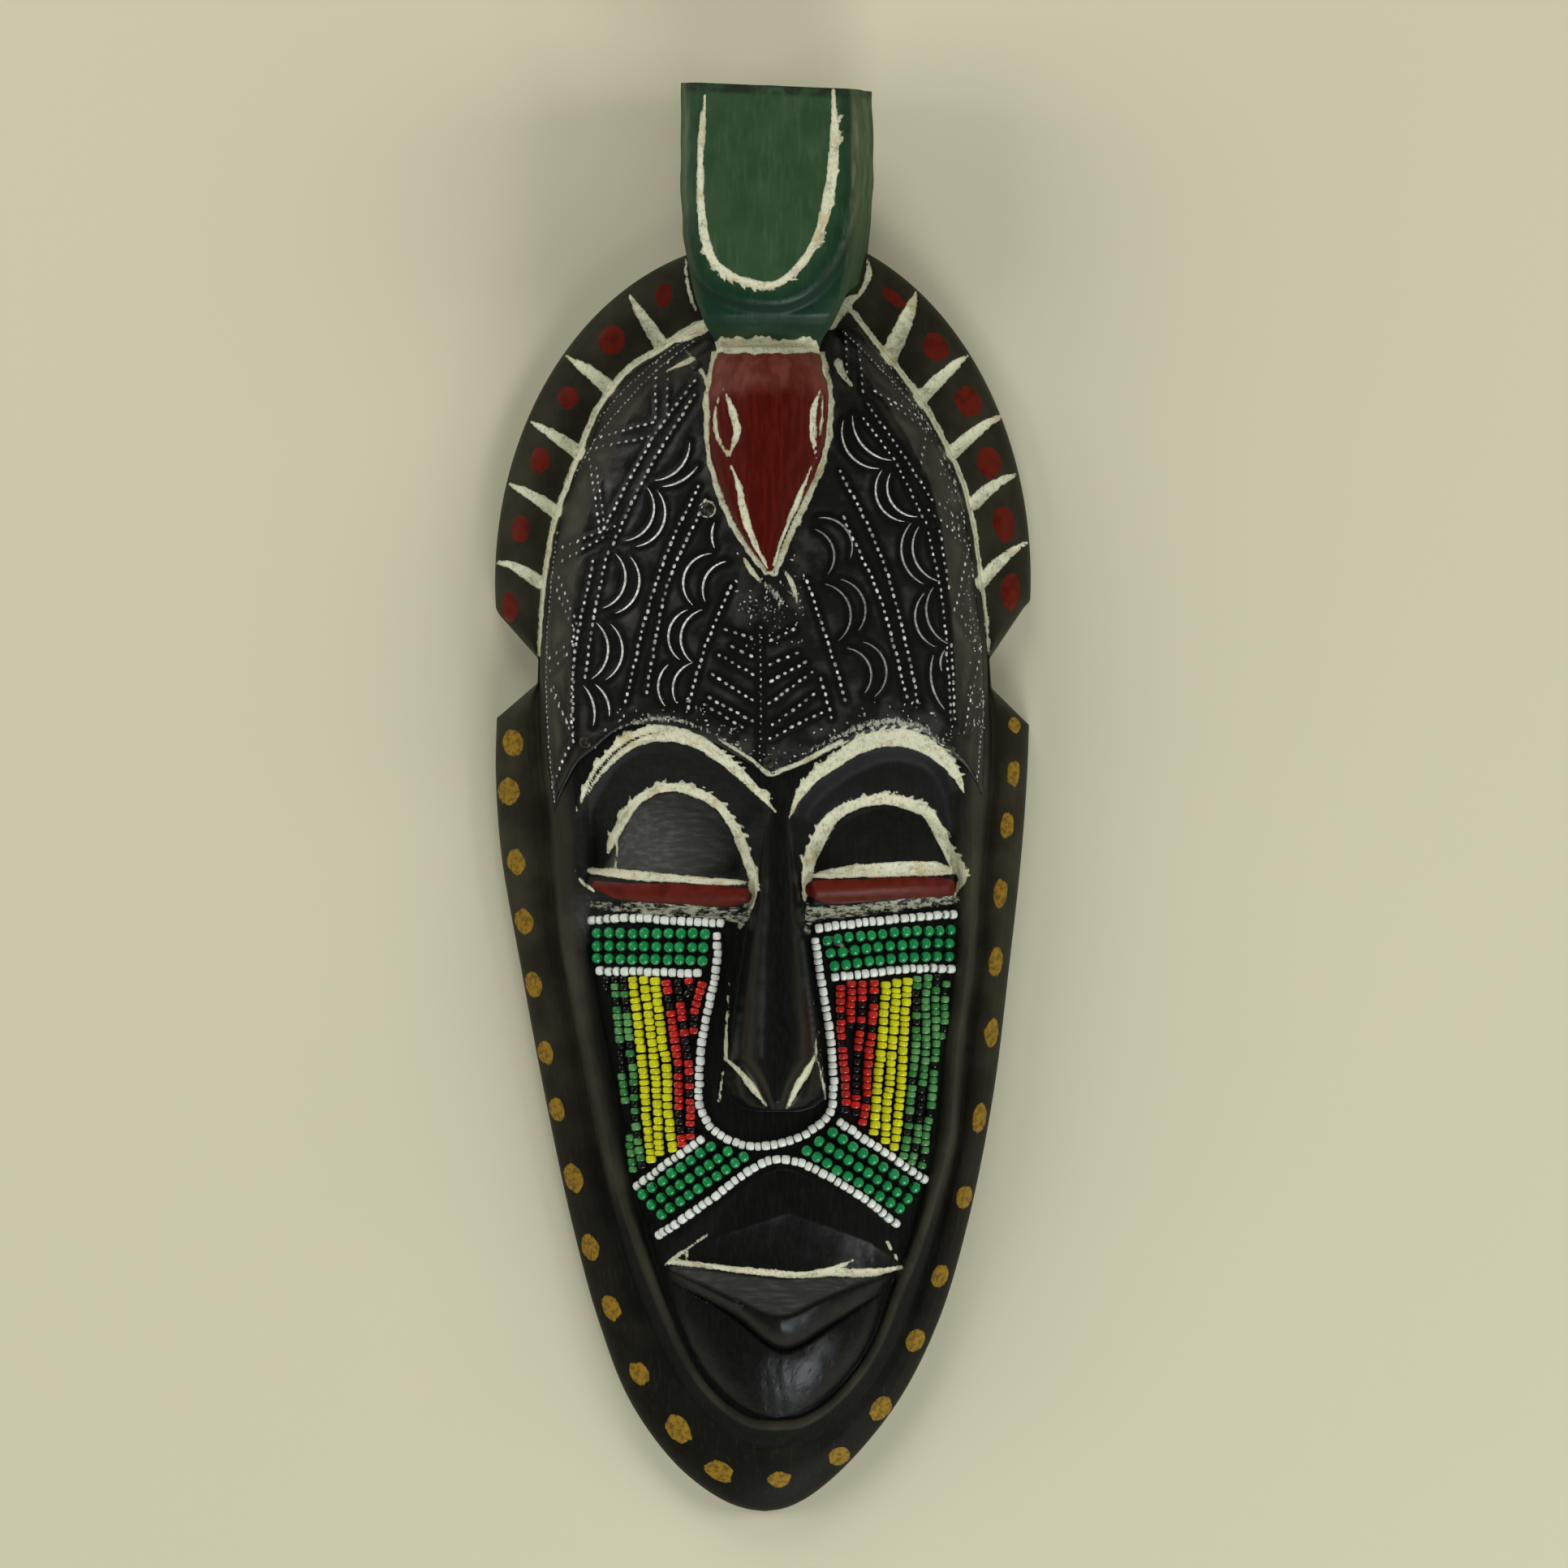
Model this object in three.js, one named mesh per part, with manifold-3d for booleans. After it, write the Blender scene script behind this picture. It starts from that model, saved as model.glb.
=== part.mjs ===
// A carved wooden wall mask with a parrot above its forehead, an embossed metal sheet over the forehead and
// strands of glass beads on the cheeks. Millimetres. The mask lies on its flat back: x to the right, y up the
// mask, z out of it.
import * as THREE from "three";
import Module from "manifold-3d";

const wasm = await Module();
wasm.setup();

// The outer outline: an elliptical crest, a notch at each temple and a long oval down to the chin.
const CREST_HALF_WIDTH = 78.65;
const TIP = [0.5, -210];
const LEFT = {
  sign: -1,
  crest: { centre: 63.5, height: 100 },
  notch: [[-77.4, 54], [-65.8, 41], [-66.1, 33.8], [-78, 23.6]],
  lower: [[-78, 23.6], [-78.3, 8], [-76.7, -16], [-71, -49], [-63.9, -87], [-55.8, -125], [-48, -153.5],
    [-38.7, -177], [-25, -196], [-12.8, -205.8], TIP],
  // The foot of the head, where it rises out of the flange.
  foot: [[2, 148], [-10, 144.8], [-19.5, 139.2], [-30.4, 131.6], [-39.5, 125.5], [-45.8, 118.5], [-53.2, 103],
    [-59.9, 86.5], [-63.6, 68], [-65.4, 50], [-65.6, 32], [-65.2, 15], [-62.9, -5], [-61.7, -23], [-60.1, -41],
    [-56.5, -60], [-52.3, -81], [-48.2, -102], [-43, -124], [-37.5, -142], [-29, -162], [-20, -177],
    [-8.5, -187], [4, -190]],
  band: smooth([[-190, 6.3], [-150, 4.5], [-118, 3.8], [-60, 3.8], [-41, 6], [-24, 8], [0, 8.5], [20, 6],
    [148, 5]]),
  sheetSpan: [-3, 133.5],
};
const RIGHT = {
  sign: 1,
  crest: { centre: 64.5, height: 103.5 },
  notch: [[76.5, 56], [66.4, 41], [67, 32.4], [78, 21.6]],
  lower: [[78, 21.6], [77.5, 8], [75.8, -16], [72.2, -49], [67.5, -87], [59.9, -125], [51.3, -153.5],
    [39.4, -177], [24, -196], [12.4, -205.8], TIP],
  foot: [[2, 148], [14, 146.8], [24.9, 143.5], [33.3, 133.5], [41.6, 123.3], [47.5, 115], [53.5, 104],
    [58.2, 93.6], [61.8, 79], [64.3, 60], [65.8, 44], [66.2, 33], [66.8, 16], [66.2, 2], [64.4, -20],
    [62.5, -47], [59.4, -72], [57, -98.6], [54.2, -112], [49.5, -130.4], [44, -147], [37, -164],
    [28.5, -176.5], [17, -186], [4, -190]],
  band: smooth([[-190, 6.3], [-160, 4.5], [-130, 3.6], [-98, 2.8], [-47, 2.8], [-20, 4], [0, 5.5], [20, 6],
    [148, 5]]),
  sheetSpan: [2, 138],
};
const HEAD_TOP = 148;
const CHIN_FOOT = -190;
// Above and below these points the rows fan out from them, between them they run straight across.
const FAN_TOP = [2, 80];
const FAN_LOW = [4, -120];

// Heights above the flat back, by the place along the mask.
const EDGE_LEVEL = smooth([[-210, 6], [-120, 6.5], [20, 7], [165, 7.5]]);
const EDGE_ROUNDING = { share: 0.12, rise: 3 };
const FLANGE_CROWN = { share: 0.5, level: 14 };
const FOOT_LEVEL = smooth([[-190, 11], [0, 12], [60, 13], [148, 12.5]]);
const WALL_LEVEL = smooth([[-190, 15.5], [-120, 19.5], [-60, 21], [-10, 21], [10, 20], [60, 19], [135, 17],
  [148, 14]]);
const RIDGE_LEVEL = smooth([[-190, 18.5], [-160, 21.5], [-120, 24.5], [-60, 27], [-5, 28], [20, 27], [60, 26],
  [110, 25], [135, 21], [148, 15.5]]);
const RECESS_LEVEL = smooth([[-190, 15.5], [-150, 19], [-100, 21], [-50, 22.5], [-15, 24.5], [2, 28.5], [20, 31],
  [60, 32], [110, 30.5], [135, 25], [148, 17]]);
const CENTRE_LEVEL = smooth([[-181, 16], [-174, 25], [-165, 30], [-150, 31], [-125, 32], [-95, 33], [-40, 35],
  [-10, 38], [5, 41.5], [25, 44.3], [50, 45], [80, 43.5], [100, 40.5], [118, 35], [130, 28], [139, 17]]);
const FULLNESS = smooth([[-190, 2.6], [-20, 2.8], [20, 2.2], [148, 2]]);
const WALL_INSET = 1.2;
const RECESS_WIDTH = 4;
const FACE_COLUMNS = 10;
const ROW_COUNTS = { crest: 10, notchSlant: 2, notchFloor: 1, sides: 20, chin: 8 };

// The hollow at the back: a long oval bowl.
const HOLLOW = { x: 3, y: -25, halfWidth: 46, halfLength: 118, sides: 24 };
const HOLLOW_STEPS = [[1, -1], [0.97, 6], [0.88, 15], [0.7, 22], [0.42, 26.5]];

// The face.
const NOSE_AXIS = 4;
const NOSE = [[4, 4, 40], [-8, 4.5, 42], [-23, 6.4, 43], [-49, 10.2, 48], [-66, 12.6, 52], [-76, 13.4, 54.5],
  [-82, 8.5, 55.5], [-88.5, 4.2, 55], [-90.5, 3.4, 50]];
const NOSTRILS = [[-68, 11, 44], [-76, 13.6, 46], [-90, 14.8, 42.5]];
const NOSE_RIDGE_SHARE = 0.22;
const NOSE_SHOULDER = { share: 0.72, rise: 0.62 };
const NOSE_ROOT = 12;
const EYES = [
  { x: -24.5, y: -18, halfWidth: 20.5, halfHeight: 20, lid: [[-50.5, -25], [-5, -27.6]],
    brow: [[-55.5, -5], [-50.6, 5.2], [-46.8, 11.2], [-39.7, 17.2], [-31.6, 18.8], [-22.6, 17.8], [-14, 14.3],
      [-6.2, 7.6], [3, -3]],
    under: [[-0.5, -12], [-2, -23], [-4.5, -31.5], [-24, -31], [-46, -30.5], [-53, -26]],
    arch: [[-46, -21.5], [-46, -14], [-43.2, -8.3], [-39.7, -3.3], [-35.9, 0.2], [-30.4, 2.6], [-23.8, 3.8],
      [-17.1, 2.6], [-11.6, -1], [-6.9, -6.4], [-3.8, -13.1], [-2.6, -20.4], [-2.9, -28.3]] },
  { x: 34.5, y: -18, halfWidth: 20.5, halfHeight: 18, lid: [[15, -26.4], [54.5, -24.2]],
    brow: [[7.6, -5], [10.9, 1.4], [17.6, 7.6], [24.2, 11.9], [31.6, 15.2], [39.9, 16.6], [46.1, 15.4],
      [52.3, 11.9], [58, 2]],
    under: [[60, -10], [59.5, -24], [54, -30], [36, -31], [15.5, -32], [11.5, -24], [9, -13]],
    arch: [[12.1, -29.5], [11.2, -23.3], [11.9, -16.6], [15.2, -11.2], [18.3, -6.4], [23, -2.1], [29.2, 0.2],
      [36.4, 1.2], [43.7, 0.2], [49.7, -4], [53.5, -8.8], [56.4, -14.5], [58.2, -21.6]] },
];
const SOCKET_DEPTH = 3.2;
const EYEBALL = { rise: 1.2, depth: 10, sides: 12, steps: [[1, 0], [0.9, 0.44], [0.64, 0.77], [0.26, 0.966]] };
const LID_SECTION = [[-5, -9], [-5, 0], [-3.2, 2.6], [0, 3.6], [3.4, 2.8], [5, 0.2], [5, -9]];
const LID_STEPS = 4;

// The mouth, as rows of (x, y, height over the face): roof of the upper lip, its edge, slit, lower edge, crease.
const MOUTH = [
  [[-29, -133, 0], [-21, -125.3, 0], [-12, -118.3, 0.2], [5.9, -108.6, 0.8], [20, -114.8, 0.2], [29, -120.6, 0],
    [39.5, -132, 0]],
  [[-27, -134.2, 1], [-18, -129, 2.8], [-9, -125, 4.2], [6.9, -120.7, 6.5], [18, -125.2, 4.6], [28, -128.8, 3],
    [38, -133.5, 1]],
  [[-29.2, -136.9, -1], [-19, -137.3, -1.4], [-9, -137.9, -1.6], [7.5, -138.7, -1.6], [19, -138.3, -1.6],
    [29.5, -137.6, -1.4], [40.6, -136.9, -1]],
  [[-26.5, -139, 0.8], [-17.5, -142.8, 2.6], [-8.6, -146.8, 3.8], [5.7, -151.8, 5.2], [18, -147.4, 3.8],
    [27, -144.2, 2.6], [37.5, -140, 0.8]],
  [[-27, -141.5, -0.6], [-18.5, -147, -1.4], [-9, -152.6, -1.8], [6.9, -161.8, -2], [20, -154, -1.8],
    [28.5, -149, -1.4], [37.5, -142.5, -0.6]],
];
const MOUTH_ROOT = 9;
const CLEAR_ABOVE = 25;

// The parrot, seen head down: [y, left, right, top level, underside]. Its right flank leans out.
const PARROT_BODY = [[209.6, -23.9, 27.6, 50, 20], [182, -24.2, 28.2, 54, 13], [165, -23.5, 27, 56, 6],
  [156, -21.8, 25.8, 56.6, 2], [146, -19.7, 23.8, 56, 1], [144, -19.3, 23.3, 52.6, 1],
  [138.8, -17.1, 20.2, 50.4, 1], [134.6, -14.4, 17.4, 47, 1], [130.5, -13.2, 16, 41, 1]];
const FLANK_LEAN = 4.3;
const SHOULDER = 150;
const BODY_EDGE = { left: 5, right: 6 };
const BODY_BEVEL = { inset: 2, drop: 1.5 };
const BODY_BORDER = 7;
const PARROT_HEAD = [[132, -13.4, 16.2, 43.5], [127, -14.5, 17.6, 48], [117, -16, 19.5, 51.5],
  [105.5, -16.1, 18.9, 50.5], [97, -14.9, 16.6, 49.8], [89, -12.4, 13.1, 49.2], [81.7, -9.5, 9.7, 48.6],
  [74, -4.9, 6.2, 48], [66.4, 1.1, 3.3, 47]];
const HEAD_DEPTH = 24;
const HEAD_CROWN_SHARE = 0.3;
const HEAD_CHEEK = { share: 0.78, drop: 0.2 };
const HEAD_EDGE = 4;
const THROAT_MARK = [[-17.1, 203.6], [-17.6, 193.4], [-18.8, 179], [-18.2, 166], [-14.3, 156.6], [-8, 151.8],
  [0, 150.2], [7, 151.7], [13, 157], [17.1, 164.9], [20.2, 175.6], [21.4, 186.3], [21.1, 204.5]];
const BEAK_LINES = [
  [[-9, 96], [-6.7, 91.2], [-4.8, 81.7], [-2.4, 74.6], [0.7, 68.5]],
  [[14.3, 96.5], [10.7, 88.9], [8.3, 81.7], [4.8, 72.2], [3.4, 69]],
];
const HEAD_LEAVES = [
  [[-12.8, 117.4], [-14.1, 110], [-13.1, 105.5], [-9.7, 100.3]],
  [[-11.4, 119.8], [-8.8, 112.6], [-7.4, 107], [-9.7, 100.3]],
  [[17.1, 119.8], [15.4, 115], [14.5, 107.9], [15.4, 99.6]],
];

// Carved lines: tapering cuts across the crest, and grooves along the nostrils.
const CREST_CUT = { width: 4, depth: 1.6, steps: 2 };
const ARCH_CUT = { width: 2.6, depth: 1, steps: 9 };
const THROAT_CUT = { width: 2.6, depth: 1.2, steps: 12 };
const FINE_CUT = { width: 1.6, depth: 0.85, steps: 3 };
const CUT_RISE = 1;
const CUT_POINT = 0.12;
const CREST_CUTS = [
  [[-39, 147.3], [-29.7, 132.8]], [[-57.5, 129.5], [-46.3, 121.4]], [[-67.7, 110.2], [-54.6, 101.7]],
  [[-74.1, 92], [-61.5, 84.3]], [[-77.9, 69.1], [-66.5, 63.7]],
  [[44.7, 148.3], [37.5, 130.4]], [[59.9, 130], [46.3, 117.4]], [[69.9, 112.1], [56.1, 101.7]],
  [[73.9, 94.8], [63.4, 87]], [[77.5, 75.1], [64.2, 63.9]],
];
const NOSTRIL_LINES = [
  [[-10.8, -75], [-5.5, -79.5], [-1.5, -84.5], [0.6, -89.5]],
  [[15.6, -74.5], [11.8, -80], [9, -85], [7, -89.6]],
];

// The metal sheet: its lower edge over the brows, and the cut-out round the parrot's head.
const SHEET_GAP = 0.35;
const SHEET_THICKNESS = 0.8;
const SHEET_INSET = 1.8;
const SHEET_LOWER_EDGE = [[-61.3, -4], [-59.4, 0], [-56.3, 5.7], [-52.3, 11.6], [-47.5, 15.7], [-41.6, 20.2],
  [-36.8, 22.5], [-26.1, 22.6], [-19, 21], [-12, 18], [-3.6, 12.4], [2.4, 6.2], [8.3, 8.8], [14.3, 12],
  [21.4, 16], [28.5, 19.4], [35.6, 21], [42.8, 21], [47.5, 19.6], [52.3, 16.4], [59.4, 9.3], [63.2, 3],
  [64.2, 1]];
const HEAD_CLEARANCE = 1.4;
const BEAK_NOTCH = [2.2, 64.6];
const CROWN_CORNER = [21.5, 138];
const SHEET_LOWEST = -14;
const SHEET_REACH = [10, 70];
const NAILS = [[-19.6, 126.6], [-16.2, 84.6], [-51.8, 16.6], [1.7, 10.6]];
const NAIL = { radius: 1.9, height: 0.9, sides: 8, steps: [[1, 0], [0.9, 0.6], [0.5, 1]] };

// Bead strands: paths on the cheeks. Large round beads stand out one by one, the fine ones lie as even ribs.
const BEAD_GAP = 0.3;
const JOINT_SCALE = 0.6;
const BEAD_CROWN_SHARE = 0.6;
const RIB_STEP = 10;
const WHITE = { width: 2.4, height: 2, pitch: 2.4, colour: 0xe9e7de };
const GREEN = { width: 3.1, height: 2.9, pitch: 3.5, colour: 0x14804a, round: true };
const YELLOW = { width: 2.6, height: 2.2, pitch: 2.2, colour: 0xd9cf17 };
const RED = { width: 2.4, height: 2.2, pitch: 2.2, colour: 0xb3261e };
const LEAF = { width: 2.6, height: 2.2, pitch: 2.2, colour: 0x2f8a4f };
const STRANDS = [
  ["bead_white_top_left", WHITE, [[-49.7, -35.7], [-39.7, -34.9], [-26, -35.6], [-12.4, -36.4]]],
  ["bead_white_top_right", WHITE, [[16.2, -37.8], [28, -36.4], [42, -34.8], [55, -33.7]]],
  ["bead_white_middle_left", WHITE, [[-47, -50.4], [-33, -50.6], [-18.8, -51.1]]],
  ["bead_white_middle_right", WHITE, [[20.7, -52.6], [38, -51], [54.4, -49.9]]],
  ["bead_white_nose", WHITE, [[-13.3, -40.2], [-13.4, -48.2], [-15.4, -59.2], [-17.8, -71.3], [-18.3, -80.3],
    [-18.3, -89.6], [-14, -97.2], [-4.3, -101.5], [5.5, -100.7], [13.8, -97.2], [18.8, -93.2], [20.5, -86],
    [20.3, -77.5], [19, -65.1], [16.9, -53], [15.2, -41.5]]],
  ["bead_white_upper_lip", WHITE, [[-29.9, -127.6], [-22.3, -122.4], [-13.1, -115.7], [-4.3, -109], [0.7, -106.3],
    [5.7, -105.5], [10.7, -106.4], [15.7, -108.6], [22.6, -112.6], [30.4, -117.6], [38.5, -124.3]]],
  ["bead_white_cheek_left", WHITE, [[-18, -99.8], [-27, -106.2], [-36.1, -113.1]]],
  ["bead_white_cheek_right", WHITE, [[22.4, -94.6], [34, -102.6], [46.6, -111.2]]],
  ...rows("bead_green_eye_left", GREEN, 3, [[-48, -39.3], [-16.8, -39.5]], [[-47.8, -46.7], [-17.4, -47.3]]),
  ...rows("bead_green_eye_right", GREEN, 3, [[19, -41.7], [54.4, -38.1]], [[20, -48.9], [54, -45.9]]),
  ...rows("bead_green_cheek_left", GREEN, 3, [[-15, -101.6], [-34.5, -115.6]], [[-5.5, -104.8], [-29, -121.4]]),
  ...rows("bead_green_cheek_right", GREEN, 3, [[20.2, -97.6], [43.6, -113.6]], [[12.6, -102.8], [39.4, -119.8]]),
  ["bead_leaf_left_1", LEAF, [[-43.6, -53.8], [-42.6, -64.8], [-41.7, -75.7], [-40.6, -83.8], [-39.6, -92],
    [-38.7, -100.7], [-38.2, -107]]],
  ["bead_leaf_left_2", LEAF, [[-40.6, -53.8], [-38.7, -72.9], [-36.9, -87.5], [-35.3, -105.2]]],
  ["bead_yellow_left_1", YELLOW, [[-37.5, -53.8], [-36, -66.1], [-34.6, -77.5], [-33.9, -88.2], [-32.1, -105.4]]],
  ["bead_yellow_left_2", YELLOW, [[-34.3, -53.8], [-32.4, -67.5], [-31.1, -77.9], [-30.6, -86.6],
    [-29.3, -103.4]]],
  ["bead_yellow_left_3", YELLOW, [[-31.2, -53.8], [-29.3, -68.8], [-27.8, -78.4], [-27.4, -87.5],
    [-26, -102]]],
  ["bead_red_left_1", RED, [[-28, -53.8], [-26.3, -67.7], [-24.7, -78.4], [-24.3, -85.2], [-23.3, -99.4]]],
  ["bead_red_left_2", RED, [[-24.8, -53.8], [-23.6, -60.2], [-22.8, -68], [-21.7, -78.4], [-20.9, -96.6]]],
  ["bead_red_left_3", RED, [[-18.2, -54.1], [-19.1, -60.2], [-20, -67.8]]],
  ["bead_red_right_1", RED, [[22.4, -55.4], [22.7, -67.5], [23.2, -74.8], [24, -83.8], [24, -91]]],
  ["bead_red_right_2", RED, [[26, -55.2], [25.5, -66.4]]],
  ["bead_red_right_3", RED, [[29.3, -55.2], [28.8, -64.8], [27.7, -71.3], [27.1, -80.7], [26.9, -92]]],
  ["bead_red_right_4", RED, [[32.4, -55], [31.9, -65.2], [30.7, -73.4], [30.3, -81.6], [30, -88.8],
    [28.9, -94.6]]],
  ["bead_yellow_right_1", YELLOW, [[35.6, -54.8], [35, -64.8], [34.4, -72], [33.4, -82.3], [32.2, -97.4]]],
  ["bead_yellow_right_2", YELLOW, [[38.7, -54.4], [38.1, -63.4], [37.5, -72.7], [36.8, -81.3], [35.9, -90.2],
    [35.4, -100]]],
  ["bead_yellow_right_3", YELLOW, [[41.6, -54.2], [41.1, -69.3], [40.2, -77.9], [39.7, -86.1], [38.1, -101.8]]],
  ["bead_leaf_right_1", LEAF, [[44.6, -54], [44.1, -63.4], [43.8, -73.4], [43.4, -82.5], [42.3, -92],
    [40.6, -103.6]]],
  ["bead_leaf_right_2", LEAF, [[47.5, -53.8], [47.1, -67], [47, -75.2], [46.4, -82.3], [45.6, -88.4],
    [44.5, -99.3], [43.5, -105.2]]],
  ["bead_leaf_right_3", LEAF, [[50.4, -53.8], [50.2, -67.5], [49.9, -74.1], [49.4, -80.4], [48.5, -90.2],
    [47.4, -99.3], [46.3, -107]]],
  ["bead_leaf_right_4", LEAF, [[53.3, -53.8], [53.1, -69.6]]],
];

// A smooth value through stations [[place, value], ...] in rising order of place, without overshoot.
function smooth(list) {
  const last = list.length - 1;
  const slopes = list.slice(1).map((next, i) => (next[1] - list[i][1]) / (next[0] - list[i][0]));
  const tangents = list.map((_, i) => {
    if (i === 0) return slopes[0];
    if (i === last) return slopes[last - 1];
    const [before, after] = [slopes[i - 1], slopes[i]];
    return before * after <= 0 ? 0 : (2 * before * after) / (before + after);
  });
  return (place) => {
    if (place <= list[0][0]) return list[0][1];
    if (place >= list[last][0]) return list[last][1];
    const i = list.findIndex((station) => station[0] > place) - 1;
    const span = list[i + 1][0] - list[i][0];
    const t = (place - list[i][0]) / span;
    const rise = t * t * (3 - 2 * t);
    return list[i][1] * (1 - rise) + list[i + 1][1] * rise
      + span * (t * (1 - t) * (1 - t) * tangents[i] - t * t * (1 - t) * tangents[i + 1]);
  };
}

// Strands side by side, evenly placed from a first path to a last one.
function rows(name, kind, count, first, last) {
  return Array.from({ length: count }, (_, i) => {
    const share = i / (count - 1);
    const path = first.map((point, k) => mix(point, last[k], share));
    return [`${name}_${i + 1}`, kind, path];
  });
}

function mix(a, b, share) {
  return a.map((value, k) => value + (b[k] - value) * share);
}

// A curve through flat points, with even steps along it.
function curve(points) {
  return new THREE.CatmullRomCurve3(points.map(([x, y]) => new THREE.Vector3(x, y, 0)), false, "centripetal");
}

// A closed solid from corners and faces. Corners that coincide become one, faces left without area are dropped.
function solid(corners, faces) {
  const known = new Map();
  const kept = [];
  const place = corners.map((corner) => {
    const key = corner.map((value) => value.toFixed(3)).join();
    if (!known.has(key)) {
      known.set(key, kept.length);
      kept.push(corner);
    }
    return known.get(key);
  });
  const triangles = faces
    .map((face) => face.map((i) => place[i]))
    .filter(([a, b, c]) => a !== b && b !== c && c !== a);
  const made = (list) => new wasm.Manifold(new wasm.Mesh({
    numProp: 3,
    vertProperties: new Float32Array(kept.flat()),
    triVerts: new Uint32Array(list.flat()),
  }));
  const shape = made(triangles);
  return shape.volume() < 0 ? made(triangles.map(([a, b, c]) => [a, c, b])) : shape;
}

// The two triangles of a four-sided face.
function quad(a, b, c, d) {
  return [[a, b, c], [a, c, d]];
}

// A solid skinned over rings of corners, closed by a fan at each end.
function loft(rings) {
  const sides = rings[0].length;
  const at = (ring, k) => ring * sides + (k % sides);
  const faces = rings.slice(1).flatMap((_, i) => rings[0].flatMap((__, k) => (
    quad(at(i, k), at(i + 1, k), at(i + 1, k + 1), at(i, k + 1))
  )));
  const end = rings.length - 1;
  for (let k = 1; k < sides - 1; k += 1) {
    faces.push([at(0, 0), at(0, k), at(0, k + 1)], [at(end, 0), at(end, k + 1), at(end, k)]);
  }
  return solid(rings.flat(), faces);
}

// A slab between two height grids of the same plan.
function slab(lower, upper) {
  const lines = lower.length;
  const across = lower[0].length;
  const low = (i, k) => i * across + k;
  const high = (i, k) => lines * across + i * across + k;
  const faces = [];
  for (let i = 0; i < lines - 1; i += 1) {
    for (let k = 0; k < across - 1; k += 1) {
      faces.push(...quad(low(i, k), low(i, k + 1), low(i + 1, k + 1), low(i + 1, k)));
      faces.push(...quad(high(i, k), high(i + 1, k), high(i + 1, k + 1), high(i, k + 1)));
    }
    faces.push(...quad(low(i, 0), low(i + 1, 0), high(i + 1, 0), high(i, 0)));
    const last = across - 1;
    faces.push(...quad(low(i + 1, last), low(i, last), high(i, last), high(i + 1, last)));
  }
  for (let k = 0; k < across - 1; k += 1) {
    faces.push(...quad(low(0, k + 1), low(0, k), high(0, k), high(0, k + 1)));
    faces.push(...quad(low(lines - 1, k), low(lines - 1, k + 1), high(lines - 1, k + 1), high(lines - 1, k)));
  }
  return solid([...lower.flat(), ...upper.flat()], faces);
}

function raised(grid, rise) {
  return grid.map((line) => line.map(([x, y, z]) => [x, y, z + rise]));
}

// The height of a solid's upper surface over a point.
function surfaceOf(shape) {
  const { numProp, vertProperties, triVerts } = shape.getMesh();
  const corner = (i) => [...vertProperties.subarray(i * numProp, i * numProp + 3)];
  const triangles = [];
  for (let i = 0; i < triVerts.length; i += 3) {
    const [a, b, c] = [corner(triVerts[i]), corner(triVerts[i + 1]), corner(triVerts[i + 2])];
    const area = (b[0] - a[0]) * (c[1] - a[1]) - (c[0] - a[0]) * (b[1] - a[1]);
    if (area > 1e-6) triangles.push({ a, b, c, area });
  }
  return (x, y) => triangles.reduce((best, { a, b, c, area }) => {
    const u = ((b[0] - x) * (c[1] - y) - (c[0] - x) * (b[1] - y)) / area;
    const v = ((c[0] - x) * (a[1] - y) - (a[0] - x) * (c[1] - y)) / area;
    const w = 1 - u - v;
    return Math.min(u, v, w) < -1e-6 ? best : Math.max(best, u * a[2] + v * b[2] + w * c[2]);
  }, 0);
}

// The outline of one side, from the top of the crest to the tip of the chin.
function outlineOf({ sign, crest, notch, lower }) {
  const end = Math.asin((notch[0][1] - crest.centre) / crest.height);
  const steps = 40;
  const arc = Array.from({ length: steps }, (_, i) => {
    const angle = Math.PI / 2 + (end - Math.PI / 2) * (i / steps);
    return [sign * CREST_HALF_WIDTH * Math.cos(angle), crest.centre + crest.height * Math.sin(angle)];
  });
  const oval = curve(lower).getPoints(60).map((point) => [point.x, point.y]);
  return [...arc, ...notch.slice(0, 3), ...oval];
}

// Where a ray from a point meets an outline.
function meet([x, y], [dx, dy], outline) {
  for (let i = 0; i < outline.length - 1; i += 1) {
    const [ax, ay] = outline[i];
    const [ex, ey] = [outline[i + 1][0] - ax, outline[i + 1][1] - ay];
    const cross = dx * ey - dy * ex;
    if (Math.abs(cross) < 1e-9) continue;
    const far = ((ax - x) * ey - (ay - y) * ex) / cross;
    const along = ((ax - x) * dy - (ay - y) * dx) / cross;
    if (far > 0 && along > -1e-6 && along < 1 + 1e-6) return [x + dx * far, y + dy * far];
  }
  throw new Error(`no outline beyond ${x}, ${y}`);
}

// The levels of the rows across the mask, closer where the head's outline turns.
function rowLevels({ notch }) {
  const levels = [];
  const add = (from, to, count, ease) => {
    for (let i = 0; i < count; i += 1) levels.push(from + (to - from) * ease(i / count));
  };
  const even = (t) => t;
  add(HEAD_TOP, notch[0][1], ROW_COUNTS.crest, (t) => 1 - Math.cos((Math.PI / 2) * t));
  add(notch[0][1], notch[1][1], ROW_COUNTS.notchSlant, even);
  add(notch[1][1], notch[2][1], ROW_COUNTS.notchFloor, even);
  add(notch[2][1], notch[3][1], ROW_COUNTS.notchSlant, even);
  add(notch[3][1], FAN_LOW[1], ROW_COUNTS.sides, even);
  add(FAN_LOW[1], CHIN_FOOT, ROW_COUNTS.chin, (t) => Math.sin((Math.PI / 2) * t));
  return [...levels, CHIN_FOOT];
}

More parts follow.
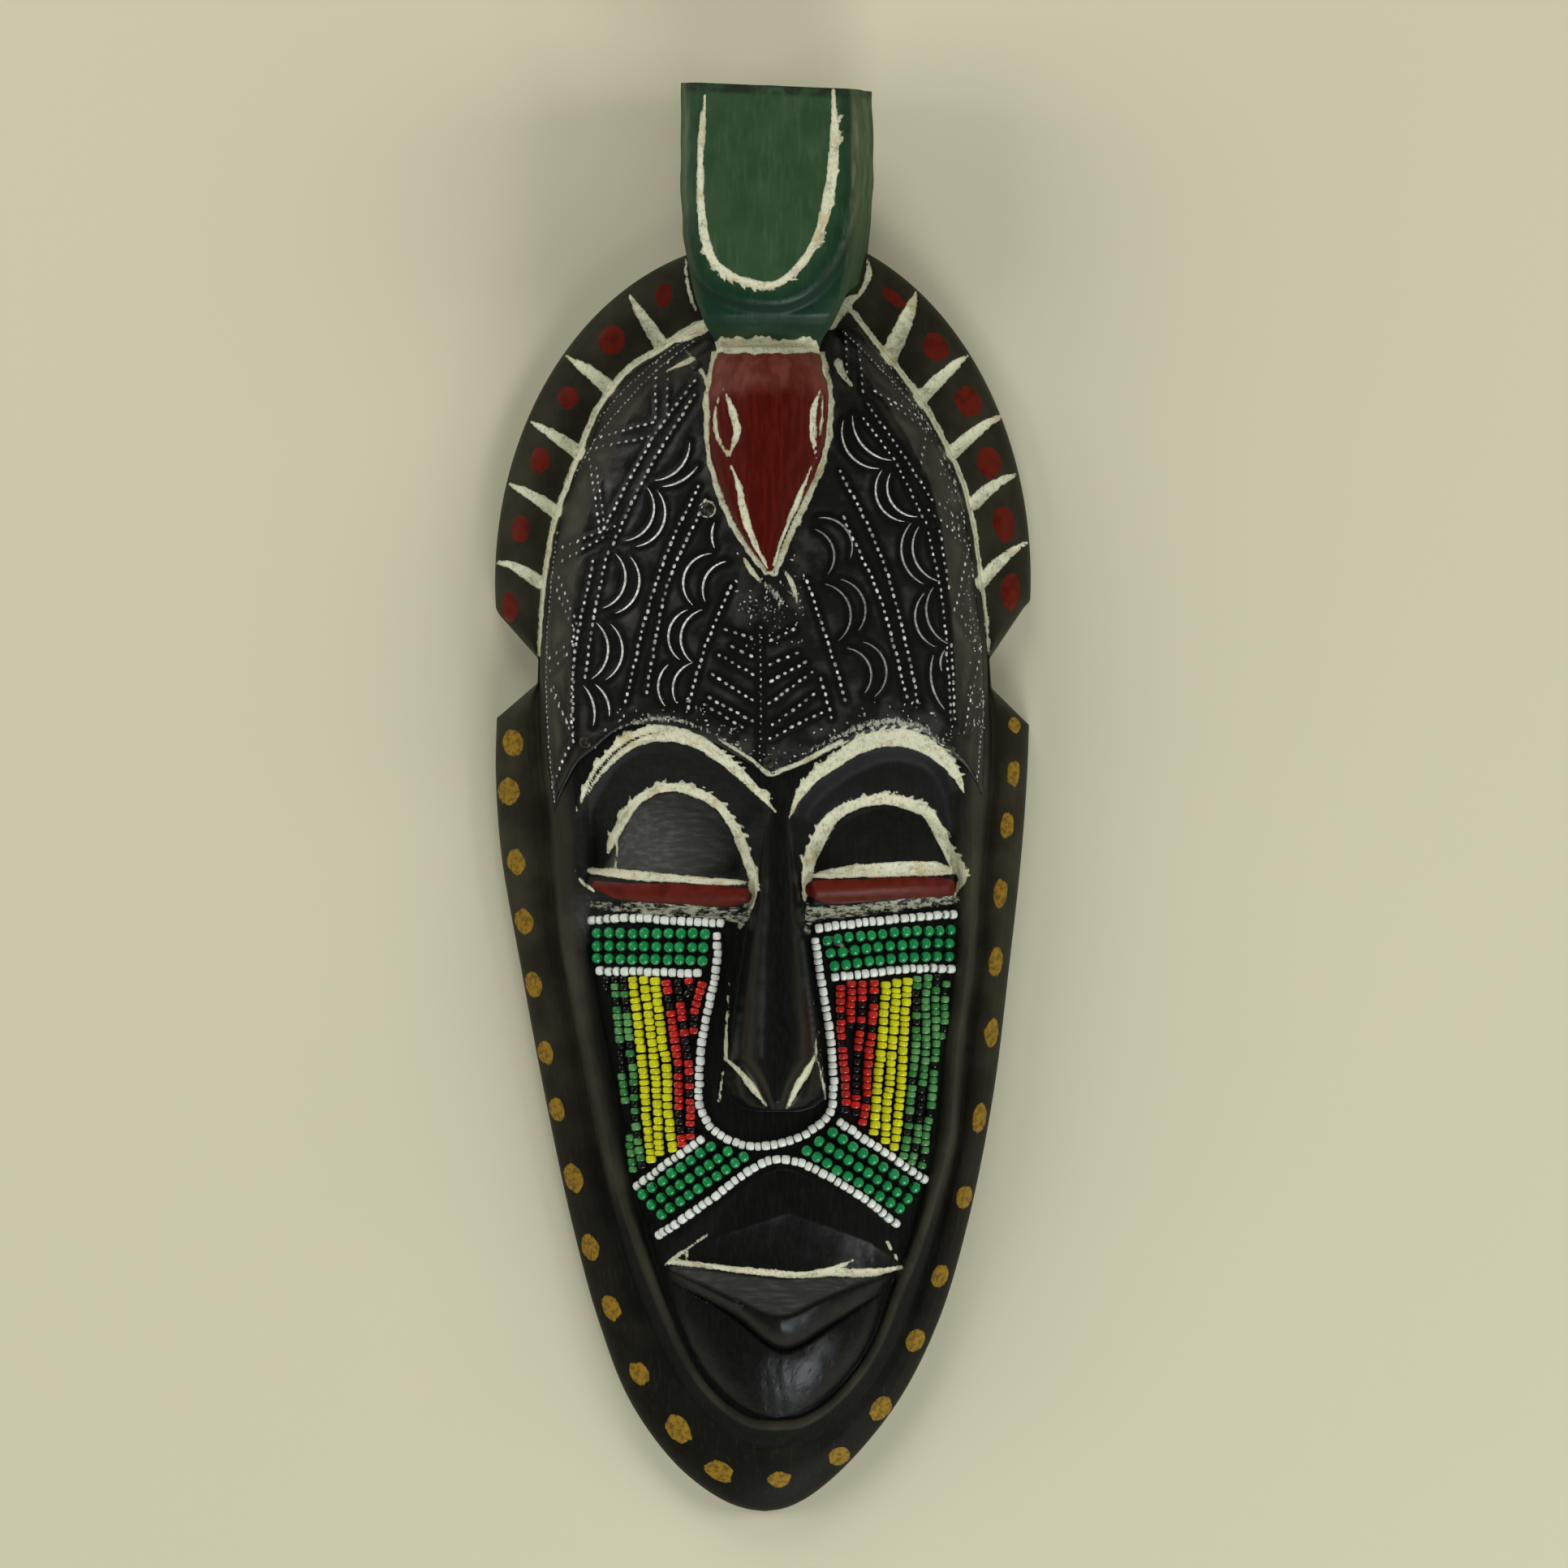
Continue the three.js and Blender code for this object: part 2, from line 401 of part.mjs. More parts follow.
// One half of a row: corners from the flange's edge in to the recess beside the face.
function halfRow(side, foot, outline, level) {
  let [low, high] = [0, 1];
  while (high - low > 1e-6) {
    const middle = (low + high) / 2;
    if (foot.getPoint(middle).y > level) low = middle;
    else high = middle;
  }
  const { x, y } = foot.getPoint(low);
  const fan = y > FAN_TOP[1] ? FAN_TOP : FAN_LOW;
  const turned = y > FAN_TOP[1] || y < FAN_LOW[1];
  const length = Math.hypot(x - fan[0], y - fan[1]);
  const out = turned ? [(x - fan[0]) / length, (y - fan[1]) / length] : [side.sign, 0];
  const edge = meet([x, y], out, outline);
  const inward = (distance) => [x - out[0] * distance, y - out[1] * distance];
  const band = side.band(level);
  return [
    [...edge, EDGE_LEVEL(level)],
    [...mix(edge, [x, y], EDGE_ROUNDING.share), EDGE_LEVEL(level) + EDGE_ROUNDING.rise],
    [...mix(edge, [x, y], FLANGE_CROWN.share), FLANGE_CROWN.level],
    [x, y, FOOT_LEVEL(level)],
    [...inward(WALL_INSET), WALL_LEVEL(level)],
    [...inward(band), RIDGE_LEVEL(level)],
    [...inward(band + RECESS_WIDTH), RECESS_LEVEL(level)],
  ];
}

// Every row, from the left edge over the face to the right edge.
function carvedRows() {
  const outline = [...outlineOf(RIGHT).reverse(), ...outlineOf(LEFT)];
  const halves = [LEFT, RIGHT].map((side) => {
    const foot = curve(side.foot);
    return rowLevels(side).map((level) => halfRow(side, foot, outline, level));
  });
  return halves[0].map((left, i) => {
    const right = halves[1][i];
    const [from, to] = [left.at(-1), right.at(-1)];
    const level = rowLevels(LEFT)[i];
    const face = Array.from({ length: FACE_COLUMNS - 1 }, (_, k) => {
      const [x, y, base] = mix(from, to, (k + 1) / FACE_COLUMNS);
      const across = Math.abs((2 * (k + 1)) / FACE_COLUMNS - 1);
      return [x, y, base + (CENTRE_LEVEL(y) - base) * (1 - across ** FULLNESS(level))];
    });
    return [...left, ...face, ...[...right].reverse()];
  });
}

// The block as first carved: the rows' surface over a flat back.
function carvedBlock(grid) {
  const across = grid[0].length;
  const end = grid.length - 1;
  const at = (i, k) => i * across + k;
  const corners = grid.flat();
  const faces = [];
  for (let i = 0; i < end; i += 1) {
    for (let k = 0; k < across - 1; k += 1) {
      faces.push(...quad(at(i, k), at(i + 1, k), at(i + 1, k + 1), at(i, k + 1)));
    }
  }
  const rim = [
    ...grid.map((_, i) => at(i, 0)),
    ...grid.map((_, i) => at(end - i, across - 1)),
  ].filter((corner, i, list) => {
    const before = corners[list.at(i - 1)];
    return Math.hypot(corners[corner][0] - before[0], corners[corner][1] - before[1]) > 1e-3;
  });
  const floor = corners.length;
  rim.forEach((corner) => corners.push([corners[corner][0], corners[corner][1], 0]));
  rim.forEach((corner, i) => {
    const next = (i + 1) % rim.length;
    faces.push(...quad(corner, floor + i, floor + next, rim[next]));
  });
  const flat = rim.map((corner) => new THREE.Vector2(corners[corner][0], corners[corner][1]));
  const back = THREE.ShapeUtils.triangulateShape(flat, []);
  faces.push(...back.map((face) => face.map((i) => floor + i).reverse()));
  return solid(corners, faces);
}

function hollow() {
  const { x, y, halfWidth, halfLength, sides } = HOLLOW;
  return loft(HOLLOW_STEPS.map(([scale, level]) => (
    ring([x, y], scale * halfWidth, scale * halfLength, sides, level)
  )));
}

// A tapering V cut along a path on a surface.
function groove(surface, path, { width, depth, steps }) {
  const line = curve(path);
  return loft(Array.from({ length: steps + 1 }, (_, i) => {
    const t = i / steps;
    const { x, y } = line.getPointAt(t);
    const tangent = line.getTangentAt(t);
    const taper = Math.max(CUT_POINT, Math.sin(Math.PI * t) ** 0.5);
    const half = (width / 2) * taper * (1 + CUT_RISE / depth);
    const level = surface(x, y);
    return [
      [x - tangent.y * half, y + tangent.x * half, level + CUT_RISE],
      [x + tangent.y * half, y - tangent.x * half, level + CUT_RISE],
      [x, y, level - depth * taper],
    ];
  }));
}

// A socket sunk from the brow down to the lid.
function socket(surface, eye) {
  const brow = curve(eye.brow).getPoints(12).map((point) => [point.x, point.y]);
  const rim = [...brow, ...eye.under];
  const sunk = rim.map(([x, y]) => [x, y, surface(x, y) - SOCKET_DEPTH]);
  const open = sunk.map(([x, y, z]) => [x, y, z + CLEAR_ABOVE]);
  const middle = [[eye.x, eye.y, surface(eye.x, eye.y) - SOCKET_DEPTH]];
  const count = rim.length;
  const faces = sunk.flatMap((_, i) => {
    const next = (i + 1) % count;
    const fans = [[i, 2 * count, next], [count + i, count + next, 2 * count + 1]];
    return [...quad(i, next, count + next, count + i), ...fans];
  });
  const top = raised([middle], CLEAR_ABOVE)[0];
  return solid([...sunk, ...open, ...middle, ...top], faces);
}

// An oval ring of corners.
function ring([x, y], halfWidth, halfHeight, sides, level) {
  return Array.from({ length: sides }, (_, i) => {
    const angle = (2 * Math.PI * i) / sides;
    return [x + halfWidth * Math.cos(angle), y + halfHeight * Math.sin(angle), level];
  });
}

function eyeball(surface, { x, y, halfWidth, halfHeight }) {
  const { rise, depth, sides, steps } = EYEBALL;
  const base = surface(x, y) + rise - depth;
  return loft(steps.map(([scale, share]) => (
    ring([x, y], scale * halfWidth, scale * halfHeight, sides, base + depth * share)
  )));
}

function lid(surface, eye) {
  const [from, to] = eye.lid;
  return loft(Array.from({ length: LID_STEPS + 1 }, (_, i) => {
    const [x, y] = mix(from, to, i / LID_STEPS);
    const level = surface(x, y);
    return LID_SECTION.map(([dy, dz]) => [x, y + dy, level + dz]);
  }));
}

function nose(sections, surface) {
  return loft(sections.map(([y, half, level]) => {
    const foot = surface(NOSE_AXIS - half, y);
    const side = [
      [half, foot - NOSE_ROOT],
      [half, foot - 0.5],
      [half * NOSE_SHOULDER.share, foot + (level - foot) * NOSE_SHOULDER.rise],
      [half * NOSE_RIDGE_SHARE, level],
    ];
    const left = side.map(([out, z]) => [NOSE_AXIS - out, y, z]);
    const right = side.map(([out, z]) => [NOSE_AXIS + out, y, z]).reverse();
    return [...left, ...right];
  }));
}

function parrotBody() {
  return loft(PARROT_BODY.map(([y, left, right, top, under]) => [
    [left, y, under],
    [left, y, top - BODY_EDGE.left],
    [left + BODY_BEVEL.inset, y, top - BODY_BEVEL.drop],
    [left + BODY_BORDER, y, top],
    [right - BODY_BORDER, y, top],
    [right - BODY_BEVEL.inset, y, top - BODY_BEVEL.drop],
    [right, y, top - BODY_EDGE.right],
    [right + (y > SHOULDER ? FLANK_LEAN : 0), y, under],
  ]));
}

function parrotHead() {
  return loft(PARROT_HEAD.map(([y, left, right, top]) => {
    const middle = (left + right) / 2;
    const half = (right - left) / 2;
    const cheek = top - half * HEAD_CHEEK.drop;
    return [
      [left, y, top - HEAD_DEPTH],
      [left, y, cheek - HEAD_EDGE],
      [middle - half * HEAD_CHEEK.share, y, cheek],
      [middle - half * HEAD_CROWN_SHARE, y, top],
      [middle + half * HEAD_CROWN_SHARE, y, top],
      [middle + half * HEAD_CHEEK.share, y, cheek],
      [right, y, cheek - HEAD_EDGE],
      [right, y, top - HEAD_DEPTH],
    ];
  }));
}

// The whole carving.
function maskBody(block) {
  const bare = surfaceOf(block);
  let body = block;
  EYES.forEach((eye) => {
    body = body.subtract(socket(bare, eye)).add(eyeball(bare, eye)).add(lid(bare, eye));
  });
  const mouth = MOUTH.map((line) => line.map(([x, y, rise]) => [x, y, bare(x, y) + rise]));
  body = body.subtract(slab(mouth, raised(mouth, CLEAR_ABOVE))).add(slab(raised(mouth, -MOUTH_ROOT), mouth));
  body = body.add(nose(NOSE, bare)).add(nose(NOSTRILS, bare));
  body = body.add(parrotBody()).add(parrotHead());
  const carved = surfaceOf(body);
  const cut = (paths, kind) => paths.forEach((path) => {
    body = body.subtract(groove(carved, path, kind));
  });
  cut(CREST_CUTS, CREST_CUT);
  cut(EYES.map((eye) => eye.arch), ARCH_CUT);
  cut([THROAT_MARK], THROAT_CUT);
  cut([...NOSTRIL_LINES, ...BEAK_LINES, ...HEAD_LEAVES], FINE_CUT);
  return body.subtract(hollow());
}

// The sheet follows the bare dome of the forehead and is cut to its outline.
function foreheadSheet(grid) {
  const wall = 4;
  const dome = grid
    .filter((line) => line[wall][1] > SHEET_LOWEST)
    .slice(1)
    .map((line) => line.slice(wall, line.length - wall));
  const skin = slab(raised(dome, SHEET_GAP), raised(dome, SHEET_GAP + SHEET_THICKNESS));
  const side = ({ sign, foot, sheetSpan }) => curve(foot)
    .getPoints(60)
    .map((point) => [point.x - sign * SHEET_INSET, point.y])
    .filter((point) => point[1] > sheetSpan[0] && point[1] < sheetSpan[1]);
  const left = side(LEFT);
  const right = side(RIGHT).reverse();
  const headSide = (column, out) => PARROT_HEAD.map((section) => [section[column] + out, section[0]]);
  const headLeft = headSide(1, -HEAD_CLEARANCE).reverse();
  const headRight = headSide(2, HEAD_CLEARANCE);
  const head = [CROWN_CORNER, ...headRight, BEAK_NOTCH, ...headLeft];
  const outline = [...left, ...SHEET_LOWER_EDGE, ...right, ...head];
  return skin.intersect(prism(outline, ...SHEET_REACH));
}

// An upright prism over a flat outline.
function prism(outline, low, high) {
  const count = outline.length;
  const flat = outline.map(([x, y]) => new THREE.Vector2(x, y));
  const ends = THREE.ShapeUtils.triangulateShape(flat, []);
  const turned = THREE.ShapeUtils.isClockWise(flat) ? -1 : 1;
  const faces = ends.flatMap(([a, b, c]) => [[c, b, a], [a + count, b + count, c + count]]);
  outline.forEach((_, i) => {
    const next = (i + 1) % count;
    const face = quad(i, next, next + count, i + count);
    faces.push(...(turned > 0 ? face : face.map(([a, b, c]) => [a, c, b])));
  });
  return solid([...outline.map(([x, y]) => [x, y, low]), ...outline.map(([x, y]) => [x, y, high])], faces);
}

function nail(surface, place) {
  const { radius, height, sides, steps } = NAIL;
  const under = [[...place, 0], ...ring(place, radius, radius, sides, 0)];
  const seat = Math.max(...under.map(([x, y]) => surface(x, y))) + BEAD_GAP;
  return loft(steps.map(([scale, share]) => (
    ring(place, radius * scale, radius * scale, sides, seat + height * share)
  )));
}

// A strand of beads lying on the cheek: a ring at each bead's belly and one at each joint between beads.
function strand(surface, kind, path) {
  const line = curve(path);
  const length = line.getLength();
  const beads = Math.max(2, Math.round(length / kind.pitch));
  const steps = kind.round ? 2 * beads : Math.max(2, Math.round(length / RIB_STEP));
  return loft(Array.from({ length: steps + 1 }, (_, i) => {
    const t = i / steps;
    const { x, y } = line.getPointAt(t);
    const tangent = line.getTangentAt(t);
    const scale = kind.round && i % 2 === 0 ? JOINT_SCALE : 1;
    const half = (kind.width / 2) * scale;
    const crown = half * BEAD_CROWN_SHARE;
    const across = (offset) => [x - tangent.y * offset, y + tangent.x * offset];
    const reach = length / steps / 2;
    const under = [-1, 0, 1].flatMap((k) => [-reach, 0, reach].map((along) => {
      const [px, py] = across((k * kind.width) / 2);
      return surface(px + tangent.x * along, py + tangent.y * along);
    }));
    const base = Math.max(...under) + BEAD_GAP;
    return [
      [...across(-half), base],
      [...across(half), base],
      [...across(crown), base + kind.height * scale],
      [...across(-crown), base + kind.height * scale],
    ];
  }));
}

// A solid as a named mesh in its finish.
function mesh(name, shape, colour, roughness, metalness = 0) {
  const { numProp, vertProperties, triVerts } = shape.getMesh();
  const count = vertProperties.length / numProp;
  const positions = new Float32Array(count * 3);
  for (let i = 0; i < count; i += 1) {
    positions.set(vertProperties.subarray(i * numProp, i * numProp + 3), i * 3);
  }
  const geometry = new THREE.BufferGeometry();
  geometry.setAttribute("position", new THREE.BufferAttribute(positions, 3));
  geometry.setIndex(new THREE.BufferAttribute(new Uint32Array(triVerts), 1));
  geometry.computeVertexNormals();
  const finish = new THREE.MeshStandardMaterial({ color: colour, roughness, metalness });
  const made = new THREE.Mesh(geometry, finish);
  made.name = name;
  return made;
}

const grid = carvedRows();
const body = maskBody(carvedBlock(grid));
const sheet = foreheadSheet(grid);
const bodySurface = surfaceOf(body);
const sheetSurface = surfaceOf(sheet);

const mask = new THREE.Group();
mask.add(mesh("mask_body", body, 0x24241f, 0.55));
mask.add(mesh("forehead_plate", sheet, 0x2b2b2d, 0.45, 0.8));
NAILS.forEach((place, i) => {
  mask.add(mesh(`plate_nail_${i + 1}`, nail(sheetSurface, place), 0x4a4a4c, 0.5, 0.8));
});
STRANDS.forEach(([name, kind, path]) => {
  mask.add(mesh(name, strand(bodySurface, kind, path), kind.colour, 0.25));
});

const box = new THREE.Box3().setFromObject(mask);
mask.position.set(-(box.min.x + box.max.x) / 2, -(box.min.y + box.max.y) / 2, -box.min.z);

export default mask;
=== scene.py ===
"""A carved and painted wooden mask with a parrot above its forehead, an embossed metal sheet and glass
beads.

Measures are millimetres in the carver's frame (x to the right, y up the mask, z out of its flat back), and
to_frame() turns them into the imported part's metres. Colours are linear red, green and blue.
"""
import math

import bmesh
import bpy
import numpy as np
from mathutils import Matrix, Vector
from mathutils.bvhtree import BVHTree


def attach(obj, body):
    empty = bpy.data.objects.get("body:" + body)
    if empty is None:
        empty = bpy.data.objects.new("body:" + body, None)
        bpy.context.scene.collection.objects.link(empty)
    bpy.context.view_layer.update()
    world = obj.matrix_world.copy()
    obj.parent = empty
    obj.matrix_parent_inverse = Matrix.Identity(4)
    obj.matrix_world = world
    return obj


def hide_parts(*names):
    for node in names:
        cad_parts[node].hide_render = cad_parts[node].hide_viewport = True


MM = 0.001
# From the carver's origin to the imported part's.
SHIFT = np.array([0.0098, -0.3418, 0])
TINY = 1e-9
random = np.random.default_rng(11)

# The outer outline: an elliptical crest, a notch at each temple and a long oval down to the chin.
CREST_HALF_WIDTH = 78.5
TIP = (0.5, -208.9)
SIDES = {
    -1: {
        "crest": (63.5, 100),
        "notch": [(-77.4, 54), (-65.8, 41), (-66.1, 33.8)],
        "lower": [(-78, 23.6), (-78.3, 8), (-76.7, -16), (-71, -49), (-63.9, -87), (-55.8, -125),
                  (-48, -153.5), (-38.7, -177), (-25, -195.6), (-12.8, -205), (-5.5, -208), TIP],
        "foot": [(2, 148), (-10, 144.8), (-19.5, 139.2), (-30.4, 131.6), (-39.5, 125.5), (-45.8, 118.5),
                 (-53.2, 103), (-59.9, 86.5), (-63.6, 68), (-65.4, 50), (-65.6, 32), (-65.2, 15),
                 (-62.9, -5), (-61.7, -23), (-60.1, -41), (-56.5, -60), (-52.3, -81), (-48.2, -102),
                 (-43, -124), (-37.5, -142), (-29, -162), (-20, -176.5), (-11, -185.3), (-3.5, -189.2),
                 (4, -190)],
        "band": [(-190, 6.5), (-170, 5.2), (-150, 5), (-130, 4.2), (-118, 3.8), (-60, 3.8), (-41, 6),
                 (-24, 8), (0, 8.5), (20, 6), (148, 5)],
    },
    1: {
        "crest": (64.5, 103.5),
        "notch": [(76.5, 56), (66.4, 41), (67, 32.4)],
        "lower": [(78, 21.6), (77.5, 8), (75.8, -16), (72.2, -49), (67.5, -87), (59.9, -125), (51.3, -153.5),
                  (39.4, -177), (24, -195.8), (12.8, -205), (6.2, -208), TIP],
        "foot": [(2, 148), (14, 146.8), (24.9, 143.5), (33.3, 133.5), (41.6, 123.3), (47.5, 115),
                 (53.5, 104), (58.2, 93.6), (61.8, 79), (64.3, 60), (65.8, 44), (66.2, 33), (66.8, 16),
                 (66.2, 2), (64.4, -20), (62.5, -47), (59.4, -72), (57, -98.6), (54.2, -112), (49.5, -130.4),
                 (44, -147), (37, -164), (28.5, -176.3), (19, -185.2), (11.5, -189.2), (4, -190)],
        "band": [(-190, 6.5), (-170, 5.4), (-150, 5), (-130, 3.6), (-98, 2.8), (-47, 2.8), (-20, 4),
                 (0, 5.5), (20, 6), (148, 5)],
    },
}
# Sections fan out from these two middles above and below them.
FAN_TOP = (2, 80)
FAN_LOW = (4, -120)


def smooth(stations):
    """A smooth value through rising stations [(place, value), ...], without overshoot."""
    place, value = (np.array(column, float) for column in zip(*stations))
    slope = np.diff(value) / np.diff(place)
    tangent = np.concatenate([slope[:1], np.zeros(len(slope) - 1), slope[-1:]])
    same = slope[:-1] * slope[1:] > 0
    total = np.where(same, slope[:-1] + slope[1:], 1)
    tangent[1:-1] = np.where(same, 2 * slope[:-1] * slope[1:] / total, 0)

    def read(at):
        at = np.clip(at, place[0], place[-1])
        i = np.clip(np.searchsorted(place, at, side="right") - 1, 0, len(place) - 2)
        span = place[i + 1] - place[i]
        t = (at - place[i]) / span
        rise = t * t * (3 - 2 * t)
        bend = t * (1 - t) ** 2 * tangent[i] - t * t * (1 - t) * tangent[i + 1]
        return value[i] * (1 - rise) + value[i + 1] * rise + span * bend
    return read


# Heights above the flat back, by the place along the mask.
EDGE_LEVEL = smooth([(-210, 6), (-120, 6.5), (20, 7), (165, 7.5)])
FLANGE_CROWN = 14
FOOT_LEVEL = smooth([(-190, 15.2), (-170, 14.6), (-145, 13.2), (-115, 12), (0, 12), (60, 13), (148, 12.5)])
WALL_LEVEL = smooth([(-190, 15.9), (-170, 16), (-150, 16.8), (-120, 18.8), (-60, 21), (-10, 21), (10, 20),
                     (60, 19), (135, 17), (148, 14)])
RIDGE_LEVEL = smooth([(-190, 18.3), (-170, 19.8), (-150, 21.8), (-120, 24.5), (-60, 27), (-5, 28), (20, 27),
                      (60, 26), (110, 25), (135, 21), (148, 15.5)])
RECESS_LEVEL = smooth([(-190, 16.8), (-150, 19.6), (-100, 21), (-50, 22.5), (-15, 24.5), (2, 28.5), (20, 31),
                       (60, 32), (110, 30.5), (135, 25), (148, 17)])
CENTRE_LEVEL = smooth([(-181.5, 17.2), (-176, 21.9), (-170, 26.2), (-162, 30.2), (-155, 31.8), (-125, 32.4),
                       (-95, 33), (-40, 35), (-10, 38), (5, 41.5), (25, 44.3), (50, 45), (80, 43.5),
                       (100, 40.5), (118, 35), (130, 28), (139, 17)])
FULLNESS = smooth([(-190, 2.6), (-20, 2.8), (20, 2.2), (148, 2)])
WALL_INSET = 1.2
RECESS_WIDTH = smooth([(-190, 2.2), (-150, 2.8), (-115, 4), (148, 4)])
FACE_COLUMNS = 160
# Steps on each straight stretch of the section, from the flange's underside in to the recess beside the
# face.
FLANGE_STEPS = (1, 2, 1, 12, 16, 2, 6, 3)
HEAD_STEPS = (1, 1, 1, 1, 1, 2, 5, 4)
CORNER_STEPS = 3
# The corners of the section: how far the flange's bevel and crown lie out, and how round each corner is.
UNDERSIDE_INSET = 0.9
BEVEL_AT = 0.88
BEVEL_RISE = 3
CROWN_AT = 0.5
SECTION_RADII = (0, 0.8, 2.4, 2.4, 6, 1.1, 1.6, 1.9, 0)
CORNERS_BEFORE_FOOT = 4
CREST_POINTS = 90
OUTLINE_STEP = 1.5
FOOT_STEP = 0.25
# The distance from row to row on the face, closest at the base of the nostrils.
FACE_ROW_STEPS = [(-190, 0.68), (-93, 0.68), (-91.5, 0.35), (-89, 0.35), (-87, 0.66), (22, 0.66)]
FOREHEAD_START, FOREHEAD_END = 30, 148
DEEP_INSIDE = -20.0
HOLLOW = {"x": 3, "y": -25, "half_width": 46, "half_length": 118}
HOLLOW_STEPS = smooth([(0, 0), (0.03, 6), (0.12, 15), (0.3, 22), (0.58, 26.5), (1, 28)])


def curve(points, step=0.4):
    """Points along a smooth curve through a few given ones."""
    p = np.array(points, float)
    ends = np.vstack([2 * p[0] - p[1], p, 2 * p[-1] - p[-2]])
    found = []
    for a, b, c, d in zip(ends, ends[1:], ends[2:], ends[3:]):
        before, here, after = (max(np.linalg.norm(v), TINY) ** 0.5 for v in (b - a, c - b, d - c))
        out = ((b - a) / before - (c - a) / (before + here) + (c - b) / here) * here
        into = ((c - b) / here - (d - b) / (here + after) + (d - c) / after) * here
        count = max(1, math.ceil(np.linalg.norm(c - b) / step))
        t = (np.arange(count) / count)[:, None]
        found.append((1 + 2 * t) * (1 - t) ** 2 * b + t * (1 - t) ** 2 * out
                     + t * t * (3 - 2 * t) * c + t * t * (t - 1) * into)
    return np.vstack([*found, p[-1:]])


def arc(points, step=0.5):
    """Points along the circle through a start, a belly and an end."""
    (ax, ay), (bx, by), (cx, cy) = points
    turn = 2 * (ax * (by - cy) + bx * (cy - ay) + cx * (ay - by))
    a, b, c = (x * x + y * y for x, y in points)
    centre = np.array([(a * (by - cy) + b * (cy - ay) + c * (ay - by)) / turn,
                       (a * (cx - bx) + b * (ax - cx) + c * (bx - ax)) / turn])
    start, belly, end = (math.atan2(y - centre[1], x - centre[0]) for x, y in points)
    to_end, to_belly = (end - start) % (2 * math.pi), (belly - start) % (2 * math.pi)
    sweep = to_end if to_belly < to_end else to_end - 2 * math.pi
    radius = math.hypot(ax - centre[0], ay - centre[1])
    angle = start + np.linspace(0, sweep, max(4, round(abs(sweep) * radius / step)))
    return centre + radius * np.stack([np.cos(angle), np.sin(angle)], axis=1)


def along(path):
    """The length run at each point of a path."""
    return np.concatenate([[0], np.cumsum(np.linalg.norm(np.diff(path, axis=0), axis=1))])


def at_length(path, places):
    """Points of a path at the given lengths along it."""
    run = along(path)
    return np.stack([np.interp(places, run, path[:, k]) for k in range(path.shape[1])], axis=-1)


def step_up(value, start, end):
    """0 before start, 1 after end, smooth between."""
    t = np.clip((value - start) / (end - start), 0, 1)
    return t * t * (3 - 2 * t)


def nearest(path, x, y, reach):
    """Distance from points to a path and the share of its length at the nearest place, within reach."""
    distance = np.full(x.shape, float(reach))
    share = np.zeros(x.shape)
    low, high = path.min(0) - reach, path.max(0) + reach
    near = (x > low[0]) & (x < high[0]) & (y > low[1]) & (y < high[1])
    px, py = x[near], y[near]
    best, where = np.full(px.shape, float(reach)), np.zeros(px.shape)
    run = along(path)
    for i, (a, b) in enumerate(zip(path, path[1:])):
        span = b - a
        length = max(np.hypot(*span), TINY)
        t = np.clip(((px - a[0]) * span[0] + (py - a[1]) * span[1]) / length ** 2, 0, 1)
        d = np.hypot(px - a[0] - t * span[0], py - a[1] - t * span[1])
        closer = d < best
        best[closer] = d[closer]
        where[closer] = ((run[i] + t * length) / run[-1])[closer]
    distance[near], share[near] = best, where
    return distance, share


def inside(polygon, x, y):
    """Whether points lie inside a closed outline."""
    found = np.zeros(x.shape, bool)
    for a, b in zip(polygon, np.roll(polygon, -1, axis=0)):
        crosses = (a[1] > y) != (b[1] > y)
        rise = b[1] - a[1] if b[1] != a[1] else TINY
        found ^= crosses & (x < (b[0] - a[0]) * (y - a[1]) / rise + a[0])
    return found


def ripple(x, y, size, seed):
    """Gentle hand-made unevenness between about -1 and 1."""
    draw = np.random.default_rng(seed)
    total = np.zeros(np.shape(x))
    for _ in range(7):
        angle, phase = draw.uniform(0, 2 * math.pi, 2)
        rate = 2 * math.pi / (size * draw.uniform(0.7, 1.6))
        total = total + np.sin(rate * (x * math.cos(angle) + y * math.sin(angle)) + phase)
    return total / 4


def closed(outline):
    """An outline that ends where it starts."""
    return np.vstack([outline, outline[:1]])


# The carved block.


def outline_of(sign):
    """The outline of one side, from the top of the crest to the tip of the chin."""
    side = SIDES[sign]
    centre, height = side["crest"]
    end = math.asin((side["notch"][0][1] - centre) / height)
    angle = np.linspace(math.pi / 2, end, CREST_POINTS)[:-1]
    crest = np.stack([sign * CREST_HALF_WIDTH * np.cos(angle), centre + height * np.sin(angle)], axis=1)
    return np.vstack([crest, side["notch"], curve(side["lower"], OUTLINE_STEP)])


def foot_column(steps):
    """The number of the column in the middle of the rounded groove at the head's foot."""
    straight = sum(k - 1 for k in steps[:CORNERS_BEFORE_FOOT + 1])
    return straight + CORNERS_BEFORE_FOOT * CORNER_STEPS + 1 + CORNER_STEPS // 2


def row_levels(forehead_step):
    """The height at which each row of the carving crosses the head's foot, closer together on the face."""
    foot = curve(SIDES[-1]["foot"], FOOT_STEP)
    run = along(foot)
    wanted = smooth([*FACE_ROW_STEPS, (FOREHEAD_START, forehead_step), (FOREHEAD_END, forehead_step)])
    places = [0.0]
    while places[-1] < run[-1]:
        places.append(places[-1] + float(wanted(np.interp(places[-1], run, foot[:, 1]))))
    return np.interp(np.append(places[:-1], run[-1]), run, foot[:, 1])


def profiles(pairs):
    """Rows of (distance, height) corners, out of the distances and heights of each corner by row."""
    return np.stack([np.stack(pair, axis=1) for pair in pairs], axis=1)


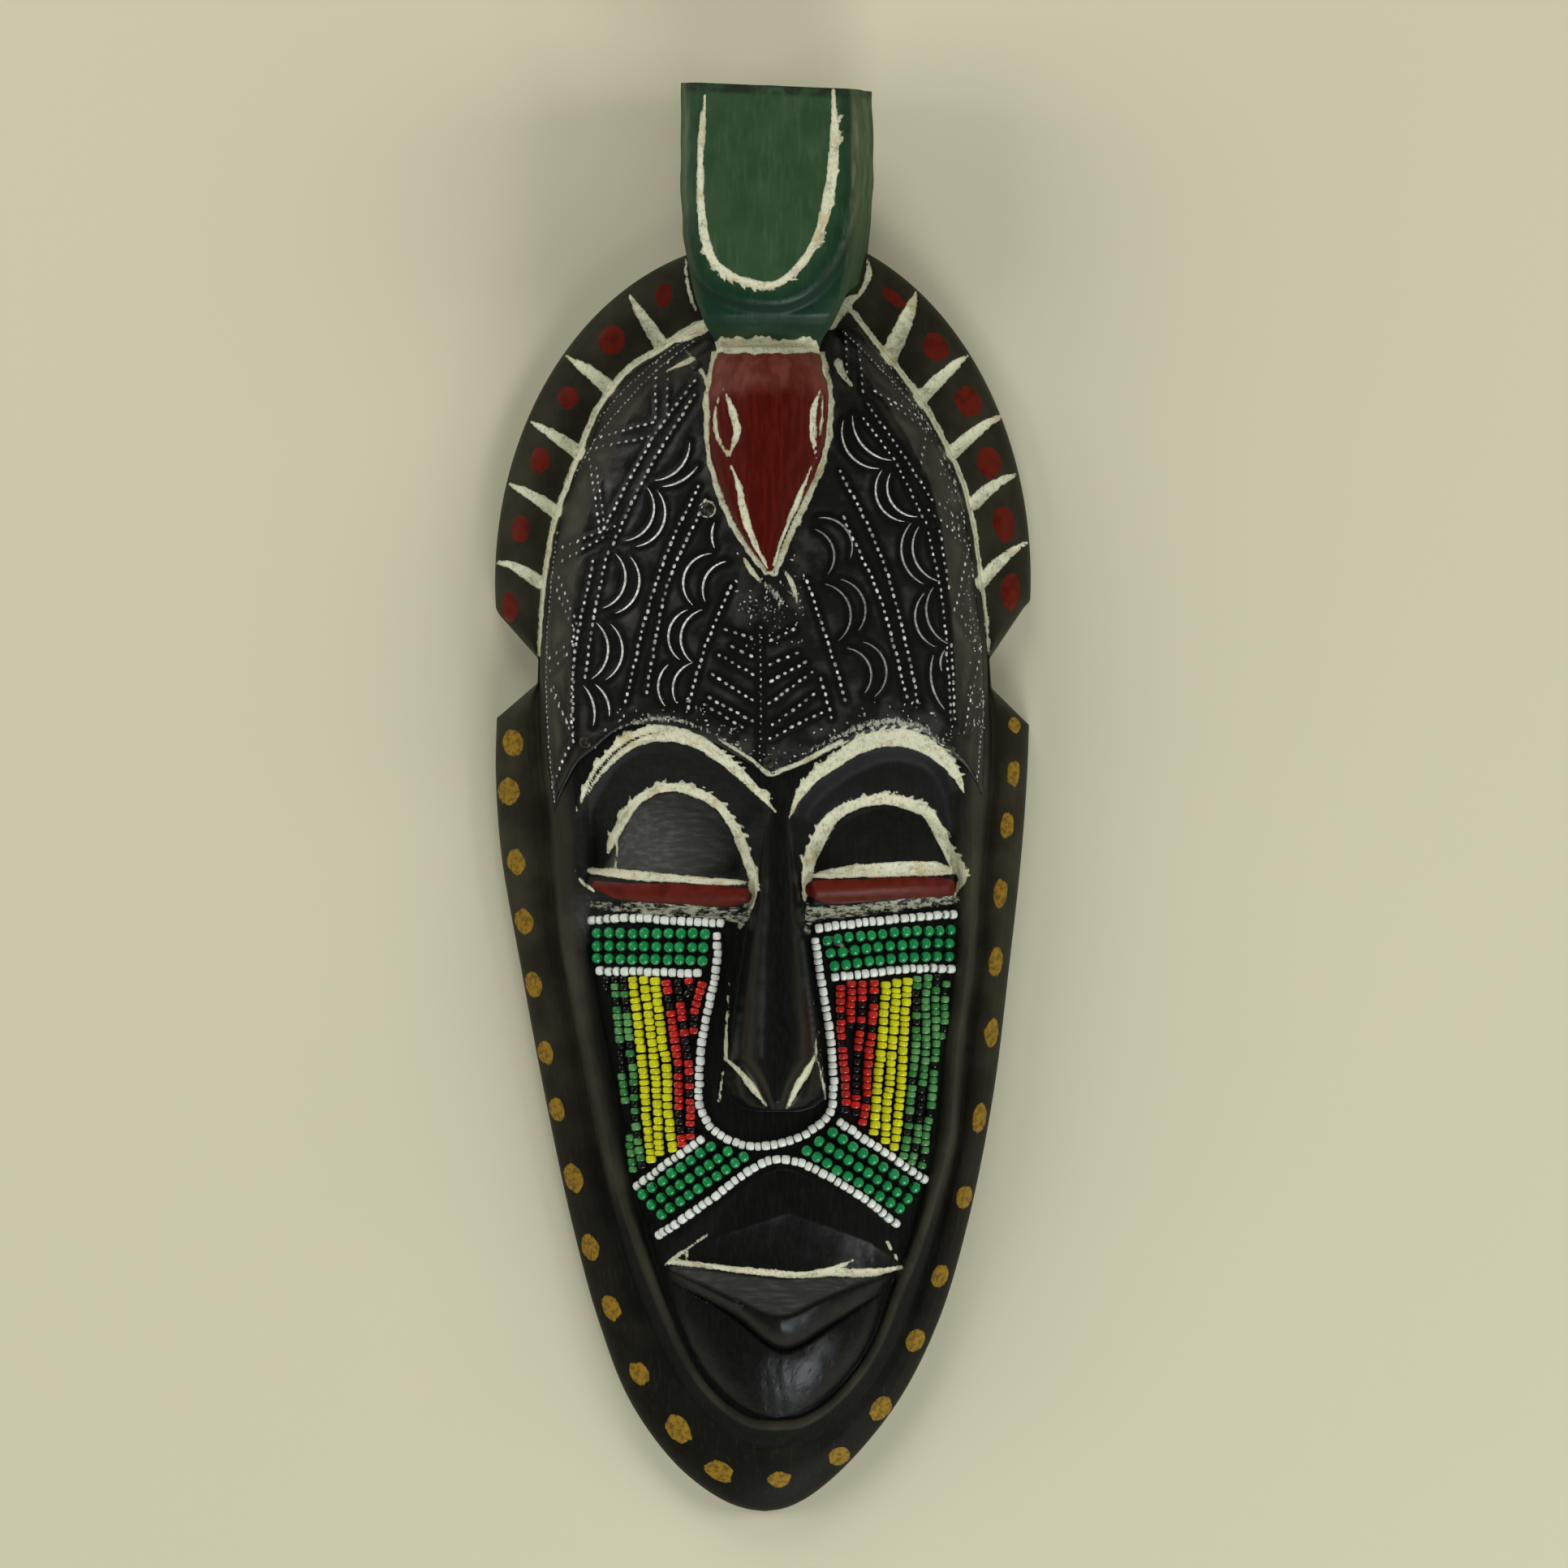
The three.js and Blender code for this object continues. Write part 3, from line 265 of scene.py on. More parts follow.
def rounded(profile, radii, corner_steps, line_steps):
    """Rows of (distance, height) polylines with each corner rounded off."""
    pieces = [profile[:, :1]]
    before = profile[:, 0]
    for i in range(1, profile.shape[1] - 1):
        here, after = profile[:, i], profile[:, i + 1]
        back, on = profile[:, i - 1] - here, after - here
        lengths = [np.linalg.norm(v, axis=1, keepdims=True) for v in (back, on)]
        cut = np.minimum(radii[i], 0.45 * np.minimum(*lengths))
        start, end = here + back / lengths[0] * cut, here + on / lengths[1] * cut
        for k in range(1, line_steps[i - 1]):
            pieces.append((before + (start - before) * k / line_steps[i - 1])[:, None])
        for t in np.linspace(0, 1, corner_steps):
            pieces.append(((1 - t) ** 2 * start + 2 * t * (1 - t) * here + t * t * end)[:, None])
        before = end
    last = profile[:, -1]
    for k in range(1, line_steps[-1] + 1):
        pieces.append((before + (last - before) * k / line_steps[-1])[:, None])
    return np.concatenate(pieces, axis=1)


def half_rows(sign, levels, outline, steps):
    """Corners from the flange's underside in to the recess beside the face: arrays x, y, z by row."""
    foot = curve(SIDES[sign]["foot"], FOOT_STEP)
    x = np.interp(-levels, -foot[:, 1], foot[:, 0])
    turned = (levels > FAN_TOP[1]) | (levels < FAN_LOW[1])
    fan = np.where((levels > FAN_TOP[1])[:, None], FAN_TOP, FAN_LOW)
    out = np.stack([x, levels], axis=1) - fan
    out /= np.linalg.norm(out, axis=1, keepdims=True)
    out[~turned] = (sign, 0)
    reach = np.zeros(len(levels))
    start, span = outline[:-1], np.diff(outline, axis=0)
    for i, (px, py) in enumerate(zip(x, levels)):
        cross = out[i, 0] * span[:, 1] - out[i, 1] * span[:, 0]
        cross[np.abs(cross) < TINY] = TINY
        far = ((start[:, 0] - px) * span[:, 1] - (start[:, 1] - py) * span[:, 0]) / cross
        share = ((start[:, 0] - px) * out[i, 1] - (start[:, 1] - py) * out[i, 0]) / cross
        reach[i] = far[(far > 0) & (share > -1e-6) & (share < 1 + 1e-6)].min()
    band = smooth(SIDES[sign]["band"])(levels)
    edge = EDGE_LEVEL(levels)
    stations = [(reach - UNDERSIDE_INSET, 0 * reach), (reach, 0 * reach), (reach, edge),
                (BEVEL_AT * reach, edge + BEVEL_RISE),
                (CROWN_AT * reach, 0 * reach + FLANGE_CROWN), (0 * reach, FOOT_LEVEL(levels)),
                (0 * reach - WALL_INSET, WALL_LEVEL(levels)), (-band, RIDGE_LEVEL(levels)),
                (-band - RECESS_WIDTH(levels), RECESS_LEVEL(levels))]
    fine = rounded(profiles(stations), SECTION_RADII, CORNER_STEPS, steps)
    px = x[:, None] + out[:, :1] * fine[..., 0]
    py = levels[:, None] + out[:, 1:] * fine[..., 0]
    return np.stack([px, py, fine[..., 1]], axis=-1), fine[..., 0]


def carved_rows(forehead_step, steps, columns):
    """The bare carving as a grid of corners, and each corner's distance out from the head's foot."""
    levels = row_levels(forehead_step)
    outline = np.vstack([outline_of(1)[::-1], outline_of(-1)])
    (left, left_out), (right, right_out) = (half_rows(sign, levels, outline, steps) for sign in (-1, 1))
    share = np.linspace(0, 1, columns + 1)[1:-1]
    start, end = left[:, -1], right[:, -1]
    face = start[:, None] + (end - start)[:, None] * share[None, :, None]
    bulge = 1 - np.abs(2 * share[None, :] - 1) ** FULLNESS(levels)[:, None]
    face[..., 2] += (CENTRE_LEVEL(face[..., 1]) - face[..., 2]) * bulge
    grid = np.concatenate([left, face, right[:, ::-1]], axis=1)
    deep = np.full(face.shape[:2], DEEP_INSIDE)
    return grid, np.concatenate([left_out, deep, right_out[:, ::-1]], axis=1)


def bare_face(x, y):
    """The bare height of the face's middle, where rows run straight across."""
    ends = []
    for sign in (-1, 1):
        foot = curve(SIDES[sign]["foot"], 0.5)
        edge = np.interp(-y, -foot[:, 1], foot[:, 0])
        ends.append(edge - sign * (smooth(SIDES[sign]["band"])(y) + RECESS_WIDTH(y)))
    across = np.abs(2 * (x - ends[0]) / (ends[1] - ends[0]) - 1)
    base = RECESS_LEVEL(y)
    return base + (CENTRE_LEVEL(y) - base) * (1 - np.minimum(across, 1) ** FULLNESS(y))


# The face: places to carve, then the painted strokes.

NOSE_AXIS = 4
NOSE = [(4, 3.4, 40), (-8, 4.5, 42), (-23, 6.4, 43.5), (-49, 10.2, 48), (-66, 12.6, 52), (-76, 13.4, 54.5),
        (-82, 9.2, 55.6), (-88.5, 4.6, 55), (-90.8, 3.6, 52)]
NOSTRILS = [(-66, 9, 43), (-71, 12.6, 45.5), (-76, 14, 46.5), (-83, 14.8, 45.6), (-87.5, 13.6, 44),
            (-90, 10.5, 42.8), (-91, 7, 42)]
NOSE_SECTION = smooth([(0, 1), (0.25, 0.965), (0.5, 0.85), (0.72, 0.64), (0.9, 0.27), (1, 0)])
EYES = [
    {"centre": (-24.5, -17), "half": (20, 20.5), "lid": ((-50.5, -25.4), (-4.6, -27.6)),
     "brow": [(-55.5, -5), (-50.6, 5.2), (-46.8, 11.2), (-39.7, 16.6), (-31.6, 18.2), (-22.6, 17.2),
              (-14, 13.5), (-6.2, 7), (3, -3)],
     "under": [(-0.5, -12), (-2, -23), (-4.5, -31.5), (-24, -31), (-46, -30.5), (-53, -26)]},
    {"centre": (34.5, -18), "half": (20.5, 18.5), "lid": ((15, -26.2), (54.8, -24.2)),
     "brow": [(7.6, -5), (10.9, 1), (17.6, 7), (24.2, 11.5), (31.6, 14.8), (39.9, 16), (46.1, 14.8),
              (52.3, 11.4), (58, 2)],
     "under": [(60, -10), (59.5, -24), (54, -30), (36, -31), (15.5, -32), (11.5, -24), (9, -13)]},
]
SOCKET_DEPTH = 3.4
SOCKET_SLOPE, SOCKET_REACH = 5.5, 8
EYEBALL = {"rise": 1.4, "depth": 9, "lean": 0.45}
LID = {"half": 5.4, "rise": 4.0, "over": 5.4, "end": 1.2}
# From the upper edge of the upper lip to the lower edge of the lower one: places and rises over the face.
MOUTH = [
    [(-29, -133, 0), (-21, -125.3, 0), (-12, -118.3, 0.2), (5.9, -108.6, 0.8), (20, -114.8, 0.2),
     (29, -120.6, 0), (39.5, -132, 0)],
    [(-27, -134.4, 0.4), (-21.3, -131, 1), (-12.1, -127.5, 1.7), (7.2, -120.9, 3), (19.6, -125.2, 1.8),
     (31, -129.6, 1.1), (38.6, -134.6, 0.4)],
    [(-29.2, -136.4, -1), (-19, -136.6, -1.2), (-9, -137.7, -1.4), (7.5, -139.2, -1.4), (19, -138.5, -1.3),
     (29.5, -138.6, -1.2), (40.6, -137.4, -1)],
    [(-26.5, -138.6, 0.4), (-17.5, -142.4, 2.6), (-8.6, -146.6, 4.2), (5.2, -151.8, 5.8),
     (16.7, -147.2, 4.2), (27, -143, 2.4), (37.5, -139.8, 0.4)],
    [(-27, -141.5, -0.4), (-18.5, -146, -1.2), (-9, -151.6, -1.9), (6.3, -162, -2.3), (20, -154.8, -1.9),
     (28.5, -149, -1.2), (37.5, -142.5, -0.4)],
]
BROW_CRACK = [(-52.4, -1, 0.3), (-49.2, 6.6, 0.9), (-44.2, 12.4, 0.8), (-38.6, 16.8, 0.7), (-32, 19.4, 0.3)]
# How the height runs from each row of the mouth to the next.
LIP_CURVES = (1, 0.8, 1, 1.5)
STRAIGHT_LIP_ROW = 1
MOUTH_SPAN = (-28, 39.5)
MOUTH_START, MOUTH_END = (-29.5, -26), (37, 40.5)
WEDGE_FADE = 8
# A small knot on the lower lip: place, radius and rise.
KNOT = (-6.7, -147.6, 1.6, 0.7)
# Below this level nothing is carved.
LOWEST_CARVING = 8
BELOW_ALL = -99
# Slips of the tool outside the chin.
SLIPS = [
    [(-7.5, -186.6, 1), (-2.5, -189.6, 2.2), (4, -189.4, 2.6), (10.5, -186.2, 2), (18, -179.6, 0.6)],
    [(-6, -184.8, 0.8), (-1, -186.6, 1.6), (5, -186.2, 0.6)],
]

# Painted strokes: points (x, y, width) of cream paint. A cut goes with some of them.
BROWS = [
    [(-54.9, -4.4, 0.3), (-50.6, 4.4, 2.8), (-45.7, 11, 3.8), (-39.9, 16.1, 4.6), (-32.4, 19, 4.8),
     (-24.9, 18.5, 4.4), (-18.3, 16.3, 4), (-11.7, 11.6, 3.5), (-6.1, 6.8, 2.9), (-0.5, 1, 2),
     (4, -4.2, 0.3)],
    [(7.6, -5.6, 0.3), (10.9, 1.5, 2.4), (15.7, 6.9, 3.3), (21.4, 11.1, 3.8), (27.2, 15, 4.4),
     (33.9, 17.5, 5.2), (40.4, 17.9, 5.4), (47.1, 15.8, 5), (52.9, 11.4, 3.9), (56.9, 6.4, 2.6),
     (59.2, 1, 0.3)],
]
ARCHES = [
    [(-45.4, -15.8, 1.2), (-44.3, -12.9, 2.3), (-41.8, -8, 2.9), (-38.9, -3.1, 2.7), (-35.7, 0.2, 2.6),
     (-30.8, 2.6, 2.5), (-24.2, 3.3, 2.8), (-18.5, 1.4, 2.8), (-13.6, -1.5, 2.7), (-9.5, -6.4, 2.7),
     (-6.6, -12.1, 3), (-4.6, -17.8, 3), (-3, -22, 2.8), (-2.9, -28, 2.2), (-3.4, -32, 1.2)],
    [(12.2, -30, 0.4), (12.6, -24.4, 2.8), (13.8, -17.8, 3.8), (16.7, -11.3, 4.4), (19.1, -6.9, 4),
     (23.2, -3.5, 3.3), (29, -1.1, 2.9), (35.5, -0.2, 3.1), (42.1, -1.5, 3.4), (47.8, -3.9, 3.6),
     (51.1, -8.8, 3.4), (53.5, -13.7, 3.4), (56, -18.7, 3.4), (58.4, -23.6, 2), (56.4, -27.7, 0.8)],
]
LID_BARS = [
    [(-50.8, -21.1, 1.6), (-43, -21.8, 2.8), (-34.9, -22.7, 2.9), (-26.7, -23.2, 2.3), (-18.5, -24, 2.2),
     (-10.3, -24.4, 2), (-5.2, -24.6, 0.9)],
    [(14.6, -22.6, 0.8), (19.1, -22, 2.8), (25.7, -21.3, 3.6), (33.9, -20.9, 4.1), (42.1, -20.5, 4.3),
     (50.2, -20.5, 4.1), (54.9, -21.1, 2.2)],
]
LID_REDS = [
    [(-48.9, -25.2, 2.4), (-43, -26.8, 4.8), (-34.9, -27.6, 5.5), (-26.7, -27.7, 5.9), (-18.5, -28.1, 6.2),
     (-10.3, -28.5, 6.2), (-5.6, -28.6, 4.7)],
    [(14.9, -26.4, 5), (19.1, -27, 7), (27.3, -27, 7), (35.5, -26.4, 6.3), (43.7, -26, 6.1),
     (51.1, -26, 5.8), (54.2, -26, 5)],
]
NOSE_CUTS = [
    [(-10.9, -76.1, 0.6), (-6.8, -79.8, 1.5), (-2.9, -84.6, 2.1), (0.9, -89.6, 0.6)],
    [(15.6, -74.6, 0.6), (13, -79.5, 2), (9.8, -84.6, 2.2), (7.2, -90.4, 0.7)],
]
FACE_LINES = [
    [(-9.9, -54, 0.3), (-10.5, -64, 0.7), (-10.9, -76, 1.2)],
    [(15.2, -68.4, 0.3), (15.6, -74.4, 0.8)],
    [(-11.6, -80, 0.6), (-12.8, -88.4, 0.5)],
    [(16.2, -77, 0.5), (17.4, -82, 0.8), (18.3, -87.8, 0.6)],
    [(-42.4, -10, 0.6), (-43, -19.9, 0.7)],
    [(-54.7, -20.8, 0.7), (-53.2, -24.2, 0.8), (-49.6, -26.9, 1)],
    [(60.1, -20.8, 1), (57.6, -24.4, 1.4), (56, -28.8, 0.8)],
    [(-28.6, -136.4, 0.5), (-27.3, -135.8, 1.4), (-20.7, -136.1, 1.6), (-9.2, -137.6, 1.7), (2.3, -138.7, 2),
     (10.9, -139.3, 2), (19.6, -138.5, 2.3), (31.1, -138.7, 2.5), (40.6, -137.2, 0.9)],
    [(15.6, -138.4, 1.2), (21.9, -137, 1.5), (26.4, -135, 0.3)],
    [(-27.6, -135.6, 1), (-21.9, -131.5, 0.9), (-16.1, -127.5, 0.4)],
    [(-22, -131.5, 0.7), (-22.3, -134.6, 0.6)],
    [(36.4, -129.6, 0.9), (37.4, -131.6, 0.9)],
    [(38.8, -133.6, 0.6), (39.2, -134.8, 0.6)],
]
# Thin, smudged paint: it covers the wood only in part.
SMUDGES = [
    [(-50, -31, 3.4), (-35, -32.2, 5.2), (-20, -33, 5.2), (-8, -33.8, 5.4)],
    [(-3.8, -29.5, 3), (-5.2, -34, 4.6), (-7.4, -38.5, 2.4)],
    [(14, -33.8, 5.6), (26, -32.8, 5.4), (40, -31.2, 5), (56.4, -29.6, 3.6)],
    [(13.2, -31, 3), (13.2, -38.6, 3.4)],
    [(-7.2, -37, 1.6), (-8.2, -46, 0.9), (-9.4, -55, 0.7)],
    [(14.8, -58, 1.2), (16.8, -74, 1.6), (18.6, -88, 1.4)],
    [(20, -41, 3), (24.6, -44.4, 3)],
    [(17.6, -13, 3), (20.4, -8.4, 2.4)],
]
CREST_CUTS = [
    [(-39, 147.3, 0.9), (-36.4, 143, 2.5), (-33, 137.8, 4), (-29.2, 131.8, 4.6)],
    [(-57.5, 129.5, 0.9), (-54.2, 127.4, 2.4), (-50, 124.4, 3.8), (-45.4, 120.4, 4.4)],
    [(-67.7, 110.2, 0.9), (-64.2, 108.2, 2.2), (-59.4, 105.2, 3.6), (-53.8, 101.2, 4.2)],
    [(-74.1, 92, 0.9), (-70.6, 90.4, 2.2), (-66, 87.8, 3.4), (-60.6, 84, 4)],
    [(-77.6, 69.1, 0.9), (-74.4, 68.6, 2.2), (-70.4, 66.8, 3.4), (-65.6, 63.4, 3.8)],
    [(44.9, 148.3, 0.9), (43, 143, 3.6), (40.4, 137, 4.9), (36.8, 129.4, 5.2)],
    [(60, 130, 0.9), (56.4, 127.2, 2.6), (51.4, 122.6, 3.9), (45.9, 116.9, 4.4)],
    [(70.1, 112.1, 0.9), (66.2, 110.2, 2.4), (61, 106.4, 3.8), (55.6, 101.4, 4.2)],
    [(74.1, 94.8, 0.9), (70.4, 93.4, 2.4), (66.2, 90.6, 3.6), (61.8, 86.6, 4.2)],
    [(77.4, 75.1, 0.9), (73.6, 72.8, 2.2), (69, 69, 3.4), (64, 63.4, 4)],
]
FOOT_LINES = [
    [(-19, 138.4, 2.4), (-23.8, 135.4, 2.4), (-30.4, 131.4, 2.1), (-38, 127.1, 2), (-45.6, 118.6, 1.9),
     (-49.9, 111.4, 1.9), (-53.2, 103.1, 1.8), (-57.2, 92.4, 1.8), (-60.4, 83.6, 1.7), (-62, 77, 1.6),
     (-63.9, 65, 1.4), (-65.2, 50, 1.2), (-65.7, 42, 0.9)],
    [(25, 144.4, 1.7), (33.3, 133.5, 1.7), (41.6, 123.3, 1.8), (47.5, 115, 1.8), (53.5, 104, 1.6),
     (58.2, 93.6, 1.6), (61.8, 79.8, 1.5), (63.4, 68, 1.3), (65.6, 52, 1.1), (66.2, 42, 0.8)],
]
CORNER_PAINT = [
    [(-22.6, 158, 0.4), (-22.4, 152, 1.1), (-21, 146.4, 1.2), (-19.8, 143, 0.5)],
    [(-15, 139.6, 3.4), (-19, 137.6, 4.6), (-23.6, 135.4, 3.8), (-29, 132.4, 2.4)],
    [(30.6, 158.4, 0.4), (31, 153.4, 2.2), (29.6, 149.6, 1.2)],
    [(28.4, 147.6, 1), (25.5, 145.8, 2.8), (22.4, 142.4, 3.4), (20, 138.5, 2.6), (18.6, 135.4, 1.8)],
]
# Painted dots: (x, y, width, height, turn in degrees).
RED_DOTS = [(-29, 147.3, 5.2, 7.6, -20), (-44.2, 134.2, 8, 9, -25), (-57, 117.4, 6, 7.2, -25),
            (-65.3, 99.1, 5.6, 8.6, -12), (-71, 78.9, 5.2, 9, -6), (-74.1, 56.1, 4.6, 9, 0),
            (38, 146.6, 3.8, 9.2, 52), (50.6, 132.3, 7, 9, 35), (60.1, 116.2, 7.2, 9.6, 25),
            (66.1, 98.4, 7, 10, 12), (70.6, 80.5, 6.6, 11, 8), (72.5, 60.8, 5.6, 11.4, -3)]
OCHRE_DOTS = [(-73.2, 16.4, 6, 8, 8), (-74.4, 2.1, 6.2, 8, 4), (-72.2, -18.5, 5.2, 7.6, 10),
              (-69.9, -35.9, 5.2, 7.6, 12), (-67.2, -54.4, 4.8, 7.6, 12), (-63.7, -74.4, 4.2, 7.2, 14),
              (-60.4, -91, 4.2, 7.2, 14), (-55.4, -111.2, 5.2, 8.8, 18), (-50.6, -131.4, 5, 8, 18),
              (-44.4, -149.2, 5, 8, 24), (-36.1, -168.5, 5.2, 8, 30), (-24.7, -184.6, 6.4, 9.6, 38),
              (-12.6, -197, 5.6, 9.6, 62), (4.8, -199.6, 8, 4.8, 4), (22.3, -192.7, 6.8, 5.2, 20),
              (34.5, -178.7, 5.4, 8, -38), (44.7, -158.7, 5.2, 7, -28), (51.8, -139.9, 4.6, 7.2, -22),
              (58.9, -116.7, 4.6, 6.8, -15), (63.4, -93.6, 4, 8.6, -10), (67, -68.7, 4, 8.6, -8),
              (68.2, -47.8, 4, 9, -6), (69.6, -27.6, 4, 9, -5), (71.5, -7.8, 3.8, 8.6, -4),
              (73.4, 7.4, 3.6, 8.2, -3), (73.7, 21.5, 3.6, 4.6, 0)]
# The strokes that are carved too, with the depth and how much wider than its paint a cut is.
CUTS = ((ARCHES, 0.9, 1.0), (BROWS, 0.7, 1.0), (NOSE_CUTS, 0.9, 1.1), (CREST_CUTS, 0.9, 1.1),
        (SLIPS, 0.45, 1.0))
THINNEST_CUT = 0.2
STROKE_STEP = 0.5
# Distances to paint are cut off here.
PAINT_REACH = 3.0
BRISTLE_ENDS = (0.06, 0.94)
BRISTLE_OUT, BRISTLE_AHEAD = (1.3, 2.1), (0.8, 2.4)
BRISTLE_WIDTHS = (1.5, 0.9, 0.15)
BRISTLE_ROOT, BRISTLE_BOW = 0.7, 0.1


def near_stroke(points, x, y, reach):
    """Distance to the middle of a stroke, within reach, and the stroke's width at the nearest place."""
    points = np.array(points, float)
    knots = along(points[:, :2])
    distance, share = nearest(curve(points[:, :2], STROKE_STEP), x, y, reach)
    return distance, np.interp(share, knots / knots[-1], points[:, 2])


def stroke(points, x, y):
    """Distance from the edge of a stroke of changing width, below zero inside it."""
    widest = max(point[2] for point in points)
    distance, width = near_stroke(points, x, y, widest / 2 + PAINT_REACH)
    return distance - width / 2


def strokes(groups, x, y):
    """Distance from the nearest of several strokes."""
    total = np.full(x.shape, PAINT_REACH)
    for points in groups:
        total = np.minimum(total, stroke(points, x, y))
    return total


def bristles(points, side, count, seed):
    """Short tapering hairs of paint that leave one side of a stroke slantwise."""
    draw = np.random.default_rng(seed)
    points = np.array(points, float)
    path = curve(points[:, :2], STROKE_STEP)
    run, knots = along(path), along(points[:, :2])
    made = []
    for share in draw.uniform(*BRISTLE_ENDS, count):
        place, ahead = at_length(path, [share * run[-1], share * run[-1] + 0.5])
        forward = (ahead - place) / np.linalg.norm(ahead - place)
        outward = np.array([-forward[1], forward[0]]) * side
        width = np.interp(share, knots / knots[-1], points[:, 2])
        root = place + outward * (width / 2 - BRISTLE_ROOT)
        tip = root + outward * draw.uniform(*BRISTLE_OUT) + forward * draw.uniform(*BRISTLE_AHEAD)
        middle = (root + tip) / 2 + outward * BRISTLE_BOW
        made.append([(*place, width) for place, width in zip((root, middle, tip), BRISTLE_WIDTHS)])
    return made


def dots(places, x, y):
    """Distance from the edges of painted oval dots, below zero inside them."""
    total = np.full(x.shape, PAINT_REACH)
    for cx, cy, width, height, turn in places:
        c, s = math.cos(math.radians(turn)), math.sin(math.radians(turn))
        u = ((x - cx) * c + (y - cy) * s) / (width / 2)
        v = (-(x - cx) * s + (y - cy) * c) / (height / 2)
        total = np.minimum(total, (np.hypot(u, v) - 1) * min(width, height) / 2)
    return total


def cut_along(z, x, y, points, depth, widen=1.0):
    """Carves a rounded groove under a stroke, shallower where the stroke is narrow."""
    widest = max(point[2] for point in points) * widen
    distance, width = near_stroke(points, x, y, widest + 1)
    half = np.maximum(width / 2 * widen, THINNEST_CUT)
    hollow = np.clip(1 - (distance / half) ** 2, 0, 1)
    return z - depth * hollow * np.minimum(half / (0.5 * widest), 1)


def wedge(x, y, sections):
    """The height of a wedge given by sections (y, half width, level) about the nose's axis, or a low
    value."""
    place, half, level = (np.array(column, float) for column in zip(*sections[::-1]))
    covers = (y <= place[-1]) & (y >= place[0])
    y = np.clip(y, place[0], place[-1])
    wide, top = np.interp(y, place, half), np.interp(y, place, level)
    foot = bare_face(NOSE_AXIS - wide, y)
    top = foot + (top - foot) * (1 - step_up(y, place[-1] - WEDGE_FADE, place[-1]))
    height = foot + (top - foot) * NOSE_SECTION(np.minimum(np.abs(x - NOSE_AXIS) / wide, 1))
    return np.where(covers & (np.abs(x - NOSE_AXIS) < wide), height, BELOW_ALL)


def mouth_rise(x, y):
    """How far the lips stand over the bare face."""
    places, rises = [], []
    for i, row in enumerate(MOUTH):
        px, py, rise = (np.array(column, float) for column in zip(*row))
        places.append(np.interp(x, px, py) if i == STRAIGHT_LIP_ROW else smooth(list(zip(px, py)))(x))
        rises.append(np.interp(x, px, rise))
    total = np.zeros(x.shape)
    for i, bend in enumerate(LIP_CURVES):
        upper, lower = places[i], places[i + 1]
        within = (y <= upper) & (y > lower) & (x > MOUTH_SPAN[0]) & (x < MOUTH_SPAN[1])
        t = np.clip((upper - y) / np.maximum(upper - lower, 1e-6), 0, 1) ** bend
        total = np.where(within, rises[i] * (1 - t) + rises[i + 1] * t, total)
    return total * step_up(x, *MOUTH_START) * (1 - step_up(x, *MOUTH_END))


def socket_of(eye):
    """The outline of an eye's socket."""
    return np.vstack([curve(eye["brow"], 0.8), eye["under"]])


def with_sockets(z, x, y):
    """The face with its two eye sockets sunk in."""
    for eye in EYES:
        rim = socket_of(eye)
        edge, _ = nearest(closed(rim), x, y, SOCKET_REACH)
        z = z - np.where(inside(rim, x, y), SOCKET_DEPTH * step_up(edge, 0, SOCKET_SLOPE), 0)
    return z


def with_eyeballs(z, x, y, top):
    """The face with an oval eyeball standing in each socket."""
    for eye in EYES:
        (cx, cy), (half_x, half_y) = eye["centre"], eye["half"]
        ball = 1 - ((x - cx) / half_x) ** 2 - ((y - cy) / half_y) ** 2
        middle = bare_face(np.array(cx), np.array(cy))
        level = middle + EYEBALL["rise"] - EYEBALL["depth"]
        lean = EYEBALL["lean"] * (bare_face(x, y) - middle)
        ball_top = level + EYEBALL["depth"] * np.sqrt(np.clip(ball, 0, 1)) + lean
        z = np.where((ball > 0) & top, np.maximum(z, ball_top), z)
    return z


def with_lids(z, x, y):
    """The face with a rounded lower lid across each socket."""
    for eye in EYES:
        start, end = (np.array(p, float) for p in eye["lid"])
        span = end - start
        length = np.hypot(*span)
        t = ((x - start[0]) * span[0] + (y - start[1]) * span[1]) / length ** 2
        off = (-(x - start[0]) * span[1] + (y - start[1]) * span[0]) / length
        ends = np.clip(np.maximum(-t, t - 1) * length / LID["end"], 0, 1)
        roll = np.sqrt(np.clip(1 - (off / LID["half"]) ** 2, 0, 1)) * np.sqrt(1 - ends ** 2)
        axis = start + np.clip(t, 0, 1)[..., None] * span
        level = bare_face(axis[..., 0], axis[..., 1])
        z = np.where(roll > 0, np.maximum(z, level - LID["over"] + (LID["over"] + LID["rise"]) * roll), z)
    return z


def carve_face(grid):
    """The bare carving with its eyes, nose, lips, cuts and tool marks."""
    x, y, bare = grid[..., 0], grid[..., 1], grid[..., 2]
    top = bare > LOWEST_CARVING
    z = with_sockets(bare, x, y)
    z = with_eyeballs(z, x, y, top)
    z = with_lids(z, x, y)
    z = z + mouth_rise(x, y)
    knot_x, knot_y, knot_radius, knot_rise = KNOT
    knot = np.hypot(x - knot_x, y - knot_y) / knot_radius
    z = z + knot_rise * np.clip(1 - knot ** 2, 0, 1) ** 2
    z = np.maximum(z, np.maximum(wedge(x, y, NOSE), wedge(x, y, NOSTRILS)))
    for group, depth, widen in CUTS:
        for points in group:
            z = cut_along(z, x, y, points, depth, widen)
    z = z + (0.10 * ripple(x, y, 9, 3) + 0.05 * ripple(x, y * 0.4, 3.2, 4))
    pits = np.clip(ripple(x, y, 1.9, 5) * ripple(x, y, 2.6, 6), 0, 1) * 0.12
    z = np.where(y < 20, z - pits, z)
    return np.stack([x, y, np.where(top, z, bare)], axis=-1)


# Mesh making.

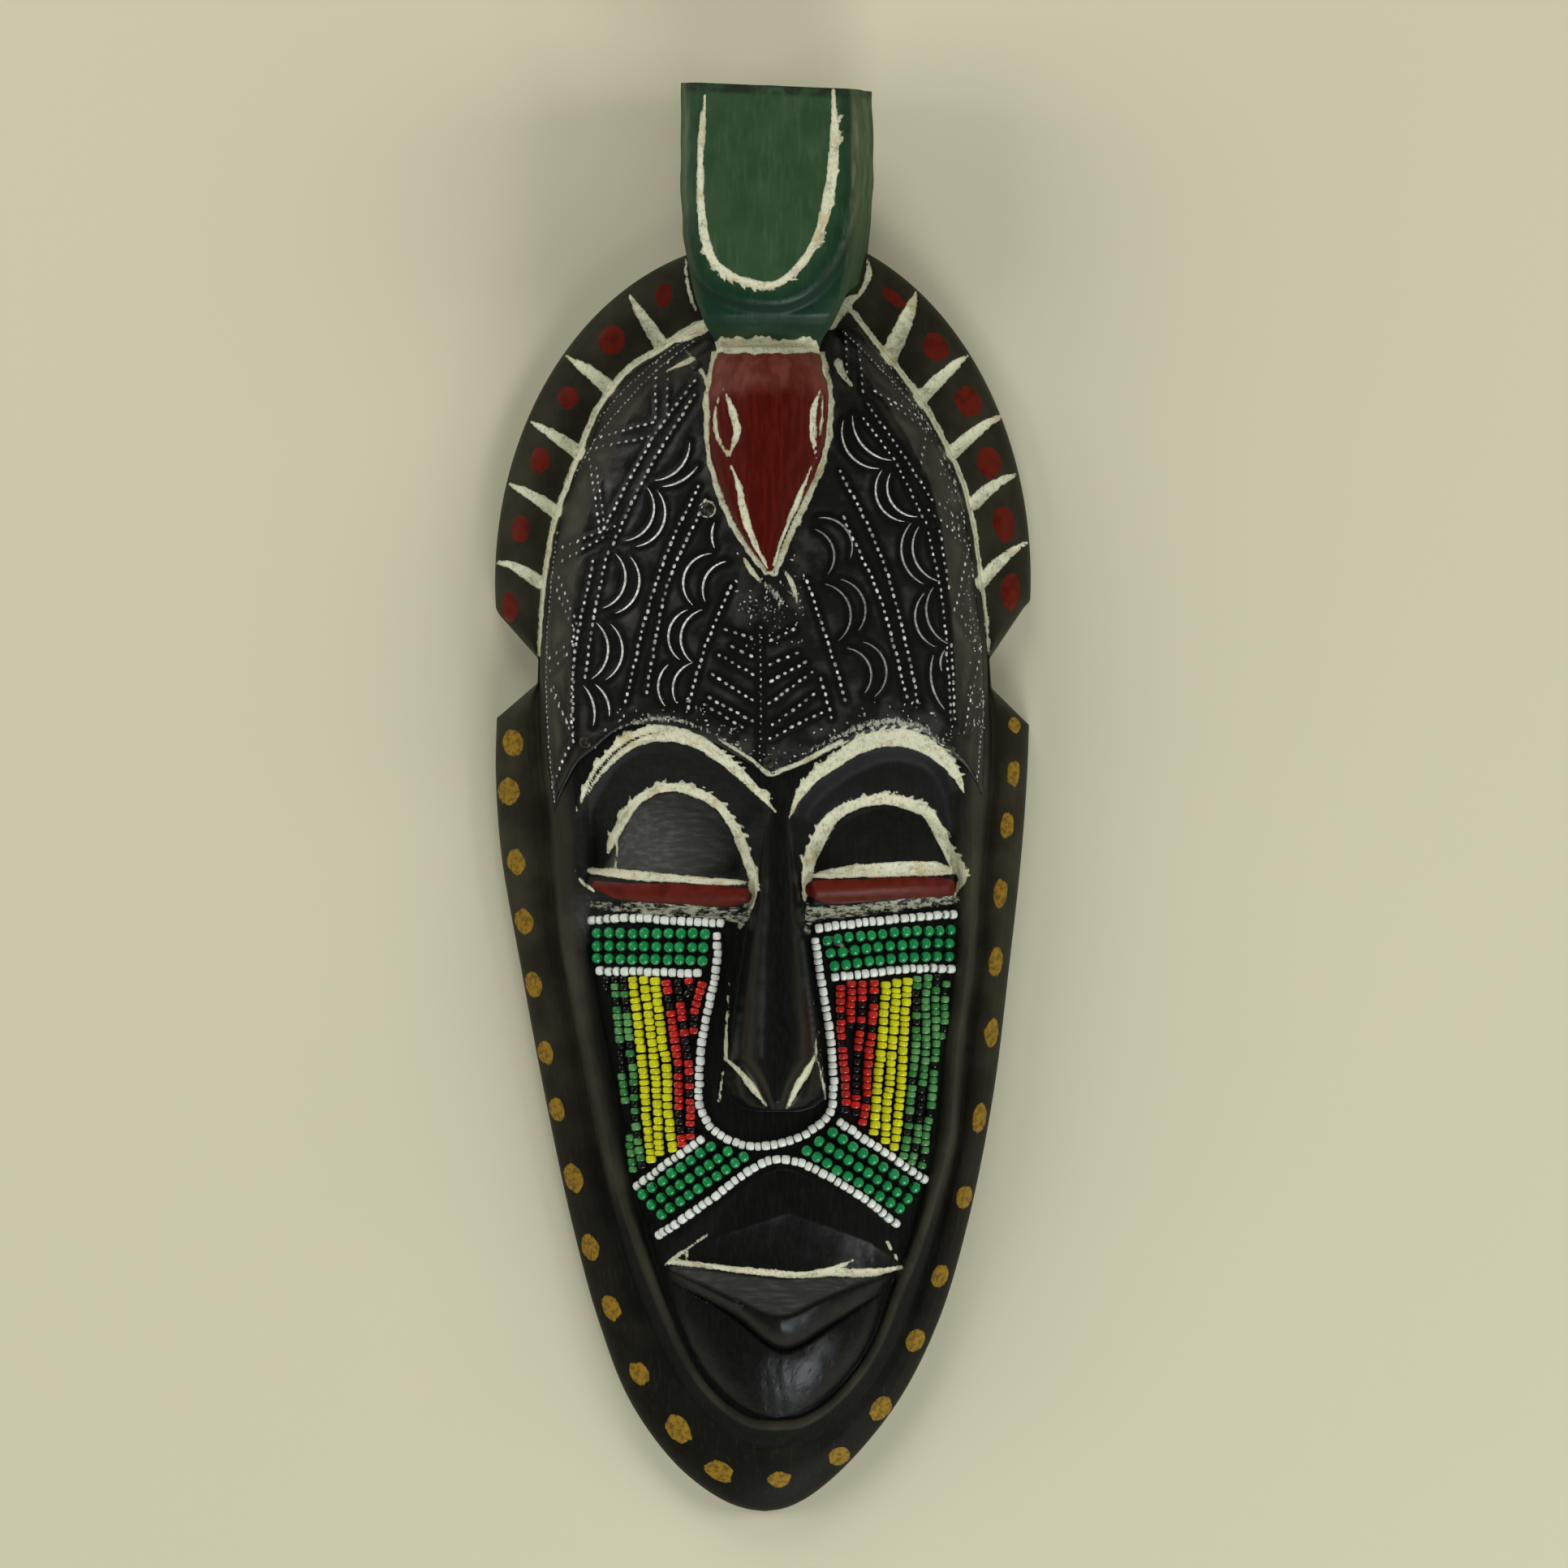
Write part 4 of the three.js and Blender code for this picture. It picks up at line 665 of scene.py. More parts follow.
WELD = 2e-6
ABOVE_ALL = 200
BOWL_SIDES = 96
BOWL_CROWN = 0.3


def to_frame(corners):
    """Carver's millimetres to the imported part's metres."""
    return (np.asarray(corners, float) + SHIFT) * MM


def piece(name, corners, faces, materials, replaces=(), attributes=None, kinds=None):
    """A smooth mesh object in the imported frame, riding on the part's only body."""
    mesh = bpy.data.meshes.new(name)
    mesh.from_pydata(to_frame(corners).tolist(), [], [list(map(int, face)) for face in faces])
    for key, values in (attributes or {}).items():
        layer = mesh.attributes.new(key, "FLOAT", "POINT")
        layer.data.foreach_set("value", np.asarray(values, np.float32).ravel())
    for material in materials:
        mesh.materials.append(material)
    if kinds is not None:
        mesh.polygons.foreach_set("material_index", np.asarray(kinds, np.int32))
    mesh.polygons.foreach_set("use_smooth", np.ones(len(mesh.polygons), bool))
    mesh.validate()
    work = bmesh.new()
    work.from_mesh(mesh)
    bmesh.ops.remove_doubles(work, verts=work.verts, dist=WELD)
    bmesh.ops.recalc_face_normals(work, faces=work.faces)
    work.to_mesh(mesh)
    work.free()
    made = bpy.data.objects.new(name, mesh)
    bpy.context.scene.collection.objects.link(made)
    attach(made, "root")
    if replaces:
        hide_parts(*replaces)


def grid_faces(rows, columns, wrap=False, wrap_rows=False):
    """Quads over a grid of corners, counted row by row; it may close on itself along either way."""
    across, down = np.arange(columns if wrap else columns - 1), np.arange(rows if wrap_rows else rows - 1)
    i, k = np.meshgrid(down, across, indexing="ij")
    next_i, next_k = (i + 1) % rows, (k + 1) % columns
    quad = np.stack([i * columns + k, next_i * columns + k, next_i * columns + next_k, i * columns + next_k],
                    -1)
    return quad.reshape(-1, 4).tolist()


def loft_faces(rows, columns):
    """Quads round closed rings of corners, with a flat face on each end."""
    last = (rows - 1) * columns
    return grid_faces(rows, columns, wrap=True) + [list(range(columns))[::-1],
                                                   list(range(last, last + columns))]


def surface_of(corners, faces):
    """Reads the height of a surface at a place in plan, 0 where there is none, and the direction out of
    it."""
    tree = BVHTree.FromPolygons([tuple(c) for c in corners.tolist()], faces)
    down = Vector((0, 0, -1))

    def read(x, y):
        hit, normal, _, _ = tree.ray_cast(Vector((float(x), float(y), ABOVE_ALL)), down)
        if hit is None:
            return 0.0, Vector((0, 0, 1))
        return hit.z, normal if normal.z > 0 else -normal
    return read


def stitch(outer, inner, corners, centre):
    """Triangles between two closed loops, each given by its corners' numbers in turn."""
    turned = []
    for loop in map(np.array, (outer, inner)):
        angle = np.arctan2(corners[loop, 1] - centre[1], corners[loop, 0] - centre[0])
        if np.sign(np.diff(angle)).sum() < 0:
            loop, angle = loop[::-1], angle[::-1]
        first = int(np.argmin(angle))
        numbers = np.roll(loop, -first).tolist()
        angles = np.maximum.accumulate(np.roll(angle, -first)).tolist()
        turned.append((numbers + numbers[:1], angles + [angles[0] + 2 * math.pi]))
    (a, at_a), (b, at_b) = turned
    faces, i, k = [], 0, 0
    while i < len(a) - 1 or k < len(b) - 1:
        if k == len(b) - 1 or (i < len(a) - 1 and at_a[i + 1] <= at_b[k + 1]):
            faces.append([a[i], a[i + 1], b[k]])
            i += 1
        else:
            faces.append([a[i], b[k + 1], b[k]])
            k += 1
    return faces


def bowl(corners, faces, loop, rings):
    """Closes a loop of corners with oval rings (share of the hollow's width, level) round its middle."""
    centre = (HOLLOW["x"], HOLLOW["y"])
    angle = np.arange(BOWL_SIDES) * 2 * math.pi / BOWL_SIDES - math.pi
    for share, level in rings:
        numbers = np.arange(len(corners), len(corners) + BOWL_SIDES)
        ring = np.stack([centre[0] + share * HOLLOW["half_width"] * np.cos(angle),
                         centre[1] + share * HOLLOW["half_length"] * np.sin(angle),
                         np.full(BOWL_SIDES, float(level))], axis=1)
        corners = np.vstack([corners, ring])
        if len(loop) == BOWL_SIDES:
            faces = faces + np.stack([loop, np.roll(loop, -1), np.roll(numbers, -1), numbers],
                                     axis=1).tolist()
        else:
            faces = faces + stitch(loop, numbers, corners, centre)
        loop = numbers
    tip = np.full(BOWL_SIDES, len(corners))
    corners = np.vstack([corners, [*centre, level + BOWL_CROWN]])
    return corners, faces + np.stack([loop, np.roll(loop, -1), tip], axis=1).tolist()


# The wood inside stays a thin wall over the hollow; this is where the two carved pieces meet, out of sight.
LINING = [(1.04, 9.5), (0.92, 16.5), (0.75, 23), (0.45, 28), (0.15, 29.6)]
HOLLOW_SHARES = (0, 0.01, 0.03, 0.07, 0.12, 0.2, 0.3, 0.44, 0.58, 0.75, 0.9)
# How far apart the rows of the forehead are on each piece.
FLANGE_FOREHEAD_STEP, HEAD_FOREHEAD_STEP = 0.8, 1.4
FLANGE_FACE_COLUMNS = 2
# Bristle marks on the brows and arches: stroke, count and seed.
FACE_BRISTLES = ((BROWS[0], 30, 1), (BROWS[1], 44, 2), (ARCHES[0], 26, 3), (ARCHES[1], 34, 4))
EYEBALL_LOW = ((-4, -26), (-50, -24))
# Shares of grey: on the lower lip this is dust together with a painted sheen.
LIP_DUST_AND_SHEEN, CORNER_DUST, SOCKET_DUST = 0.62, 0.55, (0.1, 0.04)


def dust_and_sheen_places(x, y):
    """How much grey lies on the black paint: on the left eyeball a painted sheen, brightest toward its left
    side, over a little dust; on the lower lip dust with a painted sheen; dust on a corner by the lid and in
    the sockets."""
    line = np.vstack([curve(np.array(ARCHES[0])[:, :2], 1), *EYEBALL_LOW])
    edge, _ = nearest(closed(line), x, y, 3)
    # The left eyeball's grey is a painted sheen, brightest where the light catches it, with a floor of dust.
    worn_and_sheen = np.clip(1.25 - np.hypot(x + 37, (y + 15) * 1.2) / 26, 0.12, 1)
    eyeball = worn_and_sheen * inside(line, x, y) * step_up(edge, 0.6, 2.4)
    upper, lower = (smooth([row[:2] for row in MOUTH[k]])(x) for k in (2, 3))
    # The lower lip's upper plane: dust and a painted sheen of the light it faces.
    lip = LIP_DUST_AND_SHEEN * step_up(upper - y, 1, 2) * step_up(y - lower, 0.2, 1.6) * (np.abs(x - 6) < 31)
    corner = CORNER_DUST * np.clip(1.4 - np.hypot((x + 51.5) / 4, (y + 34) / 8), 0, 1)
    sockets = [dust * inside(socket_of(eye), x, y) for eye, dust in zip(EYES, SOCKET_DUST)]
    return np.maximum.reduce([eyeball, lip, corner, *sockets])


def face_paint(corners, shown):
    """The float attributes of a carved piece's paint; corners from shown on are hidden and bare."""
    x, y = corners[:shown, 0], corners[:shown, 1]
    hairs = [hair for points, count, seed in FACE_BRISTLES for hair in bristles(points, 1, count, seed)]
    cream = strokes([*BROWS, *ARCHES, *LID_BARS, *NOSE_CUTS, *FACE_LINES, *CREST_CUTS, *FOOT_LINES,
                     *CORNER_PAINT, *hairs], x, y)
    values = {"cream": np.maximum(cream, -stroke(BROW_CRACK, x, y)),
              "red": np.minimum(strokes(LID_REDS, x, y), dots(RED_DOTS, x, y)),
              "ochre": dots(OCHRE_DOTS, x, y),
              "smudge": strokes(SMUDGES, x, y),
              "dull": dust_and_sheen_places(x, y)}
    return {key: padded(value, len(corners), 0.0 if key == "dull" else PAINT_REACH)
            for key, value in values.items()}


def padded(values, count, filler):
    """Values made up to a count with a filler."""
    return np.concatenate([values, np.full(count - len(values), filler)])


def rim_olive_and_highlight(corners, out):
    """How olive the head's rim is: a wide band at the cheeks, the flange's olive paint that also stands in
    for the sheen of that outward slope, and a narrow light line along the ridge round the chin, which is a
    painted highlight.

    Also how far a place is on the matt strip outside that ridge.
    """
    x, y = corners[:, 0], corners[:, 1]
    bands = [smooth(SIDES[sign]["band"])(y) for sign in (-1, 1)]
    past_ridge = out + np.where(x < NOSE_AXIS, *bands)
    # The narrow light line along the ridge is a painted highlight.
    narrow = np.maximum(0.12 * step_up(past_ridge, 0, 1.5), 1 - step_up(np.abs(past_ridge + 0.3), 0.9, 1.9))
    wide = step_up(out, -9, -3.5) * (1 - 0.5 * step_up(y, 5, 15))
    cheeks = step_up(y, -128, -104)
    return cheeks * wide + (1 - cheeks) * narrow, (1 - cheeks) * step_up(past_ridge, 0.6, 1.8)


def flange_piece():
    """The flange, from the groove round the head's foot out and under to the hollow back."""
    grid, _ = carved_rows(FLANGE_FOREHEAD_STEP, FLANGE_STEPS, FLANGE_FACE_COLUMNS)
    carved = carve_face(grid)
    foot_at = foot_column(FLANGE_STEPS)
    columns = carved.shape[1]
    ring = np.concatenate([carved[:, :foot_at + 1], carved[-2:0:-1, :columns - foot_at - 2:-1]])
    around, deep = ring.shape[:2]
    corners, faces = ring.reshape(-1, 3), grid_faces(around, deep, wrap_rows=True)
    shown = len(corners)
    edge = np.arange(around) * deep
    hollow = [(1 - share, float(HOLLOW_STEPS(share))) for share in HOLLOW_SHARES]
    corners, faces = bowl(corners, faces, edge, hollow)
    corners, faces = bowl(corners, faces, edge + deep - 1, LINING)
    piece("carved_flange", corners, faces, [flange_wood()], ["mask_body"],
          face_paint(corners, shown))


def head_piece():
    """The head; also the bare and the carved grid of corners, for what lies on them."""
    grid, out = carved_rows(HEAD_FOREHEAD_STEP, HEAD_STEPS, FACE_COLUMNS)
    carved = carve_face(grid)
    foot_at = foot_column(HEAD_STEPS)
    head, out = (rows[:, foot_at:rows.shape[1] - foot_at] for rows in (carved, out))
    rows, columns = head.shape[:2]
    bare = head.reshape(-1, 3)
    loop = np.concatenate([np.arange(rows) * columns, np.arange(rows - 2, 0, -1) * columns + columns - 1])
    corners, faces = bowl(bare, grid_faces(rows, columns), loop, LINING)
    values = face_paint(corners, len(bare))
    for key, value in zip(("band", "matt"), rim_olive_and_highlight(bare, out.ravel())):
        values[key] = padded(value, len(corners), 0.0)
    piece("carved_head", corners, faces, [head_wood()], ["mask_body"], values)
    return grid, carved


# The parrot: stations (y, left, right, top, underside) of its body and (y, left, right, top) of its head.

PARROT_BODY = [(209.6, -23.9, 27.6, 50, 20), (182, -24.2, 28.2, 54, 13), (165, -23.5, 27, 55.9, 6),
               (156, -21.8, 25.8, 56.3, 2), (146, -19.7, 23.8, 55.6, 1), (141.2, -18.1, 21.5, 54.7, 1),
               (138.4, -16.9, 20, 52, 1), (134.6, -14.4, 17.4, 46.4, 1), (130.5, -13.2, 16, 41, 1)]
CREASE = [(-24, 167), (-21.5, 158), (-16.2, 149.9), (-9, 146), (-1, 144.4), (7, 144.8), (14, 148.2),
          (20, 155), (24, 163.7), (26, 172), (26.9, 182), (27.3, 200), (27.3, 212)]
CREASE_DROP = 3.4
# The breast lies above the crease, out to these two corners.
BREAST_CORNERS = ((-27, 212), (-27, 167))
FLANK_LEAN = 4.3
SHOULDER = 150
PARROT_HEAD = [(132, -13.4, 16.2, 43.5), (127, -14.5, 17.6, 48), (117, -16, 19.5, 51.5),
               (105.5, -16.1, 18.9, 50.5), (97, -14.9, 16.6, 49.8), (89, -12.4, 13.1, 49.2),
               (81.7, -9.5, 9.7, 48.6), (74, -4.9, 6.2, 48), (66.4, 1.1, 3.3, 47)]
HEAD_DEPTH = 24
THROAT = [(-16.9, 205.4, 0.9), (-17.7, 196, 2), (-18.2, 182.4, 1.9), (-18, 172.5, 2.3), (-16.9, 163.9, 2.8),
          (-14.4, 157.1, 2.6), (-9.5, 152.8, 2.4), (-2.7, 150.3, 2.3), (3.5, 150.1, 2), (8.5, 153.2, 2.3),
          (13.4, 159, 2.6), (16.9, 166.4, 2.8), (19.3, 176.3, 3.4), (20.6, 186.1, 3.2), (21, 197, 2.4),
          (20.6, 207, 0.6)]
BEAK_LINES = [
    [(-9.2, 97.2, 0.3), (-7.3, 92, 1.6), (-5.2, 82.4, 2.4), (-2.6, 75, 1.8), (1.3, 67.4, 0.4)],
    [(14.3, 97, 0.3), (11, 89.4, 1.4), (8.3, 81.7, 2.2), (5.2, 73.2, 1.9), (3.2, 68.2, 0.5)],
]
HEAD_LEAVES = [
    [(-12.8, 118, 0.3), (-14.1, 111, 1.1), (-13.1, 105.5, 1.2), (-9.9, 99.8, 0.5)],
    [(-11.4, 119.8, 0.3), (-8.8, 113, 2.2), (-7.6, 107, 2.2), (-9.7, 100.3, 0.5)],
    [(17.1, 119.8, 0.3), (15.2, 115, 1.6), (14.5, 107.9, 2), (15.4, 99.6, 0.4)],
    [(17.6, 118, 0.3), (17.2, 110, 0.8), (15.6, 101, 0.4)],
]
EDGE_SOFTENING = 0.6
BODY_ROW_STEP = 0.5
BODY_RADII, BODY_CORNER_STEPS = (0, 2.2, 1.2, 4, 4, 1, 1.6, 0), 5
BODY_LINE_STEPS = (14, 4, 8, 84, 8, 5, 16)
# The carved top of the block reaches this far down its sides.
TOP_DEPTH = 9
STROKE_DEPTH = 0.8
# The worn end of the block slants back to the right by this much.
END_START, END_STOP, END_SLANT = 196, 209.6, 2.1
# Beyond here the end is darker: bare wood and a painted shade of its edge.
END_PAINT_STOP = 206.6
CREAM_BAND_TOP = 134.4
# Bristle marks on the throat's stroke: stroke, count and seed.
THROAT_BRISTLES = ((THROAT[4:9], 20, 5), (THROAT[8:], 14, 7))
BIRD_ROWS = 150
BIRD_RADII, BIRD_CORNER_STEPS = (0, 3, 3, 4, 4, 3, 3, 0), 6
BIRD_LINE_STEPS = (3, 6, 12, 14, 12, 6, 3)
CHEEK_AT, CROWN_FLAT, CHEEK_DROP, CHEEK_EDGE = 0.78, 0.3, 0.2, 4
BIRD_TOP_DEPTH = 12


def loft_rows(stations, step):
    """Stations (y, values...) read every step along y, with their corners a little softened."""
    table = np.array(stations, float)[::-1]
    count = int((table[-1, 0] - table[0, 0]) / step)
    places = np.linspace(table[0, 0], table[-1, 0], count + 1)
    offsets = np.linspace(-EDGE_SOFTENING, EDGE_SOFTENING, 5)
    columns = [np.mean([np.interp(places + shift, table[:, 0], table[:, k]) for shift in offsets], axis=0)
               for k in range(1, table.shape[1])]
    return [places, *columns]


def body_grid():
    """The block before carving: arrays x, y, z of corners, and how far up its top each one is, from 0
    to 1."""
    y, left, right, top, under = loft_rows(PARROT_BODY, BODY_ROW_STEP)
    lean = FLANK_LEAN * step_up(y, SHOULDER - 3, SHOULDER + 1)
    profile = profiles([(left + 1.2, under), (left, top - 5), (left + 2, top - 1.4), (left + 7, top),
                        (right - 7, top), (right - 2, top - 1.6), (right, top - 6), (right + lean, under)])
    fine = rounded(profile, BODY_RADII, BODY_CORNER_STEPS, BODY_LINE_STEPS)
    x, z = fine[..., 0], fine[..., 1]
    high = np.clip((z - (top - TOP_DEPTH)[:, None]) / TOP_DEPTH, 0, 1)
    return x, np.broadcast_to(y[:, None], x.shape), z, high


def end_slant(x):
    """How far the block's end lies back at a place across it."""
    return END_SLANT * np.clip((x + 24) / 52, 0, 1)


def body_paint(x, y, z, high, beside, breast):
    """The float attributes of the body's paint, by the distance beside the crease and whether on the
    breast."""
    line = curve(np.array(THROAT)[:, :2], 1)
    throat = inside(np.vstack([line, [(21, 215), (-17, 215)]]), x, y)
    lower = np.where(breast, 0, step_up(beside, 0.2, 1.6))
    # Painted shade: the breast's paint darkens toward the crease, and a painted shadow below the crease
    # makes the panel value negative.
    breast_paint = 0.55 * (1 - lower) * (0.15 + 0.85 * step_up(beside, 1.5, 6))
    shadow = np.exp(-((beside - 1.4) / 1.3) ** 2) * (1 - breast) * (1 - step_up(y, 160, 172)) * high
    # Rubbed paint that is also a painted highlight, along the crease's right side and the block's left edge.
    worn_and_sheen = np.exp(-(beside / 1.1) ** 2) * step_up(y, 150, 168) * (x > 0)
    worn_and_sheen += np.exp(-((x + 23) / 1.2) ** 2) * step_up(y, 156, 172) * step_up(high, 0.5, 0.9)
    hairs = [hair for points, count, seed in THROAT_BRISTLES for hair in bristles(points, -1, count, seed)]
    ragged = y - CREAM_BAND_TOP + 0.9 * ripple(x, y * 0, 9, 25) + 0.5 * ripple(x, y * 0.4, 2.6, 26)
    ragged += np.clip(np.abs(x - 1) - 13, 0, 5) * 0.6
    cream = np.minimum(strokes([THROAT, *hairs], x, y), ragged)
    return {"cream": np.where(z > 20, cream, PAINT_REACH),
            "panel": np.maximum(throat, breast_paint) - shadow,
            "end": y - END_PAINT_STOP + end_slant(x),
            "flank": 1 - high,
            "worn_and_sheen": worn_and_sheen}


def parrot_body():
    """The parrot's body: a block whose breast stands out over a step, with a stroke of paint round its
    throat."""
    x, y, z, high = body_grid()
    z = np.where(high > 0, cut_along(z, x, y, THROAT, STROKE_DEPTH), z)
    marks = 0.18 * ripple(x, y * 0.3, 5, 21) + 0.06 * ripple(x * 2, y * 0.2, 3, 22)
    z = z + high * marks * (0.25 + 0.75 * step_up(y, 144, 158))
    x = x + (1 - high) * 0.22 * ripple(y, z, 14, 23)
    crease = curve(CREASE, 1)
    beside, _ = nearest(crease, x, y, 6)
    breast = inside(np.vstack([crease, *BREAST_CORNERS]), x, y)
    groove = 0.9 * np.exp(-((beside - 1.3) / 1.0) ** 2) * (y < 170)
    dropped = 0.5 + (CREASE_DROP - 0.5) * step_up(beside, 0, 3.4) + groove
    z = z - high * np.where(breast, 0.5 * (1 - step_up(beside, 0, 1.6)), dropped)
    worn_back = 0.45 * ripple(x, z, 18, 24) - 0.45 - end_slant(x)
    y = y + step_up(y, END_START, END_STOP) * worn_back
    piece("parrot_body", np.stack([x, y, z], axis=-1).reshape(-1, 3), loft_faces(*x.shape),
          [green_paint()], ["mask_body"], body_paint(x, y, z, high, beside, breast))


def parrot_head():
    """The parrot's head and beak, pointing down the forehead."""
    table = np.array(PARROT_HEAD)[::-1]
    y = np.linspace(table[0, 0], table[-1, 0], BIRD_ROWS)
    left, right, top = (smooth(list(zip(table[:, 0], table[:, k])))(y) for k in (1, 2, 3))
    middle, half = (left + right) / 2, (right - left) / 2
    cheek = top - CHEEK_DROP * half
    low, edge = top - HEAD_DEPTH, cheek - CHEEK_EDGE
    profile = profiles([(left, low), (left, edge), (middle - CHEEK_AT * half, cheek),
                        (middle - CROWN_FLAT * half, top), (middle + CROWN_FLAT * half, top),
                        (middle + CHEEK_AT * half, cheek), (right, edge), (right, low)])
    fine = rounded(profile, BIRD_RADII, BIRD_CORNER_STEPS, BIRD_LINE_STEPS)
    x, z = fine[..., 0], fine[..., 1]
    y = np.broadcast_to(y[:, None], x.shape)
    carved = z
    for points in [*BEAK_LINES, *HEAD_LEAVES]:
        carved = cut_along(carved, x, y, points, STROKE_DEPTH)
    z = np.where(z > (top - BIRD_TOP_DEPTH)[:, None], carved + 0.08 * ripple(x, y, 6, 31), z)
    side = np.minimum(x - left[:, None], right[:, None] - x)
    rim = side - 0.35 - 0.3 * ripple(x, y, 4, 32)
    crown = 130.2 - y + 0.5 * ripple(x, y * 0, 6, 33)
    lines = strokes([*BEAK_LINES, *HEAD_LEAVES], x, y)
    # Lighter toward the crown: partly paler paint, partly a painted light on the upturned top.
    values = {"cream": np.minimum(np.minimum(rim, crown), lines),
              "crown_fade_and_light": y - 117 - 3 * np.cos((x - middle[:, None]) / 12)}
    piece("parrot_head", np.stack([x, y, z], axis=-1).reshape(-1, 3), loft_faces(*x.shape),
          [red_paint()], ["mask_body"], values)


# The metal sheet.

SHEET_INSET = 1.8
SHEET_TOP = (133.5, 138)
SHEET_LOWER_EDGE = [(-61.3, -4), (-59.4, 0), (-56.3, 5.4), (-52.3, 10.8), (-47.5, 14.6), (-41.6, 19.4),
                    (-36.8, 21.4), (-26.1, 21.4), (-19, 19.6), (-12, 15.8), (-3.6, 10.4), (2.4, 6.2),
                    (8.3, 8.4), (14.3, 10.8), (21.4, 14.6), (28.5, 18.2), (35.6, 20.2), (42.8, 20.2),
                    (47.5, 18.6), (52.3, 15), (59.4, 8.6), (63.2, 3), (64.2, 1)]
SHEET_STEP = 0.62
SHEET_SPAN = (125, 130)
SHEET_THICKNESS = 0.5
# How far the sheet stands over the wood, and how far its edge is pressed down over how wide a strip.
SHEET_LIFT = 1.0
EDGE_PRESS, EDGE_STRIP = 0.75, 1.2
# The sheet rises by PUNCH_RISE at a punched line and by PUFF between the lines.
PUNCH_RISE, PUFF = 0.22, 0.45
# The rings of a small cap: shares of its radius and its height.
DOME_RINGS = [(1, -0.3), (0.86, 0.45), (0.5, 0.86)]
NAIL_RINGS = [(1.7, -0.3), (1.9, 0.05), (1.85, 0.35), (1.5, 0.65), (1, 0.85), (0.5, 0.93)]
NAIL_TOP = 0.95
DOME_SIDES, FLECK_SIDES, NAIL_SIDES = 8, 6, 28
RIDGE_SECTION = ((-1, -0.35), (-0.8, 0.4), (-0.3, 0.95), (0.3, 0.95), (0.8, 0.4), (1, -0.35))
RIDGE_HALF_WIDTH, RIDGE_HEIGHT, RIDGE_THINNEST = 0.36, 0.45, 0.12
NAILS = [(-19.6, 126.6), (-16.2, 84.6), (-51.8, 16.6), (1.7, 10.6)]
DOT_PITCH = 2.35
# Punched rows on the sheet.
BORDER_ROWS = [
    [(-17.7, 137.9), (-34.1, 125.6), (-50.1, 107.8), (-58.6, 85.3), (-62.2, 58.9), (-63.3, 35.5),
     (-63, 21.4), (-61, -1)],
    [(-19.1, 134.6), (-32.7, 123.8), (-47.8, 106.4), (-54.8, 94.6)],
    [(21.3, 138.8), (32.4, 128), (44.5, 114.4), (53.1, 102.2), (58.8, 86), (62.3, 66), (64.2, 46),
     (64.4, 26), (62.6, 5)],
]
FINE_ROWS = [
    [(-31.3, 127.5), (-31.3, 111.6)], [(-27.8, 127.5), (-27.8, 112.5)], [(-32.3, 110.1), (-49.2, 105)],
    [(-33.2, 105.9), (-48.7, 102.6)], [(-50.6, 99.3), (-47.8, 78.7)], [(-48.7, 96.5), (-46.4, 81.5)],
    [(-43.5, 79.6), (-58.5, 73.5)], [(-46.8, 76.3), (-58.4, 69.7)], [(-59.6, 64.6), (-54.3, 51)],
    [(-60.3, 60.8), (-55.7, 50.5)], [(-55.7, 45.8), (-62.3, 41.1)], [(-57.2, 42), (-62.3, 37.3)],
    [(-61.8, 31.7), (-57.2, 22.3)], [(-61.2, 32.6), (-55.7, 18.5)], [(-56.7, 14.8), (-61.3, 4.5)],
    [(-55.3, 49.5), (-55.5, 16.7)], [(24.1, 136), (24.6, 122.8)], [(27.9, 133), (29.3, 119.1)],
    [(32.6, 119.1), (46.6, 111.4)], [(37.3, 115.3), (48.1, 108.1)],
    [(48.1, 109.7), (47.1, 103.1), (46.2, 98.4)], [(49.5, 87.6), (58.8, 81)], [(48.5, 84.3), (59, 75.4)],
    [(60.2, 73), (56.1, 55.2)], [(57.9, 53.3), (63.4, 43.9)], [(55.1, 44.9), (56.1, 23.2)],
    [(63, 40.2), (58.8, 19.5)], [(30.7, 115.3), (39.1, 103.1), (48.5, 89)],
    [(29.3, 111.1), (38.2, 99.3), (47.6, 80.6)], [(48.5, 77.7), (52.3, 58.9), (55.1, 23.2)],
    [(51.8, 78.2), (54.2, 61.8)],
]
LONG_ROWS = [
    [(-20, 122.2), (-31.6, 106.2), (-38.8, 93.6), (-46.4, 79.1)],
    [(-20, 117.9), (-31.1, 100.2), (-37.1, 88.9), (-43.7, 74.6)],
    [(-45.4, 72.1), (-49.6, 52.4), (-51.8, 35.5)], [(-49.6, 69.3), (-55, 42), (-55.9, 22.3)],
    [(-18.7, 91.2), (-27, 74.4), (-34.1, 53.3), (-40, 28.4)],
    [(-16.8, 87), (-27.8, 62.7), (-32.4, 40.2), (-34, 31.2)], [(-9.5, 61.8), (-17, 43.9), (-21.9, 26.5)],
    [(22.7, 95.6), (34.3, 71.6), (42.4, 43), (45.2, 28.4)], [(23.6, 82), (34.4, 58), (42, 29.8)],
    [(13, 63.6), (18.9, 45.8), (24.1, 28.9)], [(17.1, 35), (20.1, 23.7)],
]
CHEVRON_ROWS = [
    [(-10.7, 49.5), (-3.1, 46.7)], [(-8.8, 44.4), (-3.4, 41.6)], [(-12.8, 42), (-3.1, 36.4)],
    [(-14.7, 36.1), (-3.1, 28.9)], [(-15.6, 29.4), (-3.1, 22.8)], [(-17.2, 27.5), (-6, 20.9)],
    [(2.5, 46.3), (9.1, 49.5)], [(2, 39.2), (10, 42.5)], [(2.5, 34.5), (12.4, 39.7)],
    [(2, 27.9), (14.2, 36.9)], [(2.7, 21.6), (14.7, 30.3)], [(2, 17.6), (17.1, 25.1)],
]
SEAM = [(-0.9, 50), (-0.6, 30), (-0.9, 9)]
